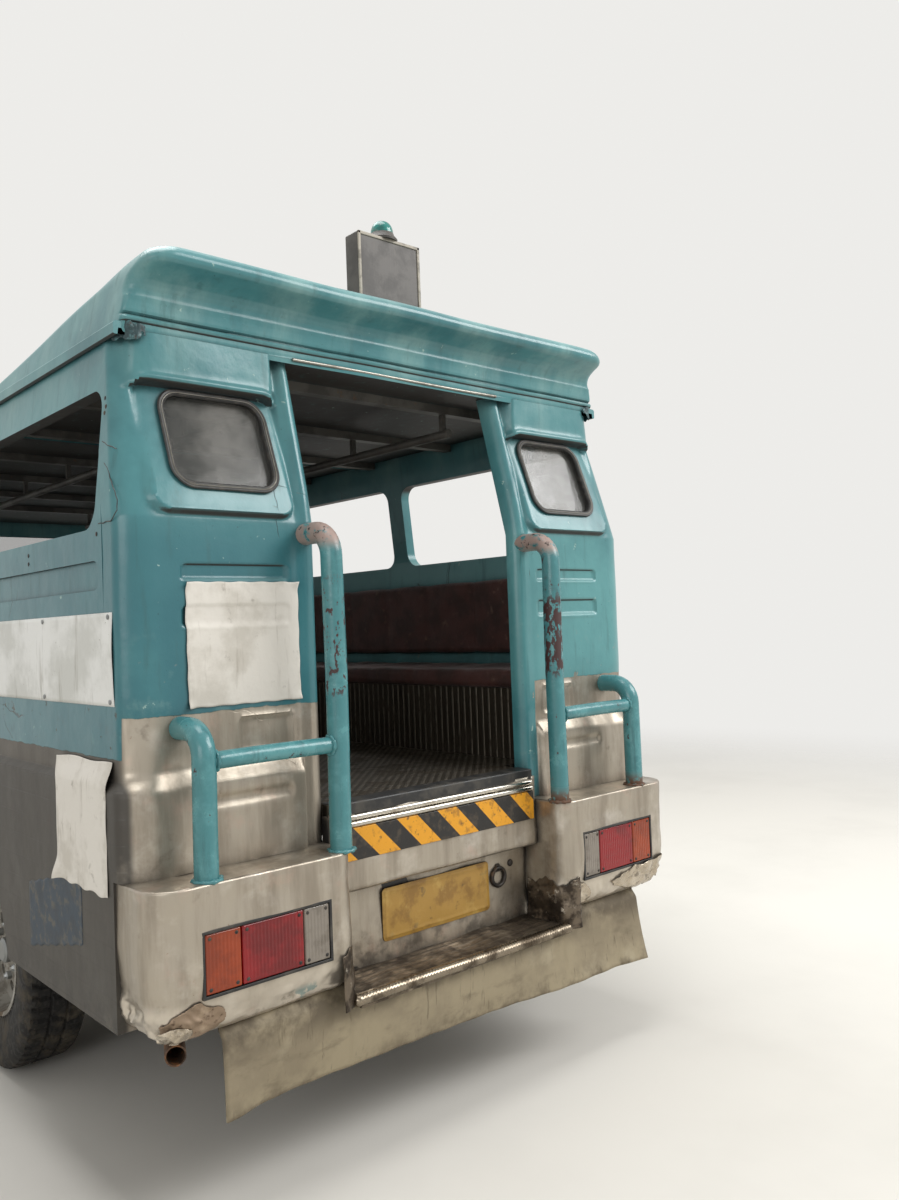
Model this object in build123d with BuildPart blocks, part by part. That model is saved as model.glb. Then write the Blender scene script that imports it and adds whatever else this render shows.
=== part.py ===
"""A jeepney: a locally bodied passenger vehicle with a short bonnet, an open rear doorway and long benches.

Millimetres. X points forward, Y to the vehicle's left and Z up. The origin is on the ground, on the centre
line, midway between the face of the rear bumper boxes and the face of the front bumper.
"""

from build123d import *
from math import atan2, cos, degrees, hypot, radians, sin, tan
import os

os.makedirs("parts", exist_ok=True)

# Overall length and where the two axles stand
LENGTH = 5400
REAR_OVERHANG = 1320
FRONT_OVERHANG = 830
REAR = -LENGTH / 2
NOSE = LENGTH / 2
AXLE_R = REAR + REAR_OVERHANG
AXLE_F = NOSE - FRONT_OVERHANG

# Body section: outer half widths and the heights where they change
SKIRT_HALF = 900
BELT_HALF = 880
EAVE_HALF = 835
SKIRT_BOTTOM = 445
LEDGE_Z = 975
LEDGE_RISE = 15
BELT_Z = 1578
EAVE_Z = 2015
WALL = 40

# Floor and the bearers that carry it on the frame
FLOOR_TOP = 865
FLOOR_THICK = 45
BEARER_DEEP = 60
BEARER_WIDE = 60
FLOOR_BOTTOM = FLOOR_TOP - FLOOR_THICK
RAIL_TOP = FLOOR_BOTTOM - BEARER_DEEP

# Windows in the side walls and cab doors
SILL_Z = 1560
WINDOW_TOP = 1890
WINDOW_CORNER = 55
WINDOW_PILLAR = 90
WINDOWS_A_SIDE = 3
REAR_PILLAR = 40
FRONT_PILLAR = 70
GROOVE_LOW = 1418
GROOVE_HIGH = 1486
GROOVE_DEEP = 10

# Rear corners and the doorway between them
QUARTER_LONG = 240
REAR_FACE = 145
LOW_BULGE = 25
REAR_LEAN = 108
CORNER_LONG = 45
CORNER_WIDE = 80
JAMB_HALF = 363
JAMB_ROLL = 26
PILLAR_WIDE = 58
PILLAR_PROUD = 10
PILLAR_FADE = 112
BROW_Z = 1905
HEADER_FACE = 215
PANEL_LOW = 1592
PANEL_IN = 425
PANEL_OUT = 800
PANEL_CORNER = 55
PANEL_PROUD = 22
PANEL_SUNK = 18
PANEL_ROUND = 14
PANE_LOW = 1655
PANE_HIGH = 1888
PANE_IN = 468
PANE_OUT = 742
PANE_CORNER = 50
PANE_THICK = 6
PANE_SET_IN = 8

# Rear bumper boxes, the step between them and the flap below
SHELF_Z = 775
BOX_BOTTOM = 450
BOX_INNER = 375
BOX_DEEP = 180
BOX_OUTER_RADIUS = 80
BOX_INNER_RADIUS = 55
BOX_TUCK_RADIUS = 40
TREAD_TOP = 425
TREAD_THICK = 30
RISER_FACE = 165
SILL_FACE = 115
SILL_STEP_Z = 640
RISER_THICK = 35
LAMP_IN = 457
LAMP_OUT = 783
LAMP_LOW = 537
LAMP_HIGH = 673
LAMP_DEEP = 40
LAMP_SPLITS = (0.24, 0.71)
FLAP_HALF = 730
FLAP_BOTTOM = 245
FLAP_THICK = 8
FLAP_SET_IN = 28

# Handrails beside the doorway
PIPE_RADIUS = 27
CROSSBAR_RADIUS = 20
PIPE_BEND = 62
PIPE_SET_IN = 34
WELD_GAP = 0.3
TALL_POST_Y = 395
SHORT_POST_Y = 752
TALL_POST_TOP = 1550
SHORT_POST_TOP = 1098
CROSSBAR_Z = 1030

# Roof: crowned slab, raised tail with a rolled lip, front visor
ROOF_HALF = 850
ROOF_EDGE_Z = EAVE_Z + 15
ROOF_CROWN = 35
ROOF_THICK = 35
DRIP_LIP = 12
DRIP_DROP = 15
TAIL_LONG = 1300
TAIL_TOP_HALF = 792
TAIL_RISE = 190
LAND_Z = EAVE_Z + TAIL_RISE
LAND_FRONT = 340
ROLL_RADIUS = 40
ROLL_X = 152
ROLL_Z = LAND_Z - ROLL_RADIUS
BEAD_X = 212
BEAD_HIGH = 38
COVE_SET_OUT = 8
COVE_DEEP = 30
VISOR_REACH = 215
VISOR_ROLL = 34

# Cab: door, windscreen, dash and seats
COWL_X = NOSE - 1060
COWL_Z = 1235
CHEEK_LONG = 244
DOOR_LONG = 698
DOOR_FRONT = COWL_X - CHEEK_LONG
DOOR_REAR = DOOR_FRONT - DOOR_LONG
DOOR_BOTTOM = 800
DOOR_TOP = 1990
DOOR_GAP = 8
DOOR_STILE = 70
HINGE_Y = 914
HINGE_PIN = 7
HINGE_BARREL = 13
HINGE_BARREL_LONG = 70
HINGE_CLEAR = 0.3
SCREEN_RAKE = 15.3
SCREEN_FRAME = 45
SCREEN_BORDER = 62
SCREEN_CORNER = 55
GLASS_THICK = 6
BULKHEAD_X = DOOR_REAR - 193
BULKHEAD_TOP = 1300
SEAT_CENTRE = 372
SEAT_WIDE = 470
SEAT_REAR = DOOR_REAR - 138
SEAT_LONG = 500
SEAT_TOP = 1150
SEAT_CUSHION = 100
SEAT_BACK_TOP = 1610
SEAT_BACK_THICK = 90
SEAT_BACK_LEAN = 8

# Benches along both sides
BENCH_REAR = 260
BENCH_HIGH = 1095
BENCH_IN = 490
BENCH_BOARD = 20
CUSHION_THICK = 70
CUSHION_IN = 468
BACK_LOW = 1195
BACK_HIGH = 1475
BACK_THICK = 45
SOFT_GAP = 0.3

# Nose: wings, bonnet, grille, lamps and bumper
WING_FRONT = NOSE - 130
WING_TOP_REAR = 1165
WING_TOP_FRONT = 1085
WING_SKIN = 28
WING_EDGE = 70
APRON_IN = 472
BONNET_HALF = 466
BONNET_SKIN = 22
BONNET_CROWN = 42
BONNET_PROUD = 34
BONNET_FRONT = WING_FRONT - 8
BONNET_GAP = 8
BONNET_SIDE = 51
GRILLE_THICK = 25
GRILLE_X = WING_FRONT - GRILLE_THICK
GRILLE_LOW = 560
GRILLE_HOLE_HALF = 400
GRILLE_HOLE_LOW = 800
GRILLE_HOLE_HIGH = 1010
GRILLE_BARS = 8
GRILLE_BAR = 14
SLAM_LONG = 90
HEADLAMP_Y = 670
HEADLAMP_Z = 905
HEADLAMP_RADIUS = 92
HEADLAMP_DEEP = 60
HEADLAMP_DOME = 16
INDICATOR_Z = 745
INDICATOR_WIDE = 150
INDICATOR_HIGH = 60
BUMPER_HALF = 892
BUMPER_LOW = 450
BUMPER_HIGH = 650
BUMPER_DEEP = 88
BUMPER_CORNER = 45
PLATE_WIDE = 394
PLATE_HIGH = 140
PLATE_THICK = 3
REAR_PLATE_Z = 543
SIGN_LOW = 1155
SIGN_HIGH = 1365
SIGN_THICK = 4
SIGN_REAR = 180
SIGN_LONG = 1700

# Roof sign with its lamp
BOARD_WIDE = 226
BOARD_DEEP = 62
BOARD_HIGH = 230
BOARD_FACE = 255
BEACON_FOOT = 44
BEACON_TIP = 24
BEACON_HIGH = 62

# Wheels
TYRE_RADIUS = 345
TYRE_WIDTH = 185
RIM_RADIUS = 190
RIM_WIDTH = 150
TYRE_GAP = 0.2
HALF_TRACK = 735
ARCH_RADIUS = 430
HUB_BORE = 26
STUB_CLEAR = 0.3
WHEEL_HOLES = 8

# Frame, axles and springs
RAIL_Y = 360
RAIL_WIDE = 55
RAIL_DEEP = 140
RAIL_SKIN = 9
RAIL_BOTTOM = RAIL_TOP - RAIL_DEEP
CROSS_DEEP = 80
CROSS_WIDE = 70
AXLE_Z = TYRE_RADIUS
KINGPIN_Y = 585
KINGPIN_RADIUS = 14
KINGPIN_CLEAR = 0.3
YOKE_RADIUS = 34
YOKE_HALF = 105
YOKE_EAR = 28
BEAM_DEEP = 80
BEAM_WIDE = 80
KNUCKLE_GAP = 6
ARM_LONG = 140
ARM_Z = AXLE_Z - 59
REAR_TUBE = 45
DIFF_RADIUS = 130
SPRING_SEAT_Z = AXLE_Z + 52
SPRING_Y = 355
SPRING_WIDE = 60
SPRING_HALF = 540
SPRING_RISE = 140
LEAF_THICK = 10
TOW_EYE_RADIUS = 16
TOW_EYE_THICK = 16
ENGINE_TOP = 1030


def save(part, name):
    """Labels a finished piece and writes it to its own STEP file."""
    part.label = name
    export_step(part, f"parts/{name}.step")


def body_half(z):
    """Outer half width of the body above the ledge, at height z."""
    if z <= BELT_Z:
        return BELT_HALF
    return BELT_HALF - (z - BELT_Z) * (BELT_HALF - EAVE_HALF) / (EAVE_Z - BELT_Z)


def wall_outline(low, high):
    """Corners of the side wall's section in Y and Z, on the left, between two heights."""
    heights = [z for z in (LEDGE_Z, LEDGE_Z + LEDGE_RISE, BELT_Z) if low < z < high]
    outer = [(SKIRT_HALF if z <= LEDGE_Z else body_half(z), z) for z in [low, *heights, high]]
    inner = [(body_half(z) - WALL, z) for z in (high, BELT_Z, low) if low <= z <= high]
    return outer + inner


def wall_block(rear, front, low, high):
    """Adds a length of side wall on the left to the part being built."""
    with BuildSketch(Plane.YZ.offset(rear)) as section:
        with BuildLine():
            Polyline(*wall_outline(low, high), close=True)
        make_face()
    extrude(section.sketch, amount=front - rear)


def side_cut(x0, x1, z0, z1, corner, y0=0, y1=1100):
    """Cuts a rounded opening through the left side, between two depths in Y."""
    with BuildSketch(Plane.XZ.offset(-y0)) as hole:
        with Locations(((x0 + x1) / 2, (z0 + z1) / 2)):
            RectangleRounded(x1 - x0, z1 - z0, corner)
    extrude(hole.sketch, amount=-(y1 - y0), mode=Mode.SUBTRACT)


def block(x0, x1, y0, y1, z0, z1, mode=Mode.ADD):
    """Adds or cuts a plain box between the given planes."""
    with Locations(((x0 + x1) / 2, (y0 + y1) / 2, (z0 + z1) / 2)):
        Box(x1 - x0, y1 - y0, z1 - z0, mode=mode)


# Frame: two channel rails, cross members and the front towing eyes
RAIL_REAR = REAR + RISER_FACE + RISER_THICK
RAIL_FRONT = NOSE - BUMPER_DEEP
CROSS_X = (RAIL_REAR + 60, AXLE_R - 470, AXLE_R + 380, AXLE_R + 1280, COWL_X - 940, COWL_X - 160)
RADIATOR_X = GRILLE_X - 215
RADIATOR_TOP = 1035
TOW_EYE_X = NOSE - 50
TOW_EYE_Z = BUMPER_LOW - 53
with BuildPart() as chassis_frame:
    with BuildSketch(Plane.YZ.offset(RAIL_REAR)):
        with Locations((RAIL_Y, RAIL_BOTTOM + RAIL_DEEP / 2)):
            Rectangle(RAIL_WIDE, RAIL_DEEP)
        with Locations((RAIL_Y - RAIL_SKIN, RAIL_BOTTOM + RAIL_DEEP / 2)):
            Rectangle(RAIL_WIDE, RAIL_DEEP - 2 * RAIL_SKIN, mode=Mode.SUBTRACT)
    extrude(amount=RAIL_FRONT - RAIL_REAR)
    eye_low = TOW_EYE_Z - 27
    eye_high = TOW_EYE_Z + 27
    eye_back = RAIL_FRONT - 8
    with BuildSketch(Plane.XZ.offset(-(RAIL_Y + RAIL_WIDE / 2 - TOW_EYE_THICK))):
        with BuildLine():
            Polyline(
                (eye_back - 70, RAIL_BOTTOM + 40), (eye_back, RAIL_BOTTOM + 40), (eye_back, eye_high),
                (NOSE - 22, eye_high), (NOSE - 22, eye_low), (eye_back - 40, eye_low),
                (eye_back - 70, eye_high + 20), close=True)
        make_face()
        with Locations((TOW_EYE_X, TOW_EYE_Z)):
            Circle(TOW_EYE_RADIUS, mode=Mode.SUBTRACT)
    extrude(amount=-TOW_EYE_THICK)
    mirror(about=Plane.XZ)
    rail_inside = RAIL_Y + RAIL_WIDE / 2 - RAIL_SKIN
    for x in CROSS_X:
        block(x - CROSS_WIDE / 2, x + CROSS_WIDE / 2, -rail_inside, rail_inside,
              RAIL_TOP - 20 - CROSS_DEEP, RAIL_TOP - 20)
    block(RADIATOR_X - 45, RADIATOR_X + 45, -rail_inside, rail_inside, RAIL_BOTTOM, RAIL_BOTTOM + 60)
save(chassis_frame.part, "chassis_frame")

# Engine and gearbox as plain blocks with two mounts, and the radiator core ahead of them
ENGINE_REAR = COWL_X + 25
ENGINE_FRONT = RADIATOR_X - 95
ENGINE_HALF = 205
ENGINE_MOUNT_X = ENGINE_REAR + 325
GEARBOX_REAR = COWL_X - 460
GEARBOX_HALF = 120
with BuildPart() as power_unit:
    block(ENGINE_REAR, ENGINE_FRONT, -ENGINE_HALF, ENGINE_HALF, RAIL_BOTTOM - 70, ENGINE_TOP)
    block(GEARBOX_REAR, ENGINE_REAR, -GEARBOX_HALF, GEARBOX_HALF, RAIL_BOTTOM - 40, RAIL_TOP - 110)
    block(ENGINE_MOUNT_X - 40, ENGINE_MOUNT_X + 40, -rail_inside, rail_inside, RAIL_BOTTOM + 25, RAIL_BOTTOM + 75)
save(power_unit.part, "power_unit")

with BuildPart() as radiator:
    block(RADIATOR_X - 30, RADIATOR_X + 30, -285, 285, RAIL_BOTTOM + 60, RADIATOR_TOP)
    block(RADIATOR_X - 38, RADIATOR_X + 38, -300, 300, RADIATOR_TOP - 50, RADIATOR_TOP)
save(radiator.part, "radiator")

# Fuel tank strapped to the outside of the right rail
TANK_REAR = AXLE_R + 760
TANK_LONG = 560
TANK_OUT = 700
TANK_LOW = RAIL_BOTTOM - 110
TANK_ROUND = 45
with BuildPart() as fuel_tank:
    block(TANK_REAR, TANK_REAR + TANK_LONG, -TANK_OUT, -(RAIL_Y + RAIL_WIDE / 2), TANK_LOW, RAIL_TOP - 30)
    fillet(fuel_tank.edges().filter_by(Axis.X), TANK_ROUND)
save(fuel_tank.part, "fuel_tank")

# Exhaust: silencer on the left, pipe over the rear axle, open tail at the rear left corner
EXHAUST_RADIUS = 22.5
EXHAUST_WALL = 3
EXHAUST_BEND = 90
SILENCER_DEEP = 72
SILENCER_WIDE = 90
SILENCER_REAR = AXLE_R + 1500
SILENCER_LONG = 620
SILENCER_Y = 540
SILENCER_Z = 530
EXHAUST_ROUTE = (  # x, y, z of each corner from the engine's underside to the open tail
    (ENGINE_REAR + 120, 150, RAIL_BOTTOM - 70),
    (ENGINE_REAR + 120, 150, 455),
    (COWL_X - 240, 250, 470),
    (COWL_X - 510, 250, 515),
    (COWL_X - 790, SILENCER_Y, SILENCER_Z),
    (AXLE_R + 380, SILENCER_Y, SILENCER_Z),
    (AXLE_R - 420, 530, 520),
    (AXLE_R - 950, 690, 425),
    (REAR + 45, 832, 420))
with BuildPart() as exhaust:
    with BuildLine() as exhaust_line:
        FilletPolyline(*EXHAUST_ROUTE, radius=EXHAUST_BEND)
    with BuildSketch(Plane(origin=exhaust_line.line @ 0, z_dir=exhaust_line.line % 0)):
        Circle(EXHAUST_RADIUS)
    sweep(path=exhaust_line.line)
    with BuildSketch(Plane.YZ.offset(SILENCER_REAR)):
        with Locations((SILENCER_Y, SILENCER_Z)):
            Ellipse(SILENCER_WIDE, SILENCER_DEEP)
    extrude(amount=SILENCER_LONG)
    for x in (SILENCER_REAR + 40, AXLE_R + 380):
        block(x - 8, x + 8, SILENCER_Y - 15, SILENCER_Y + 15, SILENCER_Z, RAIL_TOP)
    tail_plane = Plane(origin=exhaust_line.line @ 1, z_dir=-(exhaust_line.line % 1))
    with BuildSketch(tail_plane):
        Circle(EXHAUST_RADIUS - EXHAUST_WALL)
    extrude(amount=120, mode=Mode.SUBTRACT)
save(exhaust.part, "exhaust")

# Front axle: a drop-forged beam whose yokes hold the kingpins
with BuildPart() as front_axle:
    yoke_web = KINGPIN_Y - YOKE_RADIUS - 8
    block(AXLE_F - BEAM_WIDE / 2, AXLE_F + BEAM_WIDE / 2, -yoke_web, yoke_web,
          AXLE_Z - BEAM_DEEP / 2, AXLE_Z + BEAM_DEEP / 2)
    for side in (-1, 1):
        web = sorted((side * (yoke_web - 30), side * yoke_web))
        ear = sorted((side * yoke_web, side * KINGPIN_Y))
        block(AXLE_F - YOKE_RADIUS, AXLE_F + YOKE_RADIUS, *web, AXLE_Z - YOKE_HALF, AXLE_Z + YOKE_HALF)
        for z in (AXLE_Z - YOKE_HALF, AXLE_Z + YOKE_HALF - YOKE_EAR):
            block(AXLE_F - YOKE_RADIUS, AXLE_F + YOKE_RADIUS, *ear, z, z + YOKE_EAR)
            with Locations((AXLE_F, side * KINGPIN_Y, z + YOKE_EAR / 2)):
                Cylinder(YOKE_RADIUS, YOKE_EAR)
        with Locations((AXLE_F, side * KINGPIN_Y, AXLE_Z)):
            Cylinder(KINGPIN_RADIUS, 2 * YOKE_HALF)
        seat_edge = side * SPRING_Y - SPRING_WIDE / 2
        block(AXLE_F - 60, AXLE_F + 60, seat_edge, seat_edge + SPRING_WIDE, AXLE_Z, SPRING_SEAT_Z)
save(front_axle.part, "front_axle")

# Rear axle: tubes, differential case and the propeller shaft that runs up to the gearbox
STUB_RADIUS = HUB_BORE - STUB_CLEAR
SHAFT_RADIUS = 33
with BuildPart() as rear_axle:
    with Locations(Location((AXLE_R, 0, AXLE_Z), (90, 0, 0))):
        Cylinder(REAR_TUBE, 2 * (HALF_TRACK - 85))
        Cylinder(STUB_RADIUS, 2 * (HALF_TRACK + 28))
        Cylinder(DIFF_RADIUS, 150)
        Cylinder(DIFF_RADIUS - 40, 260)
    for side in (-1, 1):
        with Locations(Location((AXLE_R, side * (HALF_TRACK - 100), AXLE_Z), (90, 0, 0))):
            Cylinder(RIM_RADIUS - 50, 40)
        seat_edge = side * SPRING_Y - SPRING_WIDE / 2
        block(AXLE_R - 60, AXLE_R + 60, seat_edge, seat_edge + SPRING_WIDE, AXLE_Z, SPRING_SEAT_Z)
    shaft_start = Vector(AXLE_R + 80, 0, AXLE_Z + 20)
    shaft_end = Vector(GEARBOX_REAR, 0, RAIL_BOTTOM + 20)
    with BuildSketch(Plane(origin=shaft_start, z_dir=shaft_end - shaft_start)):
        Circle(SHAFT_RADIUS)
    extrude(amount=(shaft_end - shaft_start).length - 6)
save(rear_axle.part, "rear_axle")

# Leaf springs: three leaves on one curve, hung from the rails by a hanger and a shackle at the ends
LEAVES = (SPRING_HALF, SPRING_HALF - 130, SPRING_HALF - 260)
SPRING_CURVE = (SPRING_HALF ** 2 + SPRING_RISE ** 2) / (2 * SPRING_RISE)


def leaf_profile(x, half, low):
    """Draws one leaf seen from the side: two arcs about one centre, closed by its two ends."""
    ends = []
    for radius in (SPRING_CURVE, SPRING_CURVE - LEAF_THICK):
        bottom = low + SPRING_CURVE - radius
        tip = bottom + radius - (radius ** 2 - half ** 2) ** 0.5
        ThreePointArc((x - half, tip), (x, bottom), (x + half, tip))
        ends.append(tip)
    Line((x - half, ends[0]), (x - half, ends[1]))
    Line((x + half, ends[0]), (x + half, ends[1]))


with BuildPart() as leaf_springs:
    for axle_x in (AXLE_R, AXLE_F):
        for side in (-1, 1):
            spring_edge = side * SPRING_Y - SPRING_WIDE / 2
            for i, half in enumerate(LEAVES):
                with BuildSketch(Plane.XZ.offset(-spring_edge)):
                    with BuildLine():
                        leaf_profile(axle_x, half, SPRING_SEAT_Z + (len(LEAVES) - 1 - i) * LEAF_THICK)
                    make_face()
                extrude(amount=-SPRING_WIDE)
            block(axle_x - 45, axle_x + 45, spring_edge, spring_edge + SPRING_WIDE,
                  SPRING_SEAT_Z, SPRING_SEAT_Z + len(LEAVES) * LEAF_THICK + 14)
            for end in (-1, 1):
                x = axle_x + end * SPRING_HALF
                eye_z = SPRING_SEAT_Z + len(LEAVES) * LEAF_THICK + SPRING_RISE - 12
                block(x - 24, x + 24, spring_edge, spring_edge + SPRING_WIDE, eye_z - 22, RAIL_BOTTOM)
save(leaf_springs.part, "leaf_springs")

# Cabin floor with its bearers, the bench boxes and the seat pedestals
FLOOR_REAR = REAR + REAR_FACE
BENCH_FRONT = BULKHEAD_X - 20
floor_half = BELT_HALF - WALL
BEARER_X = (
    REAR + 300, AXLE_R - 520, AXLE_R + 380, AXLE_R + 1030, COWL_X - 1340, COWL_X - 840, COWL_X - 260)
with BuildPart() as cabin_floor:
    block(REAR + QUARTER_LONG, DOOR_REAR - DOOR_GAP, -floor_half, floor_half, FLOOR_BOTTOM, FLOOR_TOP)
    block(FLOOR_REAR - 30, REAR + QUARTER_LONG, -JAMB_HALF, JAMB_HALF, FLOOR_BOTTOM, FLOOR_TOP)
    block(DOOR_REAR - DOOR_GAP, COWL_X - 40, -floor_half + 6, floor_half - 6, FLOOR_BOTTOM, FLOOR_TOP)
    for x in BEARER_X:
        bearer_half = floor_half - 15
        block(x - BEARER_WIDE / 2, x + BEARER_WIDE / 2, -bearer_half, bearer_half, RAIL_TOP, FLOOR_BOTTOM)
    for side in (-1, 1):
        outside = sorted((side * BENCH_IN, side * floor_half))
        inside = sorted((side * (BENCH_IN + BENCH_BOARD), side * (floor_half + 1)))
        pedestal = (side * SEAT_CENTRE - 190, side * SEAT_CENTRE + 190)
        block(REAR + BENCH_REAR, BENCH_FRONT, *outside, FLOOR_TOP, BENCH_HIGH)
        block(REAR + BENCH_REAR - 1, BENCH_FRONT + 1, *inside, FLOOR_TOP, BENCH_HIGH - BENCH_BOARD,
              mode=Mode.SUBTRACT)
        block(SEAT_REAR + 70, SEAT_REAR + SEAT_LONG - 40, *pedestal, FLOOR_TOP, SEAT_TOP - SEAT_CUSHION)
save(cabin_floor.part, "cabin_floor")

# Side walls: lower panel, three windows, wheel arch and pressed groove; the skirt runs on under the cab door
WALL_REAR = REAR + QUARTER_LONG
WALL_FRONT = DOOR_REAR - DOOR_GAP
SKIRT_FRONT = DOOR_FRONT + DOOR_GAP
window_rear = WALL_REAR + REAR_PILLAR
window_front = WALL_FRONT - FRONT_PILLAR
window_long = (window_front - window_rear - (WINDOWS_A_SIDE - 1) * WINDOW_PILLAR) / WINDOWS_A_SIDE
with BuildPart() as side_wall_left:
    wall_block(WALL_REAR, WALL_FRONT, SKIRT_BOTTOM, EAVE_Z)
    wall_block(WALL_FRONT, SKIRT_FRONT, SKIRT_BOTTOM, DOOR_BOTTOM - DOOR_GAP)
    for i in range(WINDOWS_A_SIDE):
        x = window_rear + i * (window_long + WINDOW_PILLAR)
        side_cut(x, x + window_long, SILL_Z, WINDOW_TOP, WINDOW_CORNER)
    side_cut(WALL_REAR + 20, WALL_FRONT - 30, GROOVE_LOW, GROOVE_HIGH, 30, y0=BELT_HALF - GROOVE_DEEP)
    with BuildSketch(Plane.XZ.offset(-SKIRT_HALF)):
        with BuildLine():
            Polyline(
                (WALL_REAR, BELT_Z), (WALL_REAR + REAR_LEAN, EAVE_Z), (WALL_REAR + REAR_LEAN, EAVE_Z + 10),
                (WALL_REAR - 10, EAVE_Z + 10), (WALL_REAR - 10, BELT_Z), close=True)
        make_face()
    extrude(amount=SKIRT_HALF - EAVE_HALF + 2 * WALL, mode=Mode.SUBTRACT)
    block(REAR + BOX_DEEP, WALL_REAR, BELT_HALF - WALL, SKIRT_HALF, SKIRT_BOTTOM, SHELF_Z)
    with BuildSketch(Plane.XZ.offset(-(BELT_HALF - WALL - 5))):
        with Locations((AXLE_R, AXLE_Z)):
            Circle(ARCH_RADIUS)
    extrude(amount=-(SKIRT_HALF - BELT_HALF + WALL + 20), mode=Mode.SUBTRACT)
save(side_wall_left.part, "side_wall_left")
save(side_wall_left.part.mirror(Plane.XZ), "side_wall_right")

# Rear quarters: each wraps from the side wall round the corner to the doorway and leans in above the belt


def lean_at(z):
    """How far the rear face has leaned forward at height z."""
    return max(z - BELT_Z, 0) * REAR_LEAN / (EAVE_Z - BELT_Z)


QUARTER_SECTIONS = (  # height, how far the rear face stands from the bumper face, pillar's proud ridge
    (SHELF_Z, REAR_FACE - LOW_BULGE, 0.5),
    (LEDGE_Z, REAR_FACE - LOW_BULGE, 0.5),
    (LEDGE_Z + LEDGE_RISE, REAR_FACE, 0.5),
    (BELT_Z, REAR_FACE, 0.5),
    (BELT_Z + PILLAR_FADE, REAR_FACE + lean_at(BELT_Z + PILLAR_FADE), PILLAR_PROUD),
    (BROW_Z, REAR_FACE + lean_at(BROW_Z), PILLAR_PROUD))
HEADER_SECTIONS = (
    (BROW_Z, HEADER_FACE, 0.5),
    (EAVE_Z, HEADER_FACE + 3, 0.5))
DENTS = ((1320, 1375), (1430, 1470))
DENT_DEEP = 10
DENT_IN = 450
DENT_OUT = 735
BROW_LIP = 6
BROW_HIGH = 22

# The window panel is flatter than the body's lean: proud at its foot and sunk below the brow at its head
panel_foot = REAR + REAR_FACE + lean_at(PANEL_LOW) - PANEL_PROUD
panel_head = REAR + REAR_FACE + lean_at(BROW_Z) + PANEL_SUNK
PANEL_ANGLE = degrees(atan2(panel_head - panel_foot, BROW_Z - PANEL_LOW))
PANEL_PLANE = Plane(
    origin=(panel_foot, 0, PANEL_LOW), x_dir=(0, -1, 0),
    z_dir=(-cos(radians(PANEL_ANGLE)), 0, sin(radians(PANEL_ANGLE))))


def panel_rect(y0, y1, z0, z1, corner):
    """Draws a rounded rectangle on the leaning window panel, on the left, between two widths and heights."""
    low = (z0 - PANEL_LOW) / cos(radians(PANEL_ANGLE))
    high = (z1 - PANEL_LOW) / cos(radians(PANEL_ANGLE))
    with Locations((-(y0 + y1) / 2, (low + high) / 2)):
        RectangleRounded(y1 - y0, high - low, corner)


def quarter_section(z, rear_face, ridge):
    """Draws the quarter's L-shaped plan section, on the left, at height z."""
    face = REAR + rear_face
    half = SKIRT_HALF if z <= LEDGE_Z else body_half(z)
    front = REAR + QUARTER_LONG + lean_at(z)
    inner = REAR + REAR_FACE + lean_at(z) + WALL
    crest = JAMB_HALF + PILLAR_WIDE / 2
    roll = JAMB_ROLL + ridge
    with BuildSketch(Plane.XY.offset(z)) as section:
        with BuildLine():
            Line((front, half), (face + CORNER_LONG, half))
            ThreePointArc((face + CORNER_LONG, half), (face + CORNER_LONG * 0.31, half - CORNER_WIDE * 0.28),
                          (face, half - CORNER_WIDE))
            Line((face, half - CORNER_WIDE), (face, JAMB_HALF + PILLAR_WIDE))
            Line((face, JAMB_HALF + PILLAR_WIDE), (face - ridge, crest))
            ThreePointArc((face - ridge, crest), (face - ridge + roll * 0.29, JAMB_HALF + PILLAR_WIDE * 0.145),
                          (face + JAMB_ROLL, JAMB_HALF))
            Polyline((face + JAMB_ROLL, JAMB_HALF), (inner, JAMB_HALF), (inner, half - WALL),
                     (front, half - WALL), (front, half))
        make_face()
    return section.sketch


with BuildPart() as window_panel:
    with BuildSketch(PANEL_PLANE):
        panel_rect(PANEL_IN, PANEL_OUT, PANEL_LOW, BROW_Z, PANEL_CORNER)
    extrude(amount=-(WALL - PANEL_SUNK))
    outward = Axis(PANEL_PLANE.origin, PANEL_PLANE.z_dir)
    fillet(window_panel.faces().filter_by(outward).sort_by(outward)[-1].edges(), PANEL_ROUND)

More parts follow.
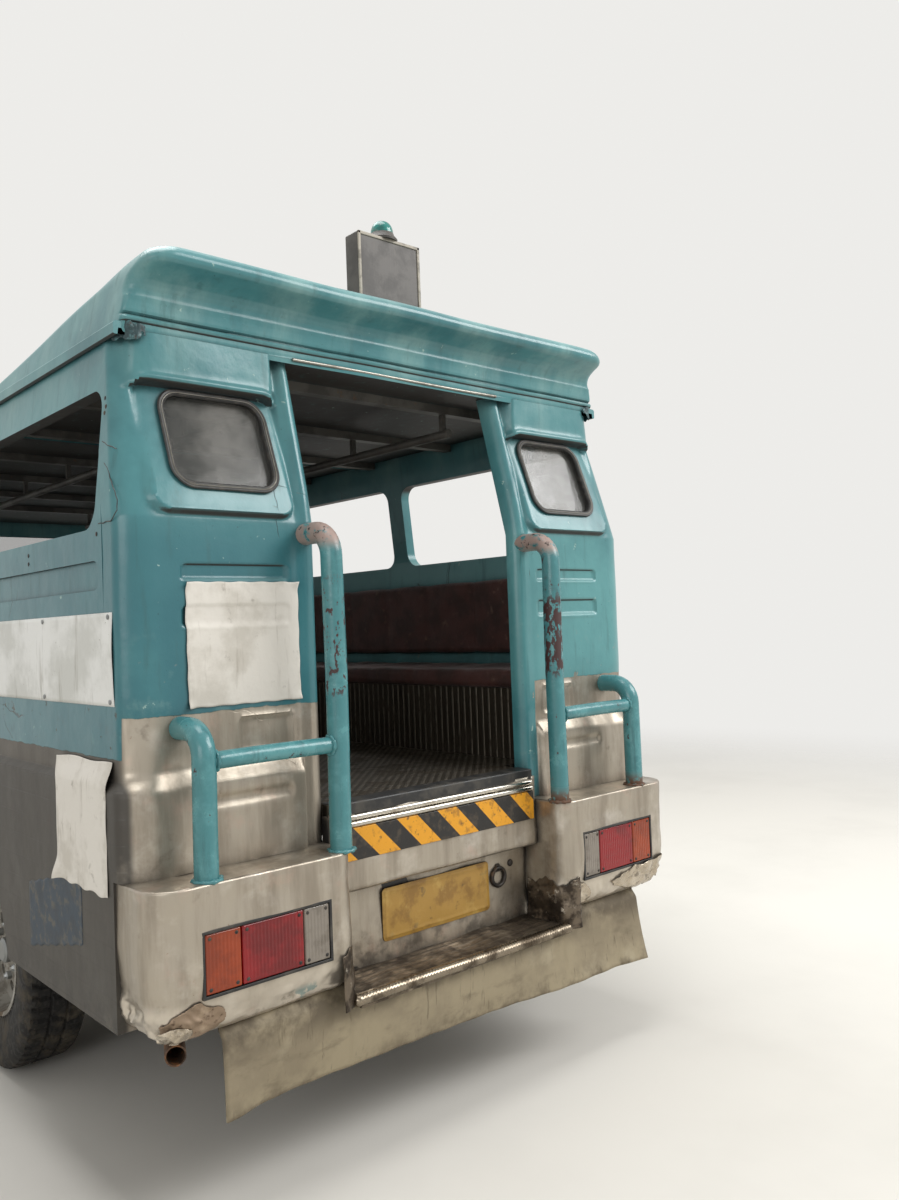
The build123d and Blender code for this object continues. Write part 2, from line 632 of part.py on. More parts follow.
with BuildPart() as rear_quarter_left:
    for low, high in zip(QUARTER_SECTIONS, QUARTER_SECTIONS[1:]):
        loft([quarter_section(*low), quarter_section(*high)], ruled=True)
    with BuildSketch(PANEL_PLANE):
        panel_rect(PANEL_IN, PANEL_OUT, PANEL_LOW, BROW_Z, PANEL_CORNER)
    extrude(amount=60, mode=Mode.SUBTRACT)
    add(window_panel.part)
    loft([quarter_section(*HEADER_SECTIONS[0]), quarter_section(*HEADER_SECTIONS[1])], ruled=True)
    with BuildSketch(Plane.YZ.offset(REAR + HEADER_FACE - BROW_LIP)):
        with Locations(((PANEL_IN + PANEL_OUT) / 2, BROW_Z + BROW_HIGH / 4)):
            RectangleRounded(PANEL_OUT - PANEL_IN + 2 * BROW_HIGH, BROW_HIGH, BROW_HIGH / 2 - 0.1)
    extrude(amount=BROW_LIP + 10)
    with BuildSketch(PANEL_PLANE.offset(20)):
        panel_rect(PANE_IN, PANE_OUT, PANE_LOW, PANE_HIGH, PANE_CORNER)
    extrude(amount=-120, mode=Mode.SUBTRACT)
    for z0, z1 in DENTS:
        with BuildSketch(Plane.YZ.offset(REAR + REAR_FACE)):
            with Locations(((DENT_IN + DENT_OUT) / 2, (z0 + z1) / 2)):
                RectangleRounded(DENT_OUT - DENT_IN, z1 - z0, 15)
        extrude(amount=DENT_DEEP, mode=Mode.SUBTRACT)
    side_cut(window_rear, window_rear + window_long, SILL_Z, WINDOW_TOP, WINDOW_CORNER)
save(rear_quarter_left.part, "rear_quarter_left")
save(rear_quarter_left.part.mirror(Plane.XZ), "rear_quarter_right")

# Panes: two in the rear quarters and the two halves of the windscreen
SCREEN_HIGH = hypot(EAVE_Z - COWL_Z, (EAVE_Z - COWL_Z) * tan(radians(SCREEN_RAKE)))
SCREEN_PLANE = Plane(
    origin=(COWL_X, 0, COWL_Z), x_dir=(0, 1, 0),
    z_dir=(cos(radians(SCREEN_RAKE)), 0, sin(radians(SCREEN_RAKE))))
SCREEN_LOW = 60
SCREEN_TOP = SCREEN_HIGH - 75
SCREEN_IN = 22
SCREEN_OUT = 745


def screen_half(side, corner):
    """Draws one half of the split windscreen on the raked plane."""
    with Locations((side * (SCREEN_IN + SCREEN_OUT) / 2, (SCREEN_LOW + SCREEN_TOP) / 2)):
        RectangleRounded(SCREEN_OUT - SCREEN_IN, SCREEN_TOP - SCREEN_LOW, corner)


with BuildPart() as panes:
    with BuildSketch(PANEL_PLANE.offset(-PANE_SET_IN)):
        panel_rect(PANE_IN, PANE_OUT, PANE_LOW, PANE_HIGH, PANE_CORNER)
    extrude(amount=-PANE_THICK)
    mirror(about=Plane.XZ)
    with BuildSketch(SCREEN_PLANE.offset(-10)):
        for side in (-1, 1):
            screen_half(side, SCREEN_CORNER)
    extrude(amount=-GLASS_THICK)
save(panes.part, "panes")

# Roof: crowned slab with drip lips, the raised tail with its cove and rolled lip, and the visor in front
ROOF_REAR = REAR + BEAD_X
SCREEN_TOP_X = COWL_X - (EAVE_Z - COWL_Z) * tan(radians(SCREEN_RAKE))
VISOR_FRONT = SCREEN_TOP_X + VISOR_REACH
VISOR_HALF = ROOF_HALF - 14
VISOR_EDGE_Z = ROOF_EDGE_Z - 45
TAIL_FRONT = ROOF_REAR + TAIL_LONG
LAND_END = REAR + LAND_FRONT
TAIL_LOW = ROOF_EDGE_Z + ROOF_CROWN - 12
bead_top = (ROOF_REAR, EAVE_Z + BEAD_HIGH)
cove_start = (ROOF_REAR - COVE_SET_OUT, bead_top[1] + 17)
cove_end = (REAR + ROLL_X - ROLL_RADIUS * 0.94, ROLL_Z - ROLL_RADIUS * 0.34)
cove_middle = ((cove_start[0] + cove_end[0]) / 2 + COVE_DEEP / 3, (cove_start[1] + cove_end[1]) / 2 + COVE_DEEP / 3)
roll_middle = (REAR + ROLL_X - ROLL_RADIUS * 0.87, ROLL_Z + ROLL_RADIUS * 0.5)
roll_top = (REAR + ROLL_X, LAND_Z)
fall_half = (TAIL_FRONT - LAND_END) / 2
fall_drop = (LAND_Z - TAIL_LOW) / 2
fall_radius = (fall_half ** 2 + fall_drop ** 2) / (2 * fall_drop)
fall_sag = fall_radius - (fall_radius ** 2 - (fall_half / 2) ** 2) ** 0.5
fall_middle = (LAND_END + fall_half, (LAND_Z + TAIL_LOW) / 2)
with BuildPart() as roof:
    with BuildSketch(Plane.XZ.offset(-ROOF_HALF)):
        with BuildLine():
            Polyline((ROOF_REAR, EAVE_Z + 5), bead_top, cove_start)
            ThreePointArc(cove_start, cove_middle, cove_end)
            ThreePointArc(cove_end, roll_middle, roll_top)
            Line(roll_top, (LAND_END, LAND_Z))
            ThreePointArc((LAND_END, LAND_Z), (LAND_END + fall_half / 2, LAND_Z - fall_sag), fall_middle)
            ThreePointArc(fall_middle, (TAIL_FRONT - fall_half / 2, TAIL_LOW + fall_sag), (TAIL_FRONT, TAIL_LOW))
            Polyline((TAIL_FRONT, TAIL_LOW), (TAIL_FRONT, EAVE_Z + 5), (ROOF_REAR, EAVE_Z + 5))
        make_face()
    extrude(amount=2 * ROOF_HALF)
    tail_foot = ROOF_HALF - DRIP_LIP
    tail_shoulder = TAIL_TOP_HALF - 30
    tail_cap = LAND_Z + 12
    with BuildSketch(Plane.YZ.offset(REAR)):
        with BuildLine():
            Line((-tail_foot, EAVE_Z), (tail_foot, EAVE_Z))
            for side in (-1, 1):
                ThreePointArc((side * tail_foot, EAVE_Z), (side * (TAIL_TOP_HALF + 22), LAND_Z - 55),
                              (side * tail_shoulder, tail_cap))
            Line((-tail_shoulder, tail_cap), (tail_shoulder, tail_cap))
        make_face()
    extrude(amount=TAIL_LONG + 400, mode=Mode.INTERSECT)
    drip_low = EAVE_Z - DRIP_DROP
    drip_in = ROOF_HALF - DRIP_LIP
    with BuildSketch(Plane.YZ.offset(ROOF_REAR)):
        with BuildLine():
            Polyline(
                (-ROOF_HALF, ROOF_EDGE_Z), (-ROOF_HALF, drip_low), (-drip_in, drip_low), (-drip_in, EAVE_Z),
                (drip_in, EAVE_Z), (drip_in, drip_low), (ROOF_HALF, drip_low), (ROOF_HALF, ROOF_EDGE_Z))
            ThreePointArc((ROOF_HALF, ROOF_EDGE_Z), (0, ROOF_EDGE_Z + ROOF_CROWN), (-ROOF_HALF, ROOF_EDGE_Z))
        make_face()
    extrude(amount=SCREEN_TOP_X - ROOF_REAR)
    with BuildSketch(Plane.XZ.offset(-VISOR_HALF)):
        with BuildLine():
            Polyline(
                (SCREEN_TOP_X - 30, EAVE_Z), (SCREEN_TOP_X - 30, ROOF_EDGE_Z + 2),
                (SCREEN_TOP_X + 60, ROOF_EDGE_Z + 2), (VISOR_FRONT, VISOR_EDGE_Z),
                (VISOR_FRONT, VISOR_EDGE_Z - VISOR_ROLL), (VISOR_FRONT - 14, VISOR_EDGE_Z - VISOR_ROLL),
                (VISOR_FRONT - 22, VISOR_EDGE_Z - 13), (SCREEN_TOP_X + 50, EAVE_Z), close=True)
        make_face()
    extrude(amount=2 * VISOR_HALF)
save(roof.part, "roof")

# Ceiling: cross bows and two rails to hold on to, hung below them
BOW_COUNT = 7
BOW_WIDE = 36
BOW_DEEP = 26
BOW_HALF = EAVE_HALF - WALL - 2
CEILING_RAIL_Y = 330
CEILING_RAIL_Z = 1925
CEILING_RAIL_RADIUS = 14
bow_first = REAR + 420
bow_step = (BULKHEAD_X + 150 - bow_first) / (BOW_COUNT - 1)
with BuildPart() as ceiling_bows:
    for i in range(BOW_COUNT):
        x = bow_first + i * bow_step
        block(x - BOW_WIDE / 2, x + BOW_WIDE / 2, -BOW_HALF, BOW_HALF, EAVE_Z - BOW_DEEP, EAVE_Z)
        for y in (-CEILING_RAIL_Y, CEILING_RAIL_Y):
            block(x - 8, x + 8, y - 8, y + 8, CEILING_RAIL_Z, EAVE_Z - BOW_DEEP)
    for y in (-CEILING_RAIL_Y, CEILING_RAIL_Y):
        with BuildSketch(Plane.YZ.offset(bow_first - 30)):
            with Locations((y, CEILING_RAIL_Z)):
                Circle(CEILING_RAIL_RADIUS)
        extrude(amount=(BOW_COUNT - 1) * bow_step + 60)
save(ceiling_bows.part, "ceiling_bows")

# Roof sign: a blank dark box on the tail with a small lamp on top
with BuildPart() as roof_sign:
    block(REAR + BOARD_FACE, REAR + BOARD_FACE + BOARD_DEEP, -BOARD_WIDE / 2, BOARD_WIDE / 2,
          LAND_Z, LAND_Z + BOARD_HIGH)
    fillet(roof_sign.edges().filter_by(Axis.X), 8)
    with Locations((REAR + BOARD_FACE + BOARD_DEEP / 2, 0, LAND_Z + BOARD_HIGH + BEACON_HIGH / 2)):
        Cone(BEACON_FOOT / 2 + BOARD_DEEP / 4 - 8, BEACON_TIP, BEACON_HIGH)
    fillet(roof_sign.faces().sort_by(Axis.Z)[-1].edges(), BEACON_TIP - 4)
save(roof_sign.part, "roof_sign")

# Rear bumper boxes on both sides of the step, with pockets for the lamps
box_out = SKIRT_HALF - 5
corner_out = BOX_OUTER_RADIUS * (1 - sin(radians(45)))
corner_in = BOX_INNER_RADIUS * (1 - sin(radians(45)))
with BuildPart() as rear_bumper_boxes:
    with BuildSketch(Plane.XY.offset(BOX_BOTTOM)):
        with BuildLine():
            Polyline((REAR + BOX_INNER_RADIUS, BOX_INNER), (REAR + BOX_DEEP, BOX_INNER),
                     (REAR + BOX_DEEP, box_out), (REAR + BOX_OUTER_RADIUS, box_out))
            ThreePointArc((REAR + BOX_OUTER_RADIUS, box_out), (REAR + corner_out, box_out - corner_out),
                          (REAR, box_out - BOX_OUTER_RADIUS))
            Line((REAR, box_out - BOX_OUTER_RADIUS), (REAR, BOX_INNER + BOX_INNER_RADIUS))
            ThreePointArc((REAR, BOX_INNER + BOX_INNER_RADIUS), (REAR + corner_in, BOX_INNER + corner_in),
                          (REAR + BOX_INNER_RADIUS, BOX_INNER))
        make_face()
    extrude(amount=SHELF_Z - BOX_BOTTOM)
    face_edges = rear_bumper_boxes.edges().filter_by_position(Axis.X, REAR - 1, REAR + BOX_OUTER_RADIUS * 0.75)
    fillet(face_edges.filter_by_position(Axis.Z, BOX_BOTTOM - 1, BOX_BOTTOM + 1), BOX_TUCK_RADIUS)
    block(REAR - 1, REAR + LAMP_DEEP, LAMP_IN, LAMP_OUT, LAMP_LOW, LAMP_HIGH, mode=Mode.SUBTRACT)
    mirror(about=Plane.XZ)
save(rear_bumper_boxes.part, "rear_bumper_boxes")

# Tail lamps: a dark tray with three lenses each, outer to inner amber, red and clear
LAMP_RIM = 8
LENS_GAP = 2
with BuildPart() as tail_lamps:
    block(REAR + 2, REAR + LAMP_DEEP, LAMP_IN, LAMP_OUT, LAMP_LOW, LAMP_HIGH)
    block(REAR + 1, REAR + 14, LAMP_IN + LAMP_RIM, LAMP_OUT - LAMP_RIM,
          LAMP_LOW + LAMP_RIM, LAMP_HIGH - LAMP_RIM, mode=Mode.SUBTRACT)
    lens_span = LAMP_OUT - LAMP_IN - 2 * LAMP_RIM
    cuts = (0, *LAMP_SPLITS, 1)
    for inner, outer in zip(cuts, cuts[1:]):
        block(REAR + 2, REAR + 14, LAMP_IN + LAMP_RIM + inner * lens_span + LENS_GAP / 2,
              LAMP_IN + LAMP_RIM + outer * lens_span - LENS_GAP / 2,
              LAMP_LOW + LAMP_RIM + LENS_GAP, LAMP_HIGH - LAMP_RIM - LENS_GAP)
    mirror(about=Plane.XZ)
save(tail_lamps.part, "tail_lamps")

# Step well: tread, lower panel and riser, with a tow ring that hangs against the lower panel
RING_Y = -250
RING_Z = 560
RING_RADIUS = 26
RING_WIRE = 6
riser_front = REAR + RISER_FACE + RISER_THICK
sill_front = REAR + SILL_FACE + RISER_THICK
with BuildPart() as step_well:
    with BuildSketch(Plane.XZ.offset(-BOX_INNER)):
        with BuildLine():
            Polyline(
                (REAR, TREAD_TOP - TREAD_THICK), (REAR, TREAD_TOP), (REAR + RISER_FACE, TREAD_TOP),
                (REAR + RISER_FACE, SILL_STEP_Z), (REAR + SILL_FACE, SILL_STEP_Z), (REAR + SILL_FACE, FLOOR_BOTTOM),
                (sill_front, FLOOR_BOTTOM), (sill_front, SILL_STEP_Z + RISER_THICK),
                (riser_front, SILL_STEP_Z + RISER_THICK), (riser_front, TREAD_TOP - TREAD_THICK), close=True)
        make_face()
    extrude(amount=2 * BOX_INNER)
    with Locations(Location((REAR + RISER_FACE - RING_WIRE + 1, RING_Y, RING_Z), (0, 90, 0))):
        Torus(RING_RADIUS, RING_WIRE)
    with Locations(Location((REAR + RISER_FACE - 8, RING_Y, RING_Z + RING_RADIUS), (0, 90, 0))):
        Cylinder(11, 20)
    for side in (-1, 1):
        beside = sorted((side * JAMB_HALF, side * (BOX_INNER + 1)))
        block(REAR + SILL_FACE - 1, sill_front + 1, *beside, SHELF_Z, FLOOR_BOTTOM + 1, mode=Mode.SUBTRACT)
save(step_well.part, "step_well")

# Flap below the step, notched round the tread's ends
with BuildPart() as mud_flap:
    with BuildSketch(Plane.YZ.offset(REAR + FLAP_SET_IN)):
        with BuildLine():
            Polyline(
                (-FLAP_HALF, FLAP_BOTTOM), (FLAP_HALF, FLAP_BOTTOM), (FLAP_HALF, BOX_BOTTOM - 12),
                (BOX_INNER + 3, BOX_BOTTOM - 12), (BOX_INNER + 3, TREAD_TOP - TREAD_THICK),
                (-BOX_INNER - 3, TREAD_TOP - TREAD_THICK), (-BOX_INNER - 3, BOX_BOTTOM - 12),
                (-FLAP_HALF, BOX_BOTTOM - 12), close=True)
        make_face()
    extrude(amount=FLAP_THICK)
save(mud_flap.part, "mud_flap")

# Handrails: a tall and a short pipe on each box, bent forward into the body, with a cross pipe between them
POST_X = REAR + PIPE_SET_IN
with BuildPart() as handrails:
    for post_y, post_top in ((TALL_POST_Y, TALL_POST_TOP), (SHORT_POST_Y, SHORT_POST_TOP)):
        with BuildLine() as post_line:
            FilletPolyline((POST_X, post_y, SHELF_Z), (POST_X, post_y, post_top),
                           (REAR + REAR_FACE + WALL - 8, post_y, post_top), radius=PIPE_BEND)
        with BuildSketch(Plane.XY.offset(SHELF_Z)):
            with Locations((POST_X, post_y)):
                Circle(PIPE_RADIUS)
        sweep(path=post_line.line)
    with BuildSketch(Plane.XZ.offset(-TALL_POST_Y)):
        with Locations((POST_X, CROSSBAR_Z)):
            Circle(CROSSBAR_RADIUS)
    extrude(amount=-(SHORT_POST_Y - TALL_POST_Y))
    block(REAR + REAR_FACE - 0.5 - WELD_GAP, REAR + QUARTER_LONG, 0, SKIRT_HALF, SHELF_Z, EAVE_Z,
          mode=Mode.SUBTRACT)
    mirror(about=Plane.XZ)
save(handrails.part, "handrails")

# Sheet-metal plates and boards, all blank
with BuildPart() as number_plates:
    block(REAR + RISER_FACE - PLATE_THICK, REAR + RISER_FACE, -15 - PLATE_WIDE / 2, -15 + PLATE_WIDE / 2,
          REAR_PLATE_Z - PLATE_HIGH / 2, REAR_PLATE_Z + PLATE_HIGH / 2)
    block(NOSE - PLATE_THICK, NOSE, -PLATE_WIDE / 2, PLATE_WIDE / 2,
          (BUMPER_LOW + BUMPER_HIGH - PLATE_HIGH) / 2, (BUMPER_LOW + BUMPER_HIGH + PLATE_HIGH) / 2)
save(number_plates.part, "number_plates")

with BuildPart() as side_signs:
    block(REAR + REAR_FACE + CORNER_LONG, REAR + SIGN_REAR + SIGN_LONG, BELT_HALF, BELT_HALF + SIGN_THICK,
          SIGN_LOW, SIGN_HIGH)
    mirror(about=Plane.XZ)
save(side_signs.part, "side_signs")

# Benches: loose cushions on the boxes and padded backs along the walls
CUSHION_OUT = BELT_HALF - WALL - 4
with BuildPart() as bench_cushions:
    block(REAR + BENCH_REAR, BENCH_FRONT, CUSHION_IN, CUSHION_OUT, BENCH_HIGH, BENCH_HIGH + CUSHION_THICK)
    fillet(bench_cushions.edges().filter_by(Axis.X).sort_by(Axis.Z)[-2:], 20)
    mirror(about=Plane.XZ)
save(bench_cushions.part, "bench_cushions")

with BuildPart() as bench_backs:
    block(REAR + BENCH_REAR + 20, BENCH_FRONT - 10, BELT_HALF - WALL - BACK_THICK, BELT_HALF - WALL,
          BACK_LOW, BACK_HIGH)
    fillet(bench_backs.edges().filter_by(Axis.X).sort_by(Axis.Y)[:2], 15)
    mirror(about=Plane.XZ)
save(bench_backs.part, "bench_backs")

# Board between the cab and the cabin
with BuildPart() as cab_bulkhead:
    block(BENCH_FRONT, BENCH_FRONT + 30, 180, BELT_HALF - WALL, FLOOR_TOP, BULKHEAD_TOP)
    block(BENCH_FRONT, BENCH_FRONT + 30, -BELT_HALF + WALL, -180, FLOOR_TOP, BULKHEAD_TOP)
    block(BENCH_FRONT, BENCH_FRONT + 30, -180, 180, BULKHEAD_TOP - 30, BULKHEAD_TOP)
save(cab_bulkhead.part, "cab_bulkhead")

# Cab seats
with BuildPart() as cab_seats:
    for side in (-1, 1):
        y = side * SEAT_CENTRE
        block(SEAT_REAR, SEAT_REAR + SEAT_LONG, y - SEAT_WIDE / 2, y + SEAT_WIDE / 2,
              SEAT_TOP - SEAT_CUSHION, SEAT_TOP)
        lean = (SEAT_BACK_TOP - SEAT_TOP) * tan(radians(SEAT_BACK_LEAN))
        with BuildSketch(Plane.XZ.offset(-(y - SEAT_WIDE / 2 + 10))):
            with BuildLine():
                Polyline(
                    (SEAT_REAR, SEAT_TOP), (SEAT_REAR + SEAT_BACK_THICK, SEAT_TOP),
                    (SEAT_REAR + SEAT_BACK_THICK - lean, SEAT_BACK_TOP),
                    (SEAT_REAR - lean, SEAT_BACK_TOP), close=True)
            make_face()
        extrude(amount=-(SEAT_WIDE - 20))
    top_edges = cab_seats.edges().filter_by(Axis.Y).sort_by(Axis.Z)[-4:]
    fillet(top_edges, 30)
save(cab_seats.part, "cab_seats")

# Cowl: firewall, dash, steering column, and the side cheeks between the door and the wing
COLUMN_TILT = 35
STEER_CENTRE = (COWL_X - 310, SEAT_CENTRE, 1290)
STEER_AXIS = Plane(origin=STEER_CENTRE, z_dir=(cos(radians(COLUMN_TILT)), 0, -sin(radians(COLUMN_TILT))))
HUB_FRONT = 25
COLUMN_RADIUS = 18
COLUMN_LONG = 185
DASH_REAR = COWL_X - 160
DASH_LOW = 1110
BONNET_PIN_X = COWL_X + 8
BONNET_PIN_Z = COWL_Z + 12
BONNET_PIN_Y = 300
BONNET_PIN_RADIUS = 5
BONNET_BARREL = 9
HINGE_HEIGHTS = ((880, SKIRT_HALF), (1450, BELT_HALF))
with BuildPart() as cowl:
    wall_block(DOOR_FRONT + DOOR_GAP, COWL_X, SKIRT_BOTTOM, COWL_Z)
    with BuildSketch(Plane.XZ.offset(-(BELT_HALF - WALL - 5))):
        with Locations((AXLE_F, AXLE_Z)):
            Circle(ARCH_RADIUS)
    extrude(amount=-(SKIRT_HALF - BELT_HALF + WALL + 20), mode=Mode.SUBTRACT)
    mirror(about=Plane.XZ)
    block(COWL_X - 40, COWL_X, -BELT_HALF + WALL, BELT_HALF - WALL, FLOOR_BOTTOM, COWL_Z)
    block(DASH_REAR, COWL_X - 40, -BELT_HALF + WALL, BELT_HALF - WALL, DASH_LOW, COWL_Z)
    fillet(cowl.edges().filter_by(Axis.Y).filter_by_position(Axis.X, DASH_REAR - 1, DASH_REAR + 1), 30)
    with BuildSketch(STEER_AXIS.offset(HUB_FRONT)):
        Circle(COLUMN_RADIUS)
    extrude(amount=COLUMN_LONG)
    for side in (-1, 1):
        y = side * BONNET_PIN_Y
        block(COWL_X, COWL_X + BONNET_GAP - 1, y - 15, y + 15, COWL_Z - 60, BONNET_PIN_Z)
        with Locations(Location((BONNET_PIN_X, y, BONNET_PIN_Z), (90, 0, 0))):
            Cylinder(BONNET_BARREL, 30)
            Cylinder(BONNET_PIN_RADIUS, 90)
save(cowl.part, "cowl")

# Windscreen frame: a raked header and sill with two openings, and the pillars that carry the door hinges
frame_back = SCREEN_FRAME / cos(radians(SCREEN_RAKE))
pillar_rear = DOOR_FRONT + DOOR_GAP
notch_z = EAVE_Z - (pillar_rear + frame_back - SCREEN_TOP_X) / tan(radians(SCREEN_RAKE))
with BuildPart() as windscreen_frame:
    with BuildSketch(Plane.XZ.offset(-BELT_HALF)):
        with BuildLine():
            Polyline(
                (COWL_X, COWL_Z), (SCREEN_TOP_X, EAVE_Z), (pillar_rear, EAVE_Z), (pillar_rear, notch_z),
                (COWL_X - frame_back, COWL_Z), close=True)
        make_face()
    extrude(amount=2 * BELT_HALF)
    with BuildSketch(Plane.YZ.offset(pillar_rear - 1)):
        with BuildLine():
            Polyline(
                (BELT_HALF, COWL_Z), (BELT_HALF, BELT_Z), (EAVE_HALF, EAVE_Z), (-EAVE_HALF, EAVE_Z),
                (-BELT_HALF, BELT_Z), (-BELT_HALF, COWL_Z), close=True)
        make_face()
    extrude(amount=COWL_X - pillar_rear + 2, mode=Mode.INTERSECT)
    for side in (-1, 1):
        with BuildSketch(Plane.YZ.offset(pillar_rear)):
            with BuildLine():
                Polyline(
                    (side * BELT_HALF, COWL_Z), (side * BELT_HALF, BELT_Z), (side * EAVE_HALF, EAVE_Z),
                    (side * (EAVE_HALF - WALL), EAVE_Z), (side * (BELT_HALF - WALL), BELT_Z),
                    (side * (BELT_HALF - WALL), COWL_Z), close=True)
            make_face()
        extrude(amount=60)
    with BuildSketch(SCREEN_PLANE.offset(30)):
        for side in (-1, 1):
            screen_half(side, SCREEN_CORNER)
    extrude(amount=-140, mode=Mode.SUBTRACT)
    with BuildSketch(Plane.XZ.offset(-BELT_HALF - 50)):
        with BuildLine():
            Polyline((COWL_X, COWL_Z), (SCREEN_TOP_X, EAVE_Z), (SCREEN_TOP_X + 400, EAVE_Z),
                     (COWL_X + 400, COWL_Z), close=True)
        make_face()
    extrude(amount=2 * BELT_HALF + 100, mode=Mode.SUBTRACT)
save(windscreen_frame.part, "windscreen_frame")

# Cab doors: full height, with their own half of each hinge
HINGE_X = DOOR_FRONT + DOOR_GAP / 2
HINGE_LEAF = 45
with BuildPart() as hinge_pins_left:
    for z, face in HINGE_HEIGHTS:
        low = z - HINGE_BARREL_LONG / 2
        block(HINGE_X, HINGE_X + HINGE_LEAF, face, HINGE_Y + 4, low, z)
        with Locations((HINGE_X, HINGE_Y, low + HINGE_BARREL_LONG / 4)):
            Cylinder(HINGE_BARREL, HINGE_BARREL_LONG / 2)
        with Locations((HINGE_X, HINGE_Y, z)):
            Cylinder(HINGE_PIN, HINGE_BARREL_LONG)
    block(HINGE_X - 60, pillar_rear - 0.5, BELT_HALF - 60, HINGE_Y - HINGE_BARREL - 0.8, 0, DOOR_TOP,
          mode=Mode.SUBTRACT)
    mirror(about=Plane.XZ)
save(hinge_pins_left.part, "door_hinge_pins")

with BuildPart() as door_left:
    wall_block(DOOR_REAR, DOOR_FRONT, DOOR_BOTTOM, DOOR_TOP)
    side_cut(DOOR_REAR + DOOR_STILE, DOOR_FRONT - DOOR_STILE, SILL_Z, WINDOW_TOP, WINDOW_CORNER)
    for z, face in HINGE_HEIGHTS:
        block(HINGE_X - HINGE_LEAF, HINGE_X, face - 1, HINGE_Y + 4, z, z + HINGE_BARREL_LONG / 2)
        with Locations((HINGE_X, HINGE_Y, z + HINGE_BARREL_LONG / 4)):
            Cylinder(HINGE_BARREL, HINGE_BARREL_LONG / 2)
            Cylinder(HINGE_PIN + HINGE_CLEAR, HINGE_BARREL_LONG, mode=Mode.SUBTRACT)
    with Locations((DOOR_REAR + 90, BELT_HALF + 22, 1240)):
        Box(110, 14, 24)
    block(DOOR_REAR + 38, DOOR_REAR + 58, BELT_HALF, BELT_HALF + 16, 1228, 1252)
    block(DOOR_REAR + 122, DOOR_REAR + 142, BELT_HALF, BELT_HALF + 16, 1228, 1252)
save(door_left.part, "door_left")
save(door_left.part.mirror(Plane.XZ), "door_right")

# Steering wheel: rim, hub and three spokes
RIM_RING = 192
RIM_GRIP = 13
with BuildPart() as steering_wheel:
    with BuildSketch(STEER_AXIS.offset(-20)):
        Circle(40)
    extrude(amount=20 + HUB_FRONT)
    for i in range(3):
        with BuildSketch(STEER_AXIS.offset(-6)):
            with Locations(Rotation(0, 0, 90 + 120 * i)):
                with Locations((RIM_RING / 2, 0)):
                    Rectangle(RIM_RING, 22)
        extrude(amount=12)
    with Locations(STEER_AXIS.location):
        Torus(RIM_RING, RIM_GRIP)
save(steering_wheel.part, "steering_wheel")


# Wings: a hollow shell a side with the arch cut through the outer panel and a hole for the headlamp
def wing_section(x, top, inset):
    """Draws the left wing's section in Y and Z at station x, shrunk by inset for the hollow inside."""
    r = WING_EDGE - inset
    k = r * (1 - sin(radians(45)))
    half = SKIRT_HALF - inset
    low = GRILLE_LOW - inset
    high = top - inset
    with BuildSketch(Plane.YZ.offset(x)) as section:
        with BuildLine():
            Polyline((half, high - r), (half, low), (APRON_IN + inset, low), (APRON_IN + inset, high),
                     (half - r, high))
            ThreePointArc((half - r, high), (half - k, high - k), (half, high - r))
        make_face()
    return section.sketch


with BuildPart() as front_wings:
    loft([wing_section(COWL_X, WING_TOP_REAR, 0), wing_section(WING_FRONT, WING_TOP_FRONT, 0)], ruled=True)
    inside = [
        wing_section(COWL_X - 1, WING_TOP_REAR, WING_SKIN),
        wing_section(WING_FRONT - WING_SKIN, WING_TOP_FRONT + 2, WING_SKIN)]
    loft(inside, ruled=True, mode=Mode.SUBTRACT)
    block(COWL_X - 1, WING_FRONT - WING_SKIN, APRON_IN - 1, APRON_IN + WING_SKIN + 1, GRILLE_LOW - 60,
          RAIL_TOP + 10, mode=Mode.SUBTRACT)
    with BuildSketch(Plane.XZ.offset(-(SKIRT_HALF - WING_SKIN - 10))):
        with Locations((AXLE_F, AXLE_Z)):
            Circle(ARCH_RADIUS)
    extrude(amount=-60, mode=Mode.SUBTRACT)
    with Locations(Location((WING_FRONT, HEADLAMP_Y, HEADLAMP_Z), (0, 90, 0))):
        Cylinder(HEADLAMP_RADIUS, 120, mode=Mode.SUBTRACT)
    block(WING_FRONT - 60, WING_FRONT + 5, HEADLAMP_Y - INDICATOR_WIDE / 2, HEADLAMP_Y + INDICATOR_WIDE / 2,
          INDICATOR_Z - INDICATOR_HIGH / 2, INDICATOR_Z + INDICATOR_HIGH / 2, mode=Mode.SUBTRACT)
    mirror(about=Plane.XZ)
save(front_wings.part, "front_wings")

with BuildPart() as headlamps:
    with Locations(Location((WING_FRONT - HEADLAMP_DEEP / 2 + 8, HEADLAMP_Y, HEADLAMP_Z), (0, 90, 0))):
        Cylinder(HEADLAMP_RADIUS, HEADLAMP_DEEP)
    fillet(headlamps.edges().sort_by(Axis.X)[-1], HEADLAMP_DOME)
    block(WING_FRONT - 28, WING_FRONT + 6, HEADLAMP_Y - INDICATOR_WIDE / 2, HEADLAMP_Y + INDICATOR_WIDE / 2,
          INDICATOR_Z - INDICATOR_HIGH / 2, INDICATOR_Z + INDICATOR_HIGH / 2)
    mirror(about=Plane.XZ)
save(headlamps.part, "headlamps")

# Bonnet: a crowned skin with side flanges and a front lip, hinged at its rear edge
BONNET_REAR = COWL_X + BONNET_GAP


def bonnet_section(x, edge_z, inset):
    """Draws the bonnet's section in Y and Z at station x: straight sides, a crowned top, shrunk by inset."""
    half = BONNET_HALF - inset
    edge = edge_z - inset
    with BuildSketch(Plane.YZ.offset(x)) as section:
        with BuildLine():
            Polyline((-half, edge), (-half, edge - BONNET_SIDE), (half, edge - BONNET_SIDE), (half, edge))
            ThreePointArc((half, edge), (0, edge + BONNET_CROWN), (-half, edge))
        make_face()
    return section.sketch


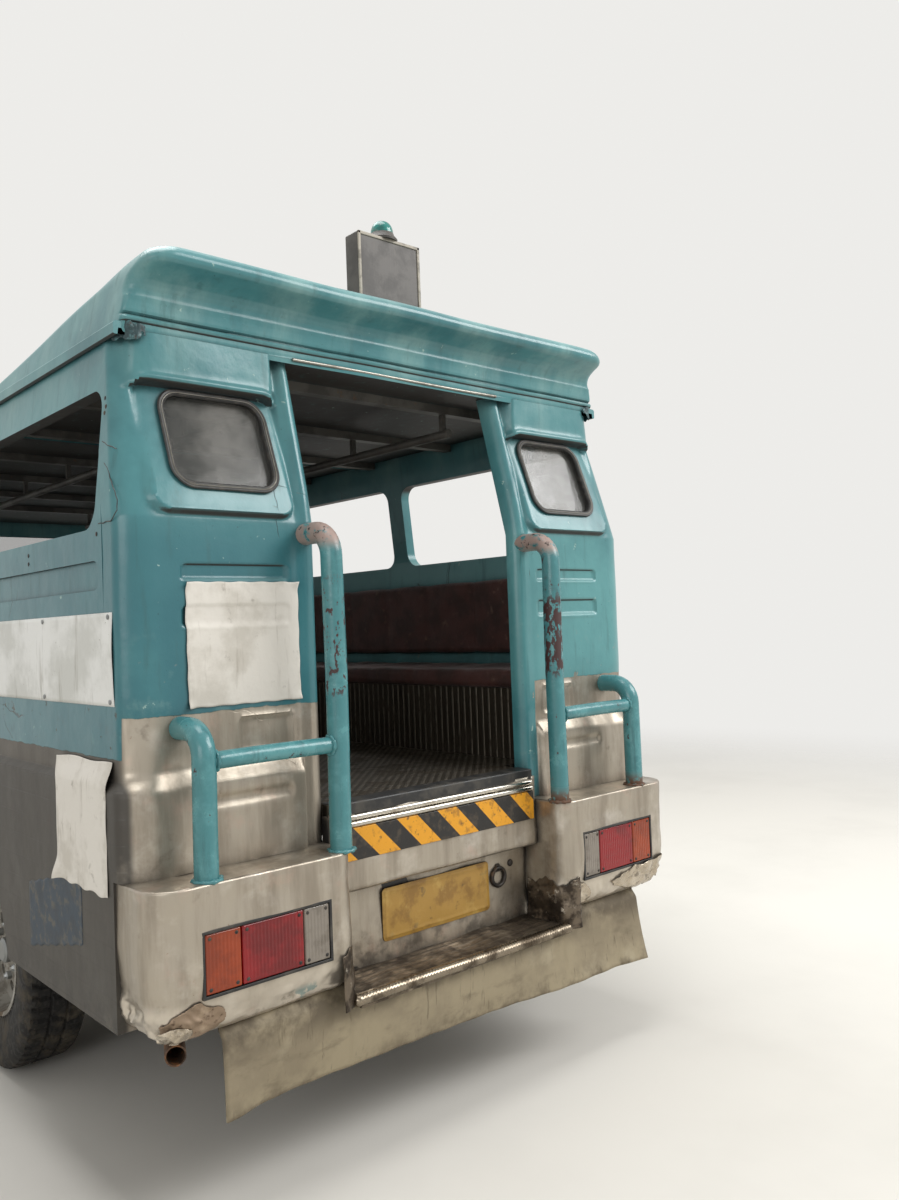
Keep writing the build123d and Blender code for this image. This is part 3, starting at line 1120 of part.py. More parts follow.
with BuildPart() as bonnet:
    outside = [
        bonnet_section(BONNET_REAR, WING_TOP_REAR + BONNET_PROUD, 0),
        bonnet_section(BONNET_FRONT, WING_TOP_FRONT + BONNET_PROUD, 0)]
    loft(outside, ruled=True)
    inside = [
        bonnet_section(BONNET_REAR - 5, WING_TOP_REAR + BONNET_PROUD, BONNET_SKIN),
        bonnet_section(BONNET_FRONT - BONNET_SKIN, WING_TOP_FRONT + BONNET_PROUD + 2, BONNET_SKIN)]
    loft(inside, ruled=True, mode=Mode.SUBTRACT)
    for side in (-1, 1):
        for y in (BONNET_PIN_Y - 31, BONNET_PIN_Y + 31):
            block(BONNET_PIN_X, BONNET_REAR + 40, side * y - 14, side * y + 14,
                  BONNET_PIN_Z - 40, BONNET_PIN_Z)
            with Locations(Location((BONNET_PIN_X, side * y, BONNET_PIN_Z), (90, 0, 0))):
                Cylinder(BONNET_BARREL, 28)
                Cylinder(BONNET_PIN_RADIUS + HINGE_CLEAR, 40, mode=Mode.SUBTRACT)
save(bonnet.part, "bonnet")

# Grille: a flat panel between the wings with upright bars, and the slam panel behind its top edge
GRILLE_TOP = WING_TOP_FRONT + BONNET_PROUD - BONNET_SIDE - BONNET_GAP
with BuildPart() as grille:
    block(GRILLE_X, GRILLE_X + GRILLE_THICK, -APRON_IN, APRON_IN, GRILLE_LOW, GRILLE_TOP)
    with BuildSketch(Plane.YZ.offset(GRILLE_X - 1)):
        with Locations((0, (GRILLE_HOLE_LOW + GRILLE_HOLE_HIGH) / 2)):
            RectangleRounded(2 * GRILLE_HOLE_HALF, GRILLE_HOLE_HIGH - GRILLE_HOLE_LOW, 40)
    extrude(amount=GRILLE_THICK + 2, mode=Mode.SUBTRACT)
    for i in range(GRILLE_BARS):
        y = (i - (GRILLE_BARS - 1) / 2) * 2 * GRILLE_HOLE_HALF / (GRILLE_BARS + 0.2)
        block(GRILLE_X, GRILLE_X + GRILLE_THICK, y - GRILLE_BAR, y + GRILLE_BAR,
              GRILLE_HOLE_LOW - 5, GRILLE_HOLE_HIGH + 5)
    for side in (-1, 1):
        block(GRILLE_X - 1, GRILLE_X + GRILLE_THICK + 1, side * RAIL_Y - 34, side * RAIL_Y + 34,
              GRILLE_LOW - 1, RAIL_TOP + 5, mode=Mode.SUBTRACT)
    block(GRILLE_X - SLAM_LONG, GRILLE_X, -APRON_IN, APRON_IN, GRILLE_TOP - 20, GRILLE_TOP)
save(grille.part, "grille")

# Front bumper: a pressed steel beam bolted to the rail ends, recessed for the plate
BUMPER_SKIN = 30
plate_low = (BUMPER_LOW + BUMPER_HIGH - PLATE_HIGH) / 2
beam_corner = BUMPER_CORNER * (1 - sin(radians(45)))
BUMPER_POCKETS = (  # from and to, across the vehicle, between the faces that bolt to the rails
    (-BUMPER_HALF + 60, -RAIL_Y - 70),
    (-RAIL_Y + 70, RAIL_Y - 70),
    (RAIL_Y + 70, BUMPER_HALF - 60))
with BuildPart() as front_bumper:
    with BuildSketch(Plane.XY.offset(BUMPER_LOW)):
        with BuildLine():
            Polyline((NOSE - BUMPER_CORNER, BUMPER_HALF), (RAIL_FRONT, BUMPER_HALF),
                     (RAIL_FRONT, -BUMPER_HALF), (NOSE - BUMPER_CORNER, -BUMPER_HALF))
            ThreePointArc((NOSE - BUMPER_CORNER, -BUMPER_HALF), (NOSE - beam_corner, -BUMPER_HALF + beam_corner),
                          (NOSE, -BUMPER_HALF + BUMPER_CORNER))
            Line((NOSE, -BUMPER_HALF + BUMPER_CORNER), (NOSE, BUMPER_HALF - BUMPER_CORNER))
            ThreePointArc((NOSE, BUMPER_HALF - BUMPER_CORNER), (NOSE - beam_corner, BUMPER_HALF - beam_corner),
                          (NOSE - BUMPER_CORNER, BUMPER_HALF))
        make_face()
    extrude(amount=BUMPER_HIGH - BUMPER_LOW)
    for low, high in BUMPER_POCKETS:
        block(RAIL_FRONT - 1, NOSE - BUMPER_SKIN, low, high, BUMPER_LOW - 1, BUMPER_HIGH - BUMPER_SKIN,
              mode=Mode.SUBTRACT)
    block(NOSE - PLATE_THICK, NOSE + 1, -PLATE_WIDE / 2, PLATE_WIDE / 2, plate_low, plate_low + PLATE_HIGH,
          mode=Mode.SUBTRACT)
save(front_bumper.part, "front_bumper")

# Mirrors on bent arms from the cowl cheeks
MIRROR_X = COWL_X - 80
MIRROR_Y = BELT_HALF + 120
MIRROR_FOOT_Z = 1150
MIRROR_Z = 1450
MIRROR_ARM = 8
MIRROR_WIDE = 140
MIRROR_HIGH = 230
MIRROR_THICK = 36
with BuildPart() as mirrors:
    with BuildLine() as mirror_line:
        FilletPolyline(
            (MIRROR_X, BELT_HALF, MIRROR_FOOT_Z), (MIRROR_X, MIRROR_Y, MIRROR_FOOT_Z + 30),
            (MIRROR_X, MIRROR_Y, MIRROR_Z - 50), radius=40)
    with BuildSketch(Plane(origin=mirror_line.line @ 0, z_dir=mirror_line.line % 0)):
        Circle(MIRROR_ARM)
    sweep(path=mirror_line.line)
    block(MIRROR_X - 25, MIRROR_X + 25, BELT_HALF, BELT_HALF + 6, MIRROR_FOOT_Z - 25, MIRROR_FOOT_Z + 25)
    with BuildSketch(Plane.YZ.offset(MIRROR_X - MIRROR_THICK / 2)):
        with Locations((MIRROR_Y, MIRROR_Z)):
            RectangleRounded(MIRROR_WIDE, MIRROR_HIGH, 30)
    extrude(amount=MIRROR_THICK)
    block(MIRROR_X - 40, MIRROR_X + 40, BELT_HALF - 40, BELT_HALF, MIRROR_FOOT_Z - 50, MIRROR_FOOT_Z + 50,
          mode=Mode.SUBTRACT)
    mirror(about=Plane.XZ)
save(mirrors.part, "mirrors")

# Mirrors on bent arms from the cowl cheeks
MIRROR_X = 1560
MIRROR_ARM = 8
with BuildPart() as mirrors:
    with BuildLine() as mirror_line:
        FilletPolyline((MIRROR_X, BELT_HALF, 1150), (MIRROR_X, 1000, 1180), (MIRROR_X, 1000, 1400), radius=40)
    with BuildSketch(Plane(origin=mirror_line.line @ 0, z_dir=mirror_line.line % 0)):
        Circle(MIRROR_ARM)
    sweep(path=mirror_line.line)
    block(MIRROR_X - 25, MIRROR_X + 25, BELT_HALF, BELT_HALF + 6, 1125, 1175)
    with BuildSketch(Plane.YZ.offset(MIRROR_X - 18)):
        with Locations((1000, 1450)):
            RectangleRounded(140, 230, 30)
    extrude(amount=36)
    block(MIRROR_X - 40, MIRROR_X + 40, BELT_HALF - 40, BELT_HALF, 1100, 1200, mode=Mode.SUBTRACT)
    mirror(about=Plane.XZ)
save(mirrors.part, "mirrors")

# Knuckles: barrel on the kingpin, stub shaft, backing plate and steering arm
stub_in = KINGPIN_Y + KINGPIN_RADIUS + KINGPIN_CLEAR + 2
barrel_half = YOKE_HALF - YOKE_EAR - KNUCKLE_GAP
with BuildPart() as knuckle_left:
    with Locations((AXLE_F, KINGPIN_Y, AXLE_Z)):
        Cylinder(YOKE_RADIUS, 2 * barrel_half)
        Cylinder(KINGPIN_RADIUS + KINGPIN_CLEAR, 3 * barrel_half, mode=Mode.SUBTRACT)
    with BuildSketch(Plane.XZ.offset(-stub_in)):
        with Locations((AXLE_F, AXLE_Z)):
            Circle(STUB_RADIUS)
    extrude(amount=-(HALF_TRACK + 28 - stub_in))
    with BuildSketch(Plane.XZ.offset(-632)):
        with Locations((AXLE_F, AXLE_Z)):
            Circle(110)
    extrude(amount=-16)
    block(AXLE_F - ARM_LONG, AXLE_F, KINGPIN_Y + 17, KINGPIN_Y + 33, ARM_Z - 12, ARM_Z + 12)
save(knuckle_left.part, "knuckle_left")
save(knuckle_left.part.mirror(Plane.XZ), "knuckle_right")

# Wheels: a pressed rim with round holes and a plain tyre on it
RIM_WELL = 25
RIM_SHEET = 12
DISC_OUT = 25
HUB_RADIUS = 58
HUB_IN = 60
HUB_OUT = 40
HOLE_RADIUS = 17
HOLE_RING = 115
SHOULDER = 26
SIDEWALL = 15
WHEELS = (
    ("rear_left", AXLE_R, 1), ("rear_right", AXLE_R, -1),
    ("front_left", AXLE_F, 1), ("front_right", AXLE_F, -1))
rim_half = RIM_WIDTH / 2
well = RIM_RADIUS - RIM_WELL
flange = RIM_RADIUS - RIM_SHEET
tyre_half = TYRE_WIDTH / 2
tyre_bore = RIM_RADIUS + TYRE_GAP
with BuildPart() as rim:
    with BuildSketch(Plane.XY):
        with BuildLine():
            Polyline(
                (RIM_RADIUS, -rim_half), (RIM_RADIUS, rim_half), (flange, rim_half), (well, 20),
                (well, DISC_OUT), (HUB_RADIUS, DISC_OUT + 8), (HUB_RADIUS - 8, HUB_OUT), (0, HUB_OUT),
                (0, HUB_OUT - 10), (HUB_BORE, HUB_OUT - 10), (HUB_BORE, -HUB_IN), (HUB_RADIUS, -HUB_IN),
                (HUB_RADIUS, DISC_OUT - 12), (well, DISC_OUT - 20), (well, -20), (flange, -rim_half),
                close=True)
        make_face()
    revolve(axis=Axis.Y)
    with BuildSketch(Plane.XZ.offset(-60)):
        with PolarLocations(HOLE_RING, WHEEL_HOLES):
            Circle(HOLE_RADIUS)
    extrude(amount=120, mode=Mode.SUBTRACT)

with BuildPart() as tyre:
    with BuildSketch(Plane.XY):
        with BuildLine():
            Polyline(
                (tyre_bore, tyre_half - SIDEWALL), (TYRE_RADIUS - SHOULDER, tyre_half),
                (TYRE_RADIUS, tyre_half - SHOULDER), (TYRE_RADIUS, SHOULDER - tyre_half),
                (TYRE_RADIUS - SHOULDER, -tyre_half), (tyre_bore, SIDEWALL - tyre_half), close=True)
        make_face()
    revolve(axis=Axis.Y)

for place, axle_x, side in WHEELS:
    turn = 0 if side > 0 else 180
    spot = Location((axle_x, side * HALF_TRACK, AXLE_Z), (0, 0, turn))
    save(rim.part.moved(spot), f"rim_{place}")
    save(tyre.part.moved(spot), f"tyre_{place}")
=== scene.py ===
"""Looks of a worn jeepney: turquoise enamel above, bare dented sheet below, an open rear doorway.

Metres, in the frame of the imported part: X points forward, Y to the vehicle's left and Z up, with the ground
at 0. New pieces are numpy surfaces that take the place of plainer nodes or lie on them.
"""

import bmesh
import bpy
import numpy as np
from mathutils import Matrix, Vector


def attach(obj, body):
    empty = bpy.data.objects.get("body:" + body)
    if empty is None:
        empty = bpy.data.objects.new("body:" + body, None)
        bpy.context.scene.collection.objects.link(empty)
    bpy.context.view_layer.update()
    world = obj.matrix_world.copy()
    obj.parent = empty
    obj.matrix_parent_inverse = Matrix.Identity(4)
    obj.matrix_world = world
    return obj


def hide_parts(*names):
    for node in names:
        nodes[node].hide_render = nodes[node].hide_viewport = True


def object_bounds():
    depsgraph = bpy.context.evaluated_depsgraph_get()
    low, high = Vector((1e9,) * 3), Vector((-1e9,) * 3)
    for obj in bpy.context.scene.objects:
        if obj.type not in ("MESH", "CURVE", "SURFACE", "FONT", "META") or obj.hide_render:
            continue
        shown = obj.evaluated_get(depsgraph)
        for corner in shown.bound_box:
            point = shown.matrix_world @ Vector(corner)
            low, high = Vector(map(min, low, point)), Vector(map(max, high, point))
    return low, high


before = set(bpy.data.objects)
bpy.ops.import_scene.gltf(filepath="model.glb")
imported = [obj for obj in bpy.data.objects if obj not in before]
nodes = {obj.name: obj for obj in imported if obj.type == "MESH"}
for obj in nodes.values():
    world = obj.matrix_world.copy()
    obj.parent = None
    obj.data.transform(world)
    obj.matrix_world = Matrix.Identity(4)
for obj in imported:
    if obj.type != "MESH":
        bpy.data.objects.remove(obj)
cad_box = [[float(value) for value in corner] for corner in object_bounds()]

# Camera, where the photograph was taken from: its place, and its own right, up and forward directions
EYE = (-4.599, 1.755, 1.310)
RIGHT = (-0.6679, -0.7433, -0.0376)
UP = (-0.0439, -0.0111, 0.99896)
LOOK = (0.7430, -0.6688, 0.0252)
lens = bpy.data.cameras.new("camera")
lens.sensor_width = 36
lens.lens = 28.95
camera = bpy.data.objects.new("camera", lens)
camera.matrix_world = Matrix([(RIGHT[i], UP[i], -LOOK[i], EYE[i]) for i in range(3)] + [(0, 0, 0, 1)])
bpy.context.scene.collection.objects.link(camera)
bpy.context.scene.camera = camera
bpy.context.scene.view_settings.view_transform = "Standard"

# Body sizes, as the frame has them
REAR = cad_box[0][0]
NOSE = cad_box[1][0]
SKIRT_HALF = 0.900
BELT_HALF = 0.880
EAVE_HALF = 0.835
LEDGE_Z = 0.975
LEDGE_RISE = 0.015
BELT_Z = 1.578
EAVE_Z = 2.015
WALL = 0.040
REAR_FACE = 0.145
LOW_BULGE = 0.025
REAR_LEAN = 0.108
QUARTER_LONG = 0.240
CORNER_LONG = 0.045
CORNER_WIDE = 0.080
JAMB_HALF = 0.363
JAMB_ROLL = 0.031
CREST = 0.394
SHELF_Z = 0.775
BOX_BOTTOM = 0.450
BOX_INNER = 0.375
BOX_OUTER = 0.895
BOX_DEEP = 0.180
WINDOW_LOW = 1.560
WINDOW_TOP = 1.890
WINDOW_CORNER = 0.055
WINDOW_REAR = 0.280
PANEL_LOW = 1.592
BROW_Z = 1.905
HEADER_FACE = 0.215
PANE = (0.468, 0.742, 1.655, 1.888, 0.050)  # |y| from and to, z from and to, corner radius
LAMP = (0.457, 0.783, 0.537, 0.673, 0.008)
AXLE_R = REAR + 1.320
AXLE_F = NOSE - 0.830
AXLE_Z = 0.345
HALF_TRACK = 0.735
COWL_X = NOSE - 1.060
DOOR_FRONT = COWL_X - 0.244
DOOR_REAR = DOOR_FRONT - 0.698
BENCH_FRONT = DOOR_REAR - 0.213
ROOF_HALF = 0.850
ROOF_EDGE_Z = 2.030
ROOF_CROWN = 0.035
DRIP_LOW = 2.000
COWL_Z = 1.235
SCREEN_SLOPE = 0.2736  # the windscreen leans back by this much for each metre up
SCREEN_TOP_X = COWL_X - (EAVE_Z - COWL_Z) * SCREEN_SLOPE
LAMP_X = NOSE - 0.130
SIDES = ((1, "left"), (-1, "right"))


# Surfaces: a shape is a pair of arrays, its points and its four-cornered faces

def ease(value, start, end):
    """0 before start and 1 after end, with a smooth S between them: 3 t^2 - 2 t^3."""
    t = np.clip((np.asarray(value, float) - start) / (end - start), 0, 1)
    return t * t * (3 - 2 * t)


def wobble(points, size, depth, seed):
    """A smooth random field in space: eight sine waves of about the given size, in random directions."""
    rng = np.random.default_rng(seed)
    ways = rng.normal(size=(8, 3))
    ways *= (rng.uniform(0.7, 1.5, 8) * 2 * np.pi / size / np.linalg.norm(ways, axis=1))[:, None]
    return depth * np.sin(points @ ways.T + rng.uniform(0, 6.28, 8)).sum(axis=-1) / 8 ** 0.5


def crumple(points, size, depth, seed):
    """Creased metal: the folded absolute values of two random fields, so that it has sharp ridges."""
    coarse = np.abs(wobble(points, size, 1, seed))
    return depth * (0.7 - coarse - 0.5 * np.abs(wobble(points, size / 2.3, 1, seed + 1)))


def grid_faces(rows, cols, wrap, keep):
    """Faces between neighbours of a grid; wrap joins the last column to the first, keep picks the cells."""
    r, c = np.meshgrid(np.arange(rows - 1), np.arange(cols if wrap else cols - 1), indexing="ij")
    step = (c + 1) % cols
    quads = np.stack([r * cols + c, r * cols + step, (r + 1) * cols + step, (r + 1) * cols + c], axis=-1)
    return quads[keep] if keep is not None else quads.reshape(-1, 4)


def surface(grid, wrap=False, keep=None):
    """A grid of points as a shape."""
    return grid.reshape(-1, 3), grid_faces(grid.shape[0], grid.shape[1], wrap, keep)


def joined(*shapes):
    """Several shapes as one."""
    starts = np.cumsum([0] + [len(points) for points, faces in shapes])
    return (np.concatenate([points for points, faces in shapes]),
            np.concatenate([faces + start for (points, faces), start in zip(shapes, starts)]))


def flipped(shape):
    """The shape's mirror image on the vehicle's other side."""
    return shape[0] * (1, -1, 1), shape[1][:, ::-1]


def piece(name, shape, material, body="body", replaces=(), closed=True, angle=40, sheet=None):
    """Makes an object from a shape, with its place in its mesh.

    Doubles are merged, a closed shape's faces are turned outwards, and edges sharper than the given angle in
    degrees stay sharp. A sheet gets its thickness, in metres, on its inner side.
    """
    points, faces = shape
    used, faces = np.unique(faces, return_inverse=True)
    mesh = bpy.data.meshes.new(name)
    mesh.from_pydata(points[used].tolist(), [], faces.reshape(-1, 4).tolist())
    shell = bmesh.new()
    shell.from_mesh(mesh)
    bmesh.ops.remove_doubles(shell, verts=shell.verts, dist=2e-5)
    if closed:
        bmesh.ops.recalc_face_normals(shell, faces=shell.faces)
    shell.to_mesh(mesh)
    shell.free()
    mesh.shade_smooth()
    mesh.set_sharp_from_angle(angle=np.radians(angle))
    mesh.materials.append(material)
    made = bpy.data.objects.new(name, mesh)
    bpy.context.scene.collection.objects.link(made)
    if sheet:
        solid = made.modifiers.new("thickness", "SOLIDIFY")
        solid.thickness = sheet
    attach(made, body)
    if replaces:
        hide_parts(*replaces)
    return made


def samples(low, high, step, *marks):
    """Evenly spaced values from low to high, with the given marks among them."""
    count = max(2, int(round((high - low) / step)) + 1)
    return np.unique(np.round(np.concatenate([np.linspace(low, high, count), np.array(marks, float)]), 5))


def box(low, high, radius=0.004, step=0.05):
    """A box with rounded edges: a point keeps its radius from the box that is smaller by that radius.

    radius and step are one number, or one for each axis. The samples near an edge are spaced by the tangent
    of equal angles, so that the rounding is even.
    """
    low, high = np.minimum(low, high), np.maximum(low, high)
    step = np.broadcast_to(np.array(step, float), 3)
    radius = np.minimum(np.broadcast_to(np.array(radius, float), 3), (high - low) / 2 - 1e-6)
    bend = 1 - np.tan(np.radians(np.linspace(45, 0, 5)))
    axes = []
    for i in range(3):
        inner = samples(low[i] + radius[i], high[i] - radius[i], step[i])
        axes.append(np.unique(np.concatenate([low[i] + radius[i] * bend, inner, high[i] - radius[i] * bend])))
    sides = []
    for i in range(3):
        a, b = np.meshgrid(axes[(i + 1) % 3], axes[(i + 2) % 3], indexing="ij")
        for side, level in ((-1, low[i]), (1, high[i])):
            grid = np.empty(a.shape + (3,))
            grid[..., i], grid[..., (i + 1) % 3], grid[..., (i + 2) % 3] = level, a, b
            points, quads = surface(grid)
            sides.append((points, quads if side > 0 else quads[:, ::-1]))
    points, faces = joined(*sides)
    core = np.clip(points, low + radius, high - radius)
    away = (points - core) / radius
    away /= np.maximum(np.linalg.norm(away, axis=1, keepdims=True), 1e-9)
    return core + away * radius, faces


def boxes(*rows, radius=0.004, step=0.05):
    """Several boxes as one shape, from rows of their low and high corners."""
    return joined(*[box(low, high, radius, step) for low, high in rows])


def fillet_path(corners, radius, step=0.02):
    """A path of straight runs, its corners rounded by arcs of the given radius, with a point every step."""
    corners = [np.array(corner, float) for corner in corners]
    stops = [corners[0]]
    for before, corner, after in zip(corners, corners[1:], corners[2:]):
        back = (before - corner) / np.linalg.norm(before - corner)
        on = (after - corner) / np.linalg.norm(after - corner)
        half = np.arccos(np.clip(back @ on, -1, 1)) / 2
        centre = corner + (back + on) / np.linalg.norm(back + on) * radius / np.sin(half)
        start = corner + back * radius / np.tan(half) - centre
        end = corner + on * radius / np.tan(half) - centre
        bend = np.pi - 2 * half
        t = np.linspace(0, 1, 9)[:, None]
        stops += list(centre + (np.sin((1 - t) * bend) * start + np.sin(t * bend) * end) / np.sin(bend))
    return between(stops + [corners[-1]], step)


def between(stops, step):
    """Straight runs from stop to stop, with a point at least every step."""
    stops = np.array(stops, float)
    runs = []
    for start, end in zip(stops, stops[1:]):
        count = max(1, int(np.ceil(np.linalg.norm(end - start) / step)))
        runs.append(start + (end - start) * (np.arange(count) / count)[:, None])
    return np.concatenate(runs + [stops[-1:]])


def carried(path, outline, up=(0, 0, 1)):
    """Carries a closed outline along a path and closes both ends on their middle.

    outline is (n, 2), or (rows, n, 2) where it changes on the way. Its first coordinate leans towards up.
    """
    along = np.gradient(path, axis=0)
    along /= np.linalg.norm(along, axis=1, keepdims=True)
    first = np.array(up, float) - along * (along @ np.array(up, float))[:, None]
    first /= np.linalg.norm(first, axis=1, keepdims=True)
    second = np.cross(along, first)
    outline = np.broadcast_to(outline, (len(path),) + np.shape(outline)[-2:])
    grid = path[:, None] + outline[..., :1] * first[:, None] + outline[..., 1:] * second[:, None]
    ends = [np.repeat(grid[i].mean(axis=0)[None, None], grid.shape[1], axis=1) for i in (0, -1)]
    return surface(np.concatenate([ends[0], grid, ends[1]]), wrap=True)


def circle(radius, segments):
    """A circle as an outline."""
    t = np.arange(segments) * 2 * np.pi / segments
    return np.stack([np.cos(t), np.sin(t)], axis=1) * radius


def turned(profile, origin, axis, segments=48):
    """Turns a profile of (distance along the axis, radius) about the axis through origin."""
    profile = np.array(profile, float)
    axis = np.array(axis, float) / np.linalg.norm(axis)
    side = np.cross(axis, (0, 0, 1) if abs(axis[2]) < 0.9 else (1, 0, 0))
    side /= np.linalg.norm(side)
    t = np.arange(segments) * 2 * np.pi / segments
    spoke = np.cos(t)[:, None] * side + np.sin(t)[:, None] * np.cross(axis, side)
    return surface(np.array(origin) + profile[:, None, :1] * axis + profile[:, None, 1:] * spoke, wrap=True)


def dome(origin, axis, radius, height):
    """A round screw head or button: a low dome on a short wall."""
    t = np.radians(np.linspace(90, 0, 6))
    cap = [(height * 0.4 + height * 0.6 * np.cos(a), radius * np.sin(a)) for a in t]
    return turned([(0, 0), (0, radius)] + cap, origin, axis, 16)


def arc(centre, radius, start, end):
    """Twelve points of an arc in a plane, angles in degrees."""
    t = np.radians(np.linspace(start, end, 12))
    return np.stack([centre[0] + radius * np.cos(t), centre[1] + radius * np.sin(t)], axis=1)


def frame_distance(u, v, rect):
    """Signed distance to a rounded rectangle (u from, to, v from, to, corner): negative inside."""
    u0, u1, v0, v1, corner = rect
    du = np.abs(u - (u0 + u1) / 2) - (u1 - u0) / 2 + corner
    dv = np.abs(v - (v0 + v1) / 2) - (v1 - v0) / 2 + corner
    return np.hypot(np.maximum(du, 0), np.maximum(dv, 0)) + np.minimum(np.maximum(du, dv), 0) - corner


def open_window(u, v, rect):
    """Cuts a rounded opening in a grid: cells that reach into it go, and their outer points move to its edge.

    Gives both moved coordinates and which cells stay.
    """
    distance = frame_distance(u, v, rect)
    inside = distance < 0
    cell = inside[:-1, :-1] | inside[1:, :-1] | inside[:-1, 1:] | inside[1:, 1:]
    touched = np.zeros_like(inside)
    for rows in (slice(None, -1), slice(1, None)):
        for cols in (slice(None, -1), slice(1, None)):
            touched[rows, cols] |= cell
    small = 1e-5
    gu = (frame_distance(u + small, v, rect) - frame_distance(u - small, v, rect)) / (2 * small)
    gv = (frame_distance(u, v + small, rect) - frame_distance(u, v - small, rect)) / (2 * small)
    move = touched & ~inside
    return np.where(move, u - distance * gu, u), np.where(move, v - distance * gv, v), ~cell


def window_ring(rect):
    """Points round a rounded rectangle, and the direction outwards at each."""
    u0, u1, v0, v1, corner = rect
    centres = ((u1 - corner, v1 - corner), (u0 + corner, v1 - corner), (u0 + corner, v0 + corner),
               (u1 - corner, v0 + corner))
    points = [arc(centre, corner, 90 * i, 90 * i + 90) for i, centre in enumerate(centres)]
    out = [arc((0, 0), 1, 90 * i, 90 * i + 90) for i in range(4)]
    return np.concatenate(points), np.concatenate(out)


# Materials: each is built up in layers, as wear and dirt build up on the real finish

def linear(colour):
    """An sRGB hex colour as linear red, green, blue and alpha."""
    parts = np.array([int(colour[i:i + 2], 16) for i in (1, 3, 5)]) / 255
    parts = np.where(parts <= 0.04045, parts / 12.92, ((parts + 0.055) / 1.055) ** 2.4)
    return (*parts, 1.0)


def node(tree, kind, inputs=None, **settings):
    """Adds a shader node with its settings; each input gets a plain value, or another node or its output."""
    made = tree.nodes.new("ShaderNode" + kind)
    for key, value in settings.items():
        setattr(made, key, value)
    for key, value in (inputs or {}).items():
        if isinstance(value, bpy.types.Node):
            value = next(output for output in value.outputs if output.enabled)
        if isinstance(value, bpy.types.NodeSocket):
            tree.links.new(value, made.inputs[key])
        else:
            made.inputs[key].default_value = value
    return made


def patches(tree, place, size, squeeze, start, full, share, limits):
    """A mask of cloudy patches, size in mm, squeezed along x, y and z, between two levels of the noise.

    limits are rows of (axis, from, to) over which the mask fades in. Besides x, y and z, "side" is the
    distance from the middle, "up" how far a face looks up, and "open" how little a corner is hemmed in.
    """
    near = node(tree, "Mapping", {"Vector": place, "Scale": squeeze})
    noise = node(tree, "TexNoise", {"Vector": near, "Scale": 1000 / size, "Detail": 5.0, "Roughness": 0.62})
    mask = node(tree, "MapRange", {0: noise, 1: start, 2: full, 4: share}, interpolation_type="SMOOTHSTEP")
    for axis, low, high in limits:
        if axis == "open":
            level = node(tree, "AmbientOcclusion", {"Distance": 0.06}, samples=5).outputs["AO"]
        elif axis == "up":
            level = node(tree, "SeparateXYZ", {0: node(tree, "NewGeometry").outputs["Normal"]}).outputs[2]
        else:
            level = node(tree, "SeparateXYZ", {0: place}).outputs["xyz".find(axis) if axis in "xyz" else 1]
        if axis == "side":
            level = node(tree, "Math", {0: level}, operation="ABSOLUTE")
        fade = node(tree, "MapRange", {0: level, 1: low, 2: high}, interpolation_type="SMOOTHSTEP")
        mask = node(tree, "Math", {0: mask, 1: fade}, operation="MULTIPLY")
    return mask


def stack(tree, place, colour, rough, layers):
    """Builds up a colour and a roughness. A layer is a row: its colour, patch size in mm, squeeze, the noise
    levels where it starts and is full, its share, its roughness, and any limits."""
    colour = linear(colour)
    for tint, size, squeeze, start, full, share, dull, *limits in layers:
        mask = patches(tree, place, size, squeeze, start, full, share, limits)
        colour = node(tree, "Mix", {0: mask, 6: colour, 7: linear(tint)}, data_type="RGBA")
        rough = node(tree, "Mix", {0: mask, 2: rough, 3: dull})
    return colour, rough


def relief(tree, place, bumps):
    """Bumps over one another: rows of (size in mm, squeeze, height in metres, strength)."""
    below = None
    for size, squeeze, height, strength in bumps:
        near = node(tree, "Mapping", {"Vector": place, "Scale": squeeze})
        noise = node(tree, "TexNoise", {"Vector": near, "Scale": 1000 / size, "Detail": 3.0})
        links = {"Height": noise, "Distance": height, "Strength": strength}
        if below is not None:
            links["Normal"] = below
        below = node(tree, "Bump", links)
    return below


def begin(name, **values):
    """A new material with plain values: the material, its tree, its shader and its Object coordinates."""
    made = bpy.data.materials.new(name)
    made.use_nodes = True
    shader = made.node_tree.nodes["Principled BSDF"]
    for key, value in values.items():
        shader.inputs[key.replace("_", " ")].default_value = value
    return made, made.node_tree, shader, node(made.node_tree, "TexCoord").outputs["Object"]


def connect(tree, shader, **outputs):
    """Links nodes to the shader's inputs, named with _ for a space."""
    for key, value in outputs.items():
        if isinstance(value, bpy.types.Node):
            value = next(output for output in value.outputs if output.enabled)
        tree.links.new(value, shader.inputs[key.replace("_", " ")])


def finish(name, colour, rough, layers, bumps=(), **values):
    """A finish made of a base, its layers and its bumps."""
    made, tree, shader, place = begin(name, **values)
    tone, dull = stack(tree, place, colour, rough, layers)
    connect(tree, shader, Base_Color=tone, Roughness=dull)
    if bumps:
        connect(tree, shader, Normal=relief(tree, place, bumps))
    return made


EVEN = (1, 1, 1)
RUNS = (1, 1, 0.12)

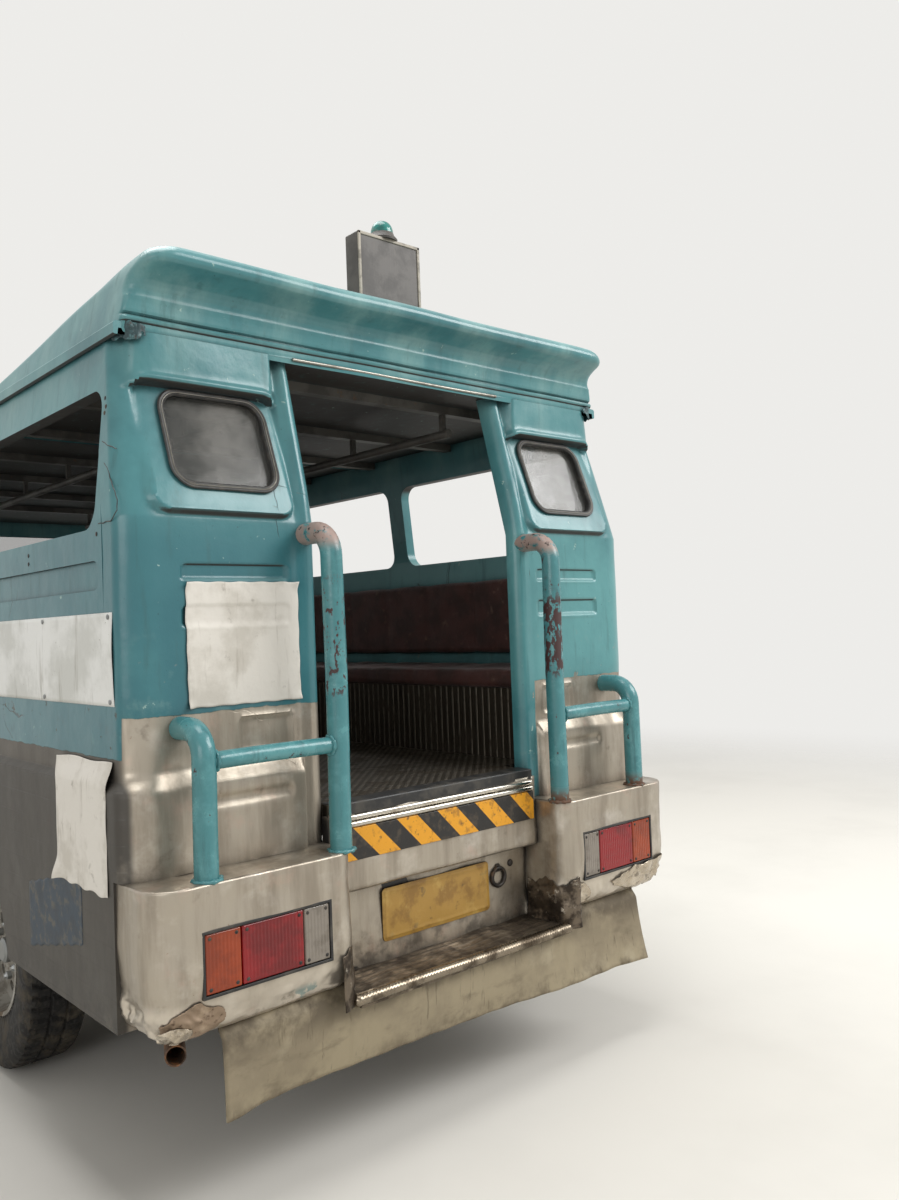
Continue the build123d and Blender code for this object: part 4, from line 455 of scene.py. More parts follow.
# Turquoise enamel, sprayed and brushed over old paint, with tear marks below seams, specks, and chips that
# show a paler coat. It is deeper on the lower left, as painted shade, and paler on the right, as painted
# light; paler higher up, partly where the sun has bleached it and partly as a painted top-lit sheen; paler on
# faces that look up, as a painted highlight; and darker on faces that look down and in its corners, as
# painted shade
ENAMEL_COLOUR = "#4b8488"
ENAMEL_LAYERS = (
    ("#33686f", 420, EVEN, 0.40, 0.66, 0.80, 0.28),
    # deeper on the lower left quarter: painted shade
    ("#2d626c", 300, EVEN, 0.15, 0.50, 0.65, 0.28, ("z", 1.66, 1.50), ("y", 0.2, 0.5)),
    # paler on the right quarter: painted light
    ("#6fabaa", 300, EVEN, 0.15, 0.50, 0.40, 0.28, ("z", 1.02, 1.12), ("z", 1.62, 1.56), ("y", -0.2, -0.5)),
    # paler higher up: partly sun-bleached chalk, partly a painted top-lit sheen
    ("#8fb2ae", 170, (1, 1, 0.4), 0.40, 0.75, 0.55, 0.42, ("z", 1.75, 2.15)),
    # paler on faces that look up: a painted highlight
    ("#8fb0ad", 400, EVEN, 0.20, 0.70, 0.45, 0.42, ("up", 0.2, 0.9)),
    # dark on faces that look down, below 2.04 m: painted shade
    ("#33302d", 60, EVEN, 0.0, 0.1, 1.0, 0.6, ("up", -0.5, -0.8), ("z", 2.045, 2.035)),
    ("#355a5b", 34, RUNS, 0.55, 0.74, 0.40, 0.45),
    ("#6f9291", 60, EVEN, 0.56, 0.72, 0.40, 0.48, ("z", 1.5, 1.0)),
    ("#26484b", 10, EVEN, 0.68, 0.72, 0.60, 0.5),
    ("#a3bdb4", 30, EVEN, 0.69, 0.715, 0.70, 0.5),
    ("#57666a", 70, EVEN, 0.60, 0.74, 0.45, 0.55, ("z", 1.35, 0.95)),
    # dark where a corner is hemmed in: painted shade
    ("#22363a", 40, EVEN, 0.15, 0.50, 0.80, 0.6, ("open", 0.80, 0.30)))
# Galvanised sheet folded by hand: grey spangle in streaks, pale scuffs, brown stains and rust spots, painted
# shade in its corners, and road spray that thickens towards the bottom edge
SHEET_COLOUR = "#aba294"
SHEET_LAYERS = (
    ("#857b6e", 60, RUNS, 0.38, 0.68, 0.7, 0.45),
    ("#d2cbc0", 150, EVEN, 0.50, 0.76, 0.7, 0.30),
    ("#b79f90", 90, EVEN, 0.56, 0.74, 0.5, 0.4),
    ("#5b5349", 70, EVEN, 0.60, 0.74, 0.45, 0.5),
    ("#6b432a", 14, EVEN, 0.69, 0.75, 0.6, 0.6),
    # dark where a corner is hemmed in: painted shade
    ("#38332d", 40, EVEN, 0.15, 0.50, 0.75, 0.6, ("open", 0.80, 0.30)))
SPRAY = ("#453f38", 46, EVEN, 0.42, 0.66, 0.60, 0.6, ("z", 0.60, 0.42))
SHEET_BUMPS = ((170, EVEN, 0.012, 0.5), (48, EVEN, 0.0026, 0.8), (4, EVEN, 0.0002, 0.6))


def body_panels():
    """The enamel with its cracks over the upper body, and the bare sheet below the ragged line where it ends.

    The line lies at 1.13 m on the rear face outboard of the door pillars and at 1.037 m along the flanks. The
    flanks' sheet is darker, as painted shade, and duller than the rear's. Its skirt is pressed in planks 57
    mm high.
    """
    made, tree, shader, place = begin("turquoise_enamel_over_galvanised_sheet", IOR=1.5)
    paint, gloss = stack(tree, place, ENAMEL_COLOUR, 0.28, ENAMEL_LAYERS)
    # the last layer darkens the flanks' sheet: painted shade
    metal, dull = stack(tree, place, SHEET_COLOUR, 0.38, (*SHEET_LAYERS, SPRAY, (
        "#312f2c", 180, EVEN, 0.05, 0.40, 0.90, 0.55, ("side", 0.868, 0.884))))

    shake = node(tree, "TexNoise", {"Vector": place, "Scale": 1000 / 90}).outputs["Color"]
    warped = node(tree, "Mix", {0: 0.05, 4: place, 5: shake}, data_type="VECTOR")
    cells = node(tree, "TexVoronoi", {"Vector": warped, "Scale": 1000 / 260}, feature="DISTANCE_TO_EDGE")
    crack = node(tree, "MapRange", {0: cells, 1: 0.006, 2: 0.002}, interpolation_type="SMOOTHSTEP")
    somewhere = patches(tree, place, 330, EVEN, 0.57, 0.64, 0.85, ())
    crack = node(tree, "Math", {0: crack, 1: somewhere}, operation="MULTIPLY")
    paint = node(tree, "Mix", {0: crack, 6: paint, 7: linear("#1d3337")}, data_type="RGBA")

    across, height = node(tree, "SeparateXYZ", {0: place}).outputs[1:3]
    side = node(tree, "Math", {0: across}, operation="ABSOLUTE")
    flank = node(tree, "MapRange", {0: side, 1: 0.8740, 2: 0.8755, 3: 1.122, 4: 1.031})
    ragged = node(tree, "TexNoise", {"Vector": place, "Scale": 1000 / 30, "Detail": 5.0})
    line = node(tree, "Math", {0: ragged, 1: 0.012, 2: flank}, operation="MULTIPLY_ADD")
    below = node(tree, "Math", {0: line, 1: height}, operation="SUBTRACT")
    bare = node(tree, "MapRange", {0: below, 1: -0.0008, 2: 0.0008})
    pillar = node(tree, "MapRange", {0: across, 1: -0.4225, 2: -0.4245})
    left = node(tree, "Math", {0: across, 1: 0.0}, operation="GREATER_THAN")
    pillar = node(tree, "Math", {0: pillar, 1: left}, operation="MAXIMUM")
    bare = node(tree, "Math", {0: bare, 1: pillar}, operation="MULTIPLY")
    scuffs = patches(tree, place, 48, EVEN, 0.66, 0.69, 1.0, (("z", 1.32, 1.05),))
    bare = node(tree, "Math", {0: bare, 1: scuffs}, operation="MAXIMUM")

    bright = node(tree, "MapRange", {0: side, 1: 0.868, 2: 0.884, 3: 0.8, 4: 0.3})
    connect(tree, shader,
            Base_Color=node(tree, "Mix", {0: bare, 6: paint, 7: metal}, data_type="RGBA"),
            Roughness=node(tree, "Mix", {0: bare, 2: gloss, 3: dull}),
            Metallic=node(tree, "Math", {0: bare, 1: bright}, operation="MULTIPLY"))
    beaten = relief(tree, place, ((230, EVEN, 0.012, 0.5), (60, EVEN, 0.0016, 0.8), (5, EVEN, 0.0003, 0.5)))
    planks = node(tree, "Math", {0: height, 1: 1 / 0.057}, operation="MULTIPLY")
    planks = node(tree, "Math", {0: planks}, operation="FRACT")
    planks = node(tree, "MapRange", {0: planks, 1: 0.07, 2: 0.0}, interpolation_type="SMOOTHSTEP")
    skirt = node(tree, "MapRange", {0: side, 1: 0.884, 2: 0.890})
    planks = node(tree, "Math", {0: planks, 1: skirt}, operation="MULTIPLY")
    sunk = node(tree, "Math", {0: crack, 1: -1.0, 2: planks}, operation="MULTIPLY_ADD")
    edge = node(tree, "Math", {0: sunk, 1: bare}, operation="SUBTRACT")
    connect(tree, shader, Normal=node(tree, "Bump", {"Height": edge, "Distance": 0.0008, "Normal": beaten}))
    return made


def hazard_tape():
    """Printed tape: black and orange bars that lean, 71 mm each, rubbed and dirty."""
    made, tree, shader, place = begin("hazard_tape", Roughness=0.42)
    across, height = node(tree, "SeparateXYZ", {0: place}).outputs[1:3]
    slide = node(tree, "Math", {0: across, 1: height}, operation="SUBTRACT")
    bars = node(tree, "Math", {0: slide, 1: 0.142}, operation="DIVIDE")
    bars = node(tree, "Math", {0: bars}, operation="FRACT")
    bars = node(tree, "Math", {0: bars, 1: 0.5}, operation="GREATER_THAN")
    yellow, dull = stack(tree, place, "#dd9a1e", 0.4, (
        ("#9c6c26", 26, EVEN, 0.52, 0.68, 0.8, 0.6), ("#4b3d2e", 15, EVEN, 0.60, 0.68, 0.7, 0.7)))
    black, dull = stack(tree, place, "#1b1815", dull, (("#4e4437", 30, EVEN, 0.50, 0.68, 0.7, 0.7),))
    connect(tree, shader, Roughness=dull,
            Base_Color=node(tree, "Mix", {0: bars, 6: yellow, 7: black}, data_type="RGBA"),
            Normal=relief(tree, place, ((22, EVEN, 0.0015, 0.8),)))
    return made


def floor_plate():
    """Rolled steel floor plate: raised lozenges in a 30 mm lattice, polished on top and dirty between."""
    made, tree, shader, place = begin("lozenge_floor_plate", Metallic=0.85)
    along, across = node(tree, "SeparateXYZ", {0: place}).outputs[:2]
    waves = []
    for way in ("ADD", "SUBTRACT"):
        slant = node(tree, "Math", {0: along, 1: across}, operation=way)
        turn = node(tree, "Math", {0: slant, 1: np.pi / 0.030}, operation="MULTIPLY")
        waves.append(node(tree, "Math", {0: turn}, operation="SINE"))
    lattice = node(tree, "Math", {0: waves[0], 1: waves[1]}, operation="MULTIPLY")
    lattice = node(tree, "Math", {0: lattice}, operation="ABSOLUTE")
    bars = node(tree, "MapRange", {0: lattice, 1: 0.5, 2: 0.7}, interpolation_type="SMOOTHSTEP")
    worn, dull = stack(tree, place, "#7d766b", 0.45, (
        ("#4a4136", 120, EVEN, 0.45, 0.65, 0.9, 0.7), ("#a79d8c", 200, EVEN, 0.55, 0.7, 0.6, 0.3)))
    low = node(tree, "Mix", {0: bars, 6: linear("#494238"), 7: worn}, data_type="RGBA")
    connect(tree, shader, Base_Color=low, Roughness=dull,
            Normal=node(tree, "Bump", {"Height": bars, "Distance": 0.0018}))
    return made


def bench_vinyl():
    """Calendered vinyl: a leather grain of 4 mm cells, drawn coarse so that it shows, and pale patches."""
    made, tree, shader, place = begin("calendered_vinyl", Sheen_Weight=0.1)
    tone, dull = stack(tree, place, "#52302a", 0.4, (
        ("#34201b", 90, EVEN, 0.40, 0.65, 0.8, 0.45), ("#8a7060", 36, EVEN, 0.58, 0.74, 0.5, 0.6)))
    cells = node(tree, "TexVoronoi", {"Vector": place, "Scale": 1000 / 4.0}, feature="DISTANCE_TO_EDGE")
    grain = node(tree, "MapRange", {0: cells, 2: 0.25})
    soft = relief(tree, place, ((60, EVEN, 0.004, 0.6),))
    connect(tree, shader, Base_Color=tone, Roughness=dull,
            Normal=node(tree, "Bump", {"Height": grain, "Distance": 0.0004, "Normal": soft}))
    return made


DUST = "#77746e"


def window_glass(name, colour, alpha, film, *limits):
    """Float glass under a film of dust: clear enough to see through, dull where rain has dried on it."""
    made, tree, shader, place = begin(name, IOR=1.5)
    dust = patches(tree, place, 260, EVEN, 0.30, 0.75, 1.0, limits)
    connect(tree, shader,
            Base_Color=node(tree, "Mix", {0: dust, 6: linear(colour), 7: linear(DUST)}, data_type="RGBA"),
            Alpha=node(tree, "MapRange", {0: dust, 3: alpha, 4: film}),
            Roughness=node(tree, "MapRange", {0: dust, 3: 0.04, 4: 0.3}),
            Normal=relief(tree, place, ((600, EVEN, 0.002, 0.2),)))
    return made


PANELS = body_panels()
TAPE = hazard_tape()
FLOOR = floor_plate()
VINYL = bench_vinyl()
GLASS = window_glass("float_glass", "#4c4f4e", 0.34, 0.80, ("x", 1.5, -0.5))
HEAD_GLASS = window_glass("pressed_lamp_glass", "#dfe2e2", 0.25, 0.40)
# The same enamel on the roof, doors, wings and bonnet, where no bare sheet shows
ENAMEL = finish("turquoise_enamel", ENAMEL_COLOUR, 0.28, ENAMEL_LAYERS,
                ((230, EVEN, 0.010, 0.5), (60, EVEN, 0.0012, 0.8), (5, EVEN, 0.0003, 0.5)), IOR=1.5)
BARE = finish("galvanised_sheet", SHEET_COLOUR, 0.38, (*SHEET_LAYERS, SPRAY), SHEET_BUMPS, Metallic=0.8)
# The same sheet on the rear boxes, scraped bright where it tucks in below
BOX_SHEET = finish("scraped_galvanised_sheet", SHEET_COLOUR, 0.38, (
    *SHEET_LAYERS, ("#cdc4b6", 260, EVEN, 0.20, 0.50, 0.7, 0.25, ("z", 0.545, 0.515)),
    ("#5e5140", 60, EVEN, 0.58, 0.70, 0.6, 0.5, ("z", 0.54, 0.46)),
    ("#47777a", 70, EVEN, 0.57, 0.62, 0.6, 0.4, ("z", 0.50, 0.48), ("y", 0.58, 0.53), ("y", 0.40, 0.45))),
    SHEET_BUMPS, Metallic=0.8)
# Thin tinplate that has been torn and flattened: bright on its ridges, dark in its folds
SILVER = finish("crumpled_tinplate", "#b5a997", 0.26, (
    ("#dcd3c4", 60, EVEN, 0.50, 0.70, 0.7, 0.18), ("#5e5346", 30, EVEN, 0.52, 0.68, 0.7, 0.45),
    ("#7a4a30", 16, EVEN, 0.63, 0.72, 0.6, 0.6)), ((30, EVEN, 0.003, 0.8), (5, EVEN, 0.0004, 0.6)),
    Metallic=0.9)
# Flashing bent by hand under many coats of the body's enamel, which has cracked off its folds
CUFF = finish("enamelled_flashing", "#41686b", 0.4, (
    ("#22363a", 26, EVEN, 0.40, 0.56, 0.9, 0.6), ("#3b2a24", 18, EVEN, 0.56, 0.64, 0.8, 0.7),
    ("#86a39f", 20, EVEN, 0.64, 0.72, 0.6, 0.4)), ((20, EVEN, 0.002, 0.8), (5, EVEN, 0.0004, 0.6)))
# Torn sheet, its zinc gone: a dull fawn face with rust along its tears
TORN = finish("weathered_torn_sheet", "#8b7864", 0.5, (
    ("#4a3628", 30, EVEN, 0.56, 0.66, 0.9, 0.8), ("#a8957f", 40, EVEN, 0.54, 0.70, 0.7, 0.4)),
    ((40, EVEN, 0.003, 0.7), (4, EVEN, 0.0004, 0.6)), Metallic=0.5)
# Sheet beaten round the step's ends: dark grime with bright rubbed ridges
BATTERED = finish("battered_step_steel", "#6d6255", 0.32, (
    ("#2f2822", 50, EVEN, 0.42, 0.60, 0.9, 0.6), ("#cfc6b8", 40, EVEN, 0.58, 0.70, 0.8, 0.16),
    ("#6b432a", 16, EVEN, 0.64, 0.72, 0.6, 0.6)), ((30, EVEN, 0.003, 0.8), (5, EVEN, 0.0004, 0.6)),
    Metallic=0.85)
# Enamel on steel pipe, rubbed by hands: chips to dark primer on the posts, bends worn pinkish, rusty feet
PIPE = finish("enamelled_steel_pipe", "#457e82", 0.25, (
    ("#5d979a", 70, EVEN, 0.45, 0.68, 0.7, 0.3),
    ("#2f5d62", 26, RUNS, 0.55, 0.70, 0.6, 0.35),
    ("#3b2322", 26, (1, 1, 0.6), 0.66, 0.68, 1.0, 0.6),
    ("#3b2322", 22, (1, 1, 0.5), 0.50, 0.52, 1.0, 0.6, ("z", 1.12, 1.17), ("z", 1.42, 1.36),
     ("y", 0.2, -0.2)),
    ("#3b2322", 15, (1, 1, 0.6), 0.57, 0.59, 1.0, 0.6, ("z", 1.12, 1.17), ("z", 1.46, 1.40)),
    ("#ab8a7e", 30, EVEN, 0.36, 0.46, 0.8, 0.5, ("z", 1.495, 1.535)),
    ("#2e2421", 17, EVEN, 0.60, 0.63, 1.0, 0.7, ("z", 1.50, 1.55)),
    ("#5e4332", 16, EVEN, 0.34, 0.50, 1.0, 0.75, ("z", 0.825, 0.785), ("y", 0.2, -0.2))),
    ((26, EVEN, 0.0016, 0.7), (6, EVEN, 0.0004, 0.6)), IOR=1.5)
# Extruded rubber channel, weathered grey-brown, and the bright strip pressed into it
GASKET = finish("rubber_channel", "#2a2928", 0.5, (("#57534c", 26, EVEN, 0.46, 0.66, 0.6, 0.7),),
                ((6, EVEN, 0.0005, 0.6),))
STRIP = finish("aluminium_filler_strip", "#8f8c84", 0.3, (("#5b554c", 90, EVEN, 0.46, 0.66, 0.7, 0.5),),
               Metallic=0.8)
# Moulded acrylic lenses: deep colour under gloss, with a little road film
RED = finish("moulded_red_acrylic", "#860d14", 0.06, (
    ("#4a090c", 120, EVEN, 0.42, 0.6, 0.6, 0.07), ("#6e3f34", 60, EVEN, 0.60, 0.80, 0.15, 0.3)), IOR=1.49)
AMBER = finish("moulded_amber_acrylic", "#94380f", 0.06, (
    ("#6d270d", 120, EVEN, 0.42, 0.6, 0.6, 0.07), ("#7b5540", 60, EVEN, 0.60, 0.80, 0.15, 0.3)), IOR=1.49)
CLEAR = finish("moulded_clear_acrylic", "#80786e", 0.07, (
    ("#655d53", 60, EVEN, 0.42, 0.6, 0.7, 0.09), ("#a3937f", 24, EVEN, 0.60, 0.80, 0.35, 0.35)), IOR=1.49)
BEACON = finish("moulded_green_acrylic", "#2f8078", 0.10, (
    ("#1b5c56", 40, EVEN, 0.4, 0.6, 0.8, 0.16), ("#8c8a7c", 24, EVEN, 0.56, 0.76, 0.45, 0.4)), IOR=1.49)
# Chrome over steel: mirror bright, pitted, and worn to warm steel where feet rub it
CHROME = finish("chromed_steel", "#bcb7ad", 0.14, (
    ("#8f8576", 90, EVEN, 0.50, 0.70, 0.7, 0.3), ("#6b4a34", 12, EVEN, 0.68, 0.74, 0.8, 0.6)),
    ((120, EVEN, 0.0006, 0.5),), Metallic=1.0)
WORN_CHROME = finish("worn_chromed_steel", "#8f8474", 0.24, (
    ("#40362b", 80, EVEN, 0.44, 0.62, 0.85, 0.4), ("#d8d0c2", 60, EVEN, 0.60, 0.72, 0.7, 0.14)),
    ((30, EVEN, 0.0006, 0.6),), Metallic=1.0)
# Steel tread plate, dark with dirt, with painted shade between its ribs, and polished by feet along its
# middle
TREAD = finish("ribbed_steel_plate", "#6f6456", 0.34, (
    ("#372e26", 60, EVEN, 0.42, 0.62, 0.85, 0.6), ("#a99d8b", 80, EVEN, 0.54, 0.70, 0.6, 0.22),
    # dark where a corner is hemmed in, between the ribs: painted shade
    ("#2c2620", 40, EVEN, 0.10, 0.40, 0.8, 0.6, ("open", 0.85, 0.45))),
    ((30, EVEN, 0.0006, 0.6),), Metallic=0.8)
# Printed paper with nothing on it, sun-yellowed and streaked by rain
PAPER = finish("pasted_poster_paper", "#d8d3ca", 0.6, (
    ("#bfb9ae", 120, EVEN, 0.45, 0.65, 0.8, 0.65), ("#8f8577", 26, RUNS, 0.56, 0.72, 0.45, 0.7),
    ("#7d7468", 40, EVEN, 0.62, 0.74, 0.5, 0.7)), ((40, EVEN, 0.0022, 0.7), (6, EVEN, 0.0002, 0.6)))
# Route board: white stoving enamel on tin, dented, dirty at its foot
WHITE = finish("white_enamelled_tin", "#dededa", 0.32, (
    ("#bdbdb6", 200, EVEN, 0.42, 0.62, 0.8, 0.36), ("#8a8578", 30, RUNS, 0.56, 0.72, 0.5, 0.6),
    ("#6f5b45", 12, EVEN, 0.69, 0.74, 0.8, 0.7)), ((120, EVEN, 0.006, 0.6), (20, EVEN, 0.0008, 0.6)), IOR=1.5)
# Faded dark blue paint rolled on the skirt, rubbed through at its edges
BLUE = finish("faded_blue_paint", "#2c3945", 0.55, (
    ("#5a564d", 26, EVEN, 0.50, 0.62, 0.8, 0.6), ("#1c2630", 60, EVEN, 0.45, 0.6, 0.7, 0.5)),
    ((40, EVEN, 0.002, 0.6),))
# Number plate: yellow enamel on pressed tin, scratched and muddied
YELLOW = finish("yellow_enamelled_tin", "#a8823a", 0.36, (
    ("#7d5a26", 70, EVEN, 0.46, 0.62, 0.7, 0.45), ("#54402a", 30, EVEN, 0.60, 0.70, 0.7, 0.6),
    ("#c6a75c", 60, EVEN, 0.54, 0.72, 0.6, 0.3)), ((30, EVEN, 0.0016, 0.7),))
# Flap of old board, off-white and stained brown by road spray, darkened overall as painted shade, with a
# painted shadow of the boxes along its top
# base darker than off-white: partly stains, partly painted shade
FLAP = finish("stained_flap_board_with_painted_shade", "#94886f", 0.62, (
    ("#756a57", 240, EVEN, 0.42, 0.62, 0.6, 0.7), ("#5f5443", 60, (1, 0.4, 1), 0.56, 0.70, 0.4, 0.75),
    ("#aa9f87", 150, EVEN, 0.54, 0.72, 0.5, 0.55),
    ("#554938", 60, EVEN, 0.42, 0.66, 0.6, 0.8, ("z", 0.30, 0.24)),
    # dark band along the top, under the boxes: painted shadow
    ("#4a4033", 90, EVEN, 0.36, 0.60, 0.75, 0.8, ("z", 0.34, 0.42)),
    ("#4f4536", 14, RUNS, 0.60, 0.70, 0.5, 0.8)), ((90, EVEN, 0.006, 0.6), (8, EVEN, 0.0004, 0.6)))
# Sign box: grey-brown brushed paint over plywood and tin, its border paler, sealant smeared at its foot
SIGN = finish("brushed_grey_paint", "#4c4742", 0.5, (
    ("#3a3632", 60, EVEN, 0.42, 0.62, 0.8, 0.55), ("#756d63", 40, RUNS, 0.58, 0.74, 0.5, 0.6)),
    ((30, RUNS, 0.0008, 0.7), (4, EVEN, 0.0001, 0.6)))
SIGN_EDGE = finish("brushed_pale_paint", "#9f9788", 0.5, (("#6c665c", 30, EVEN, 0.48, 0.62, 0.8, 0.6),),
                   ((20, EVEN, 0.0008, 0.7),))
PUTTY = finish("smeared_sealant", "#8f8a80", 0.6, (("#5d574c", 16, EVEN, 0.48, 0.62, 0.8, 0.7),),
               ((12, EVEN, 0.003, 0.9),))
# Brushed black chassis paint under dust, bare castings under oil, rolled and welded steel under rust
BLACK = finish("black_chassis_paint", "#232120", 0.45, (
    ("#141312", 80, EVEN, 0.42, 0.6, 0.8, 0.4), ("#5d5244", 90, EVEN, 0.48, 0.68, 0.85, 0.8),
    ("#6b432a", 24, EVEN, 0.64, 0.72, 0.7, 0.8)), ((30, EVEN, 0.001, 0.6), (4, EVEN, 0.0003, 0.6)))
IRON = finish("oily_cast_iron", "#3a3734", 0.45, (
    ("#1d1b1a", 60, EVEN, 0.42, 0.6, 0.9, 0.3), ("#5c5347", 50, EVEN, 0.5, 0.66, 0.8, 0.8)),
    ((6, EVEN, 0.0008, 0.8),), Metallic=0.5)
SPRING = finish("rolled_spring_steel", "#35302c", 0.45, (
    ("#1b1917", 50, EVEN, 0.42, 0.6, 0.8, 0.4), ("#66503c", 36, EVEN, 0.5, 0.66, 0.8, 0.8)),
    ((12, EVEN, 0.0006, 0.7),), Metallic=0.5)
RUSTY = finish("rusty_exhaust_pipe", "#5a4333", 0.6, (
    ("#2f231b", 30, EVEN, 0.44, 0.6, 0.8, 0.7), ("#8a5f3c", 20, EVEN, 0.54, 0.66, 0.8, 0.85)),
    ((8, EVEN, 0.0008, 0.8),), Metallic=0.5)
# Dark grey on the ceiling bows, with brown stains: painted shade under the roof
CEILING = finish("ceiling_dark_grey_painted_shade", "#55524c", 0.5, (
    ("#3a3733", 110, EVEN, 0.42, 0.62, 0.8, 0.55), ("#6b4f38", 24, EVEN, 0.62, 0.72, 0.7, 0.8)),
    ((40, EVEN, 0.0015, 0.6),))
PLASTIC = finish("moulded_black_plastic", "#1b1b1b", 0.42, (("#4b4740", 60, EVEN, 0.46, 0.68, 0.7, 0.7),),
                 ((3, EVEN, 0.0002, 0.7),))
# Sprayed silver on the wheels and grey on the bumper, chipped and dusty; silvered glass in the mirrors
WHEEL = finish("silver_wheel_paint", "#a19e97", 0.35, (
    ("#6d675d", 60, EVEN, 0.42, 0.6, 0.8, 0.5), ("#5e4a36", 40, EVEN, 0.54, 0.68, 0.8, 0.8)),
    ((16, EVEN, 0.0006, 0.6),), Metallic=0.5)
STEEL = finish("grey_bumper_paint", "#8a8c8b", 0.3, (
    ("#6f706f", 300, EVEN, 0.42, 0.62, 0.6, 0.4), ("#655a4a", 90, RUNS, 0.56, 0.74, 0.5, 0.7)),
    ((150, EVEN, 0.002, 0.5), (6, EVEN, 0.0002, 0.5)), Metallic=0.7)
MIRROR = finish("silvered_mirror_glass", "#e6eaec", 0.02, (("#9a978f", 50, EVEN, 0.60, 0.76, 0.6, 0.3),),
                Metallic=1.0)
# Moulded tyre rubber, nearly black, greyed by road dust
RUBBER = finish("moulded_tyre_rubber", "#1a1918", 0.75, (
    ("#4f483d", 60, EVEN, 0.44, 0.66, 0.8, 0.9), ("#2a2826", 20, EVEN, 0.5, 0.6, 0.7, 0.6)),
    ((3, EVEN, 0.0003, 0.6),), Specular_IOR_Level=0.35)

CARRIED = {
    "side_wall_left": PANELS, "side_wall_right": PANELS, "chassis_frame": BLACK, "power_unit": IRON,
    "radiator": BLACK, "fuel_tank": BLACK, "exhaust": RUSTY, "front_axle": IRON, "rear_axle": IRON,
    "leaf_springs": SPRING, "cabin_floor": FLOOR, "ceiling_bows": CEILING, "cab_bulkhead": ENAMEL,
    "cowl": ENAMEL, "windscreen_frame": ENAMEL, "panes": GLASS, "door_hinge_pins": STEEL,
    "front_wings": ENAMEL, "grille": ENAMEL, "front_bumper": STEEL, "mirrors": PLASTIC,
    "knuckle_left": IRON, "knuckle_right": IRON, "steering_wheel": PLASTIC,
    "bonnet": ENAMEL, "door_left": ENAMEL, "door_right": ENAMEL,
    "rim_rear_left": WHEEL, "rim_rear_right": WHEEL, "rim_front_left": WHEEL, "rim_front_right": WHEEL}
for name, material in CARRIED.items():
    nodes[name].data.materials.clear()
    nodes[name].data.materials.append(material)


# Rear quarters: the pressed corner panels beside the doorway

LOUVRES = ((1.318, 1.377, 0.450, 0.737), (1.428, 1.473, 0.450, 0.737), (0.905, 0.938, 0.470, 0.700))
RECESS = (0.452, 0.600, 1.022, 1.112, 0.012)
DINGS = (  # |y|, z, radius and depth of dents in the lower sheet
    (0.62, 1.07, 0.060, 0.006), (0.78, 0.97, 0.040, 0.007), (0.50, 0.86, 0.050, 0.005),
    (0.70, 0.83, 0.060, 0.006), (0.84, 1.10, 0.040, 0.004), (0.56, 1.26, 0.070, 0.002))


def lean_at(z):
    """How far the body has leaned forward at height z."""
    return np.maximum(z - BELT_Z, 0) * REAR_LEAN / (EAVE_Z - BELT_Z)


def half_at(z):
    """Outer half width of the body at height z: the skirt, the ledge, the belt and the lean above it."""
    upper = BELT_HALF - np.maximum(z - BELT_Z, 0) * (BELT_HALF - EAVE_HALF) / (EAVE_Z - BELT_Z)
    return upper + (SKIRT_HALF - BELT_HALF) * (1 - ease(z, LEDGE_Z - 0.012, LEDGE_Z + LEDGE_RISE + 0.004))


def plain_face(z):
    """The rear face without its pressings, measured forward of the bumper face."""
    return REAR_FACE + lean_at(z) - LOW_BULGE * (1 - ease(z, 0.955, 1.012))


def panel_face(z):
    """The window panel's own plane: proud of the lean at its foot and sunk below the brow at its head."""
    foot = REAR_FACE + lean_at(PANEL_LOW) - 0.022
    head = REAR_FACE + lean_at(BROW_Z) + 0.018
    return foot + (head - foot) * (z - PANEL_LOW) / (BROW_Z - PANEL_LOW)


def pressed_face(y, z):
    """The rear face with its pressings at width y and height z, measured forward of the bumper face.

    A panel round the window, a header with an overhanging brow, a rounded pillar beside the doorway, louvres
    with a flat bed and a lower lip that slopes out, a square recess with a proud border, and dings.
    """
    face = plain_face(z)
    face = face + (REAR_FACE + lean_at(z) - face) * (1 - ease(y, 0.420, 0.436))
    panel = 1 - ease(frame_distance(y, z, (0.418, 0.812, 1.583, 1.96, 0.05)), -0.016, 0.001)
    crown = 0.006 * np.cos(np.pi * np.clip((y - 0.612) / 0.40, -0.5, 0.5)) * ease(z, 1.60, 1.68)
    face = face + panel * (panel_face(z) - crown - face)
    brow = BROW_Z - 0.012 * (1 - ease(y, 0.425, 0.47)) - 0.016 * ease(y, 0.785, 0.815)
    over = ease(z, brow - 0.009, brow + 0.001) * ease(y, 0.413, 0.448) * (1 - ease(y, 0.806, 0.83))
    lip = 0.007 * np.exp(-((z - brow - 0.008) / 0.009) ** 2)
    face = face + over * (HEADER_FACE - 0.006 - lip - face)
    ridge = np.exp(-((y - CREST) / 0.015) ** 2) * (0.003 + 0.012 * ease(z, BELT_Z - 0.06, BELT_Z + 0.11))
    valley = np.exp(-((y - 0.426) / 0.010) ** 2) * (0.001 + 0.004 * ease(z, BELT_Z, BELT_Z + 0.1))
    face = face - ridge + valley
    for low, high, start, end in LOUVRES:
        span = 1 - ease(frame_distance(y, z, (start, end, low, high, 0.014)), -0.006, 0.002)
        depth = ease(z, low, low + 0.35 * (high - low))
        face = face + span * (0.011 * depth - 0.0030)
    rim = frame_distance(y, z, RECESS)
    face = face - 0.004 * np.exp(-(rim / 0.005) ** 2) + 0.003 * (1 - ease(rim, -0.012, -0.004))
    for cy, cz, radius, depth in DINGS:
        face = face + depth * np.exp(-((y - cy) ** 2 + (z - cz) ** 2) / radius ** 2)
    return face


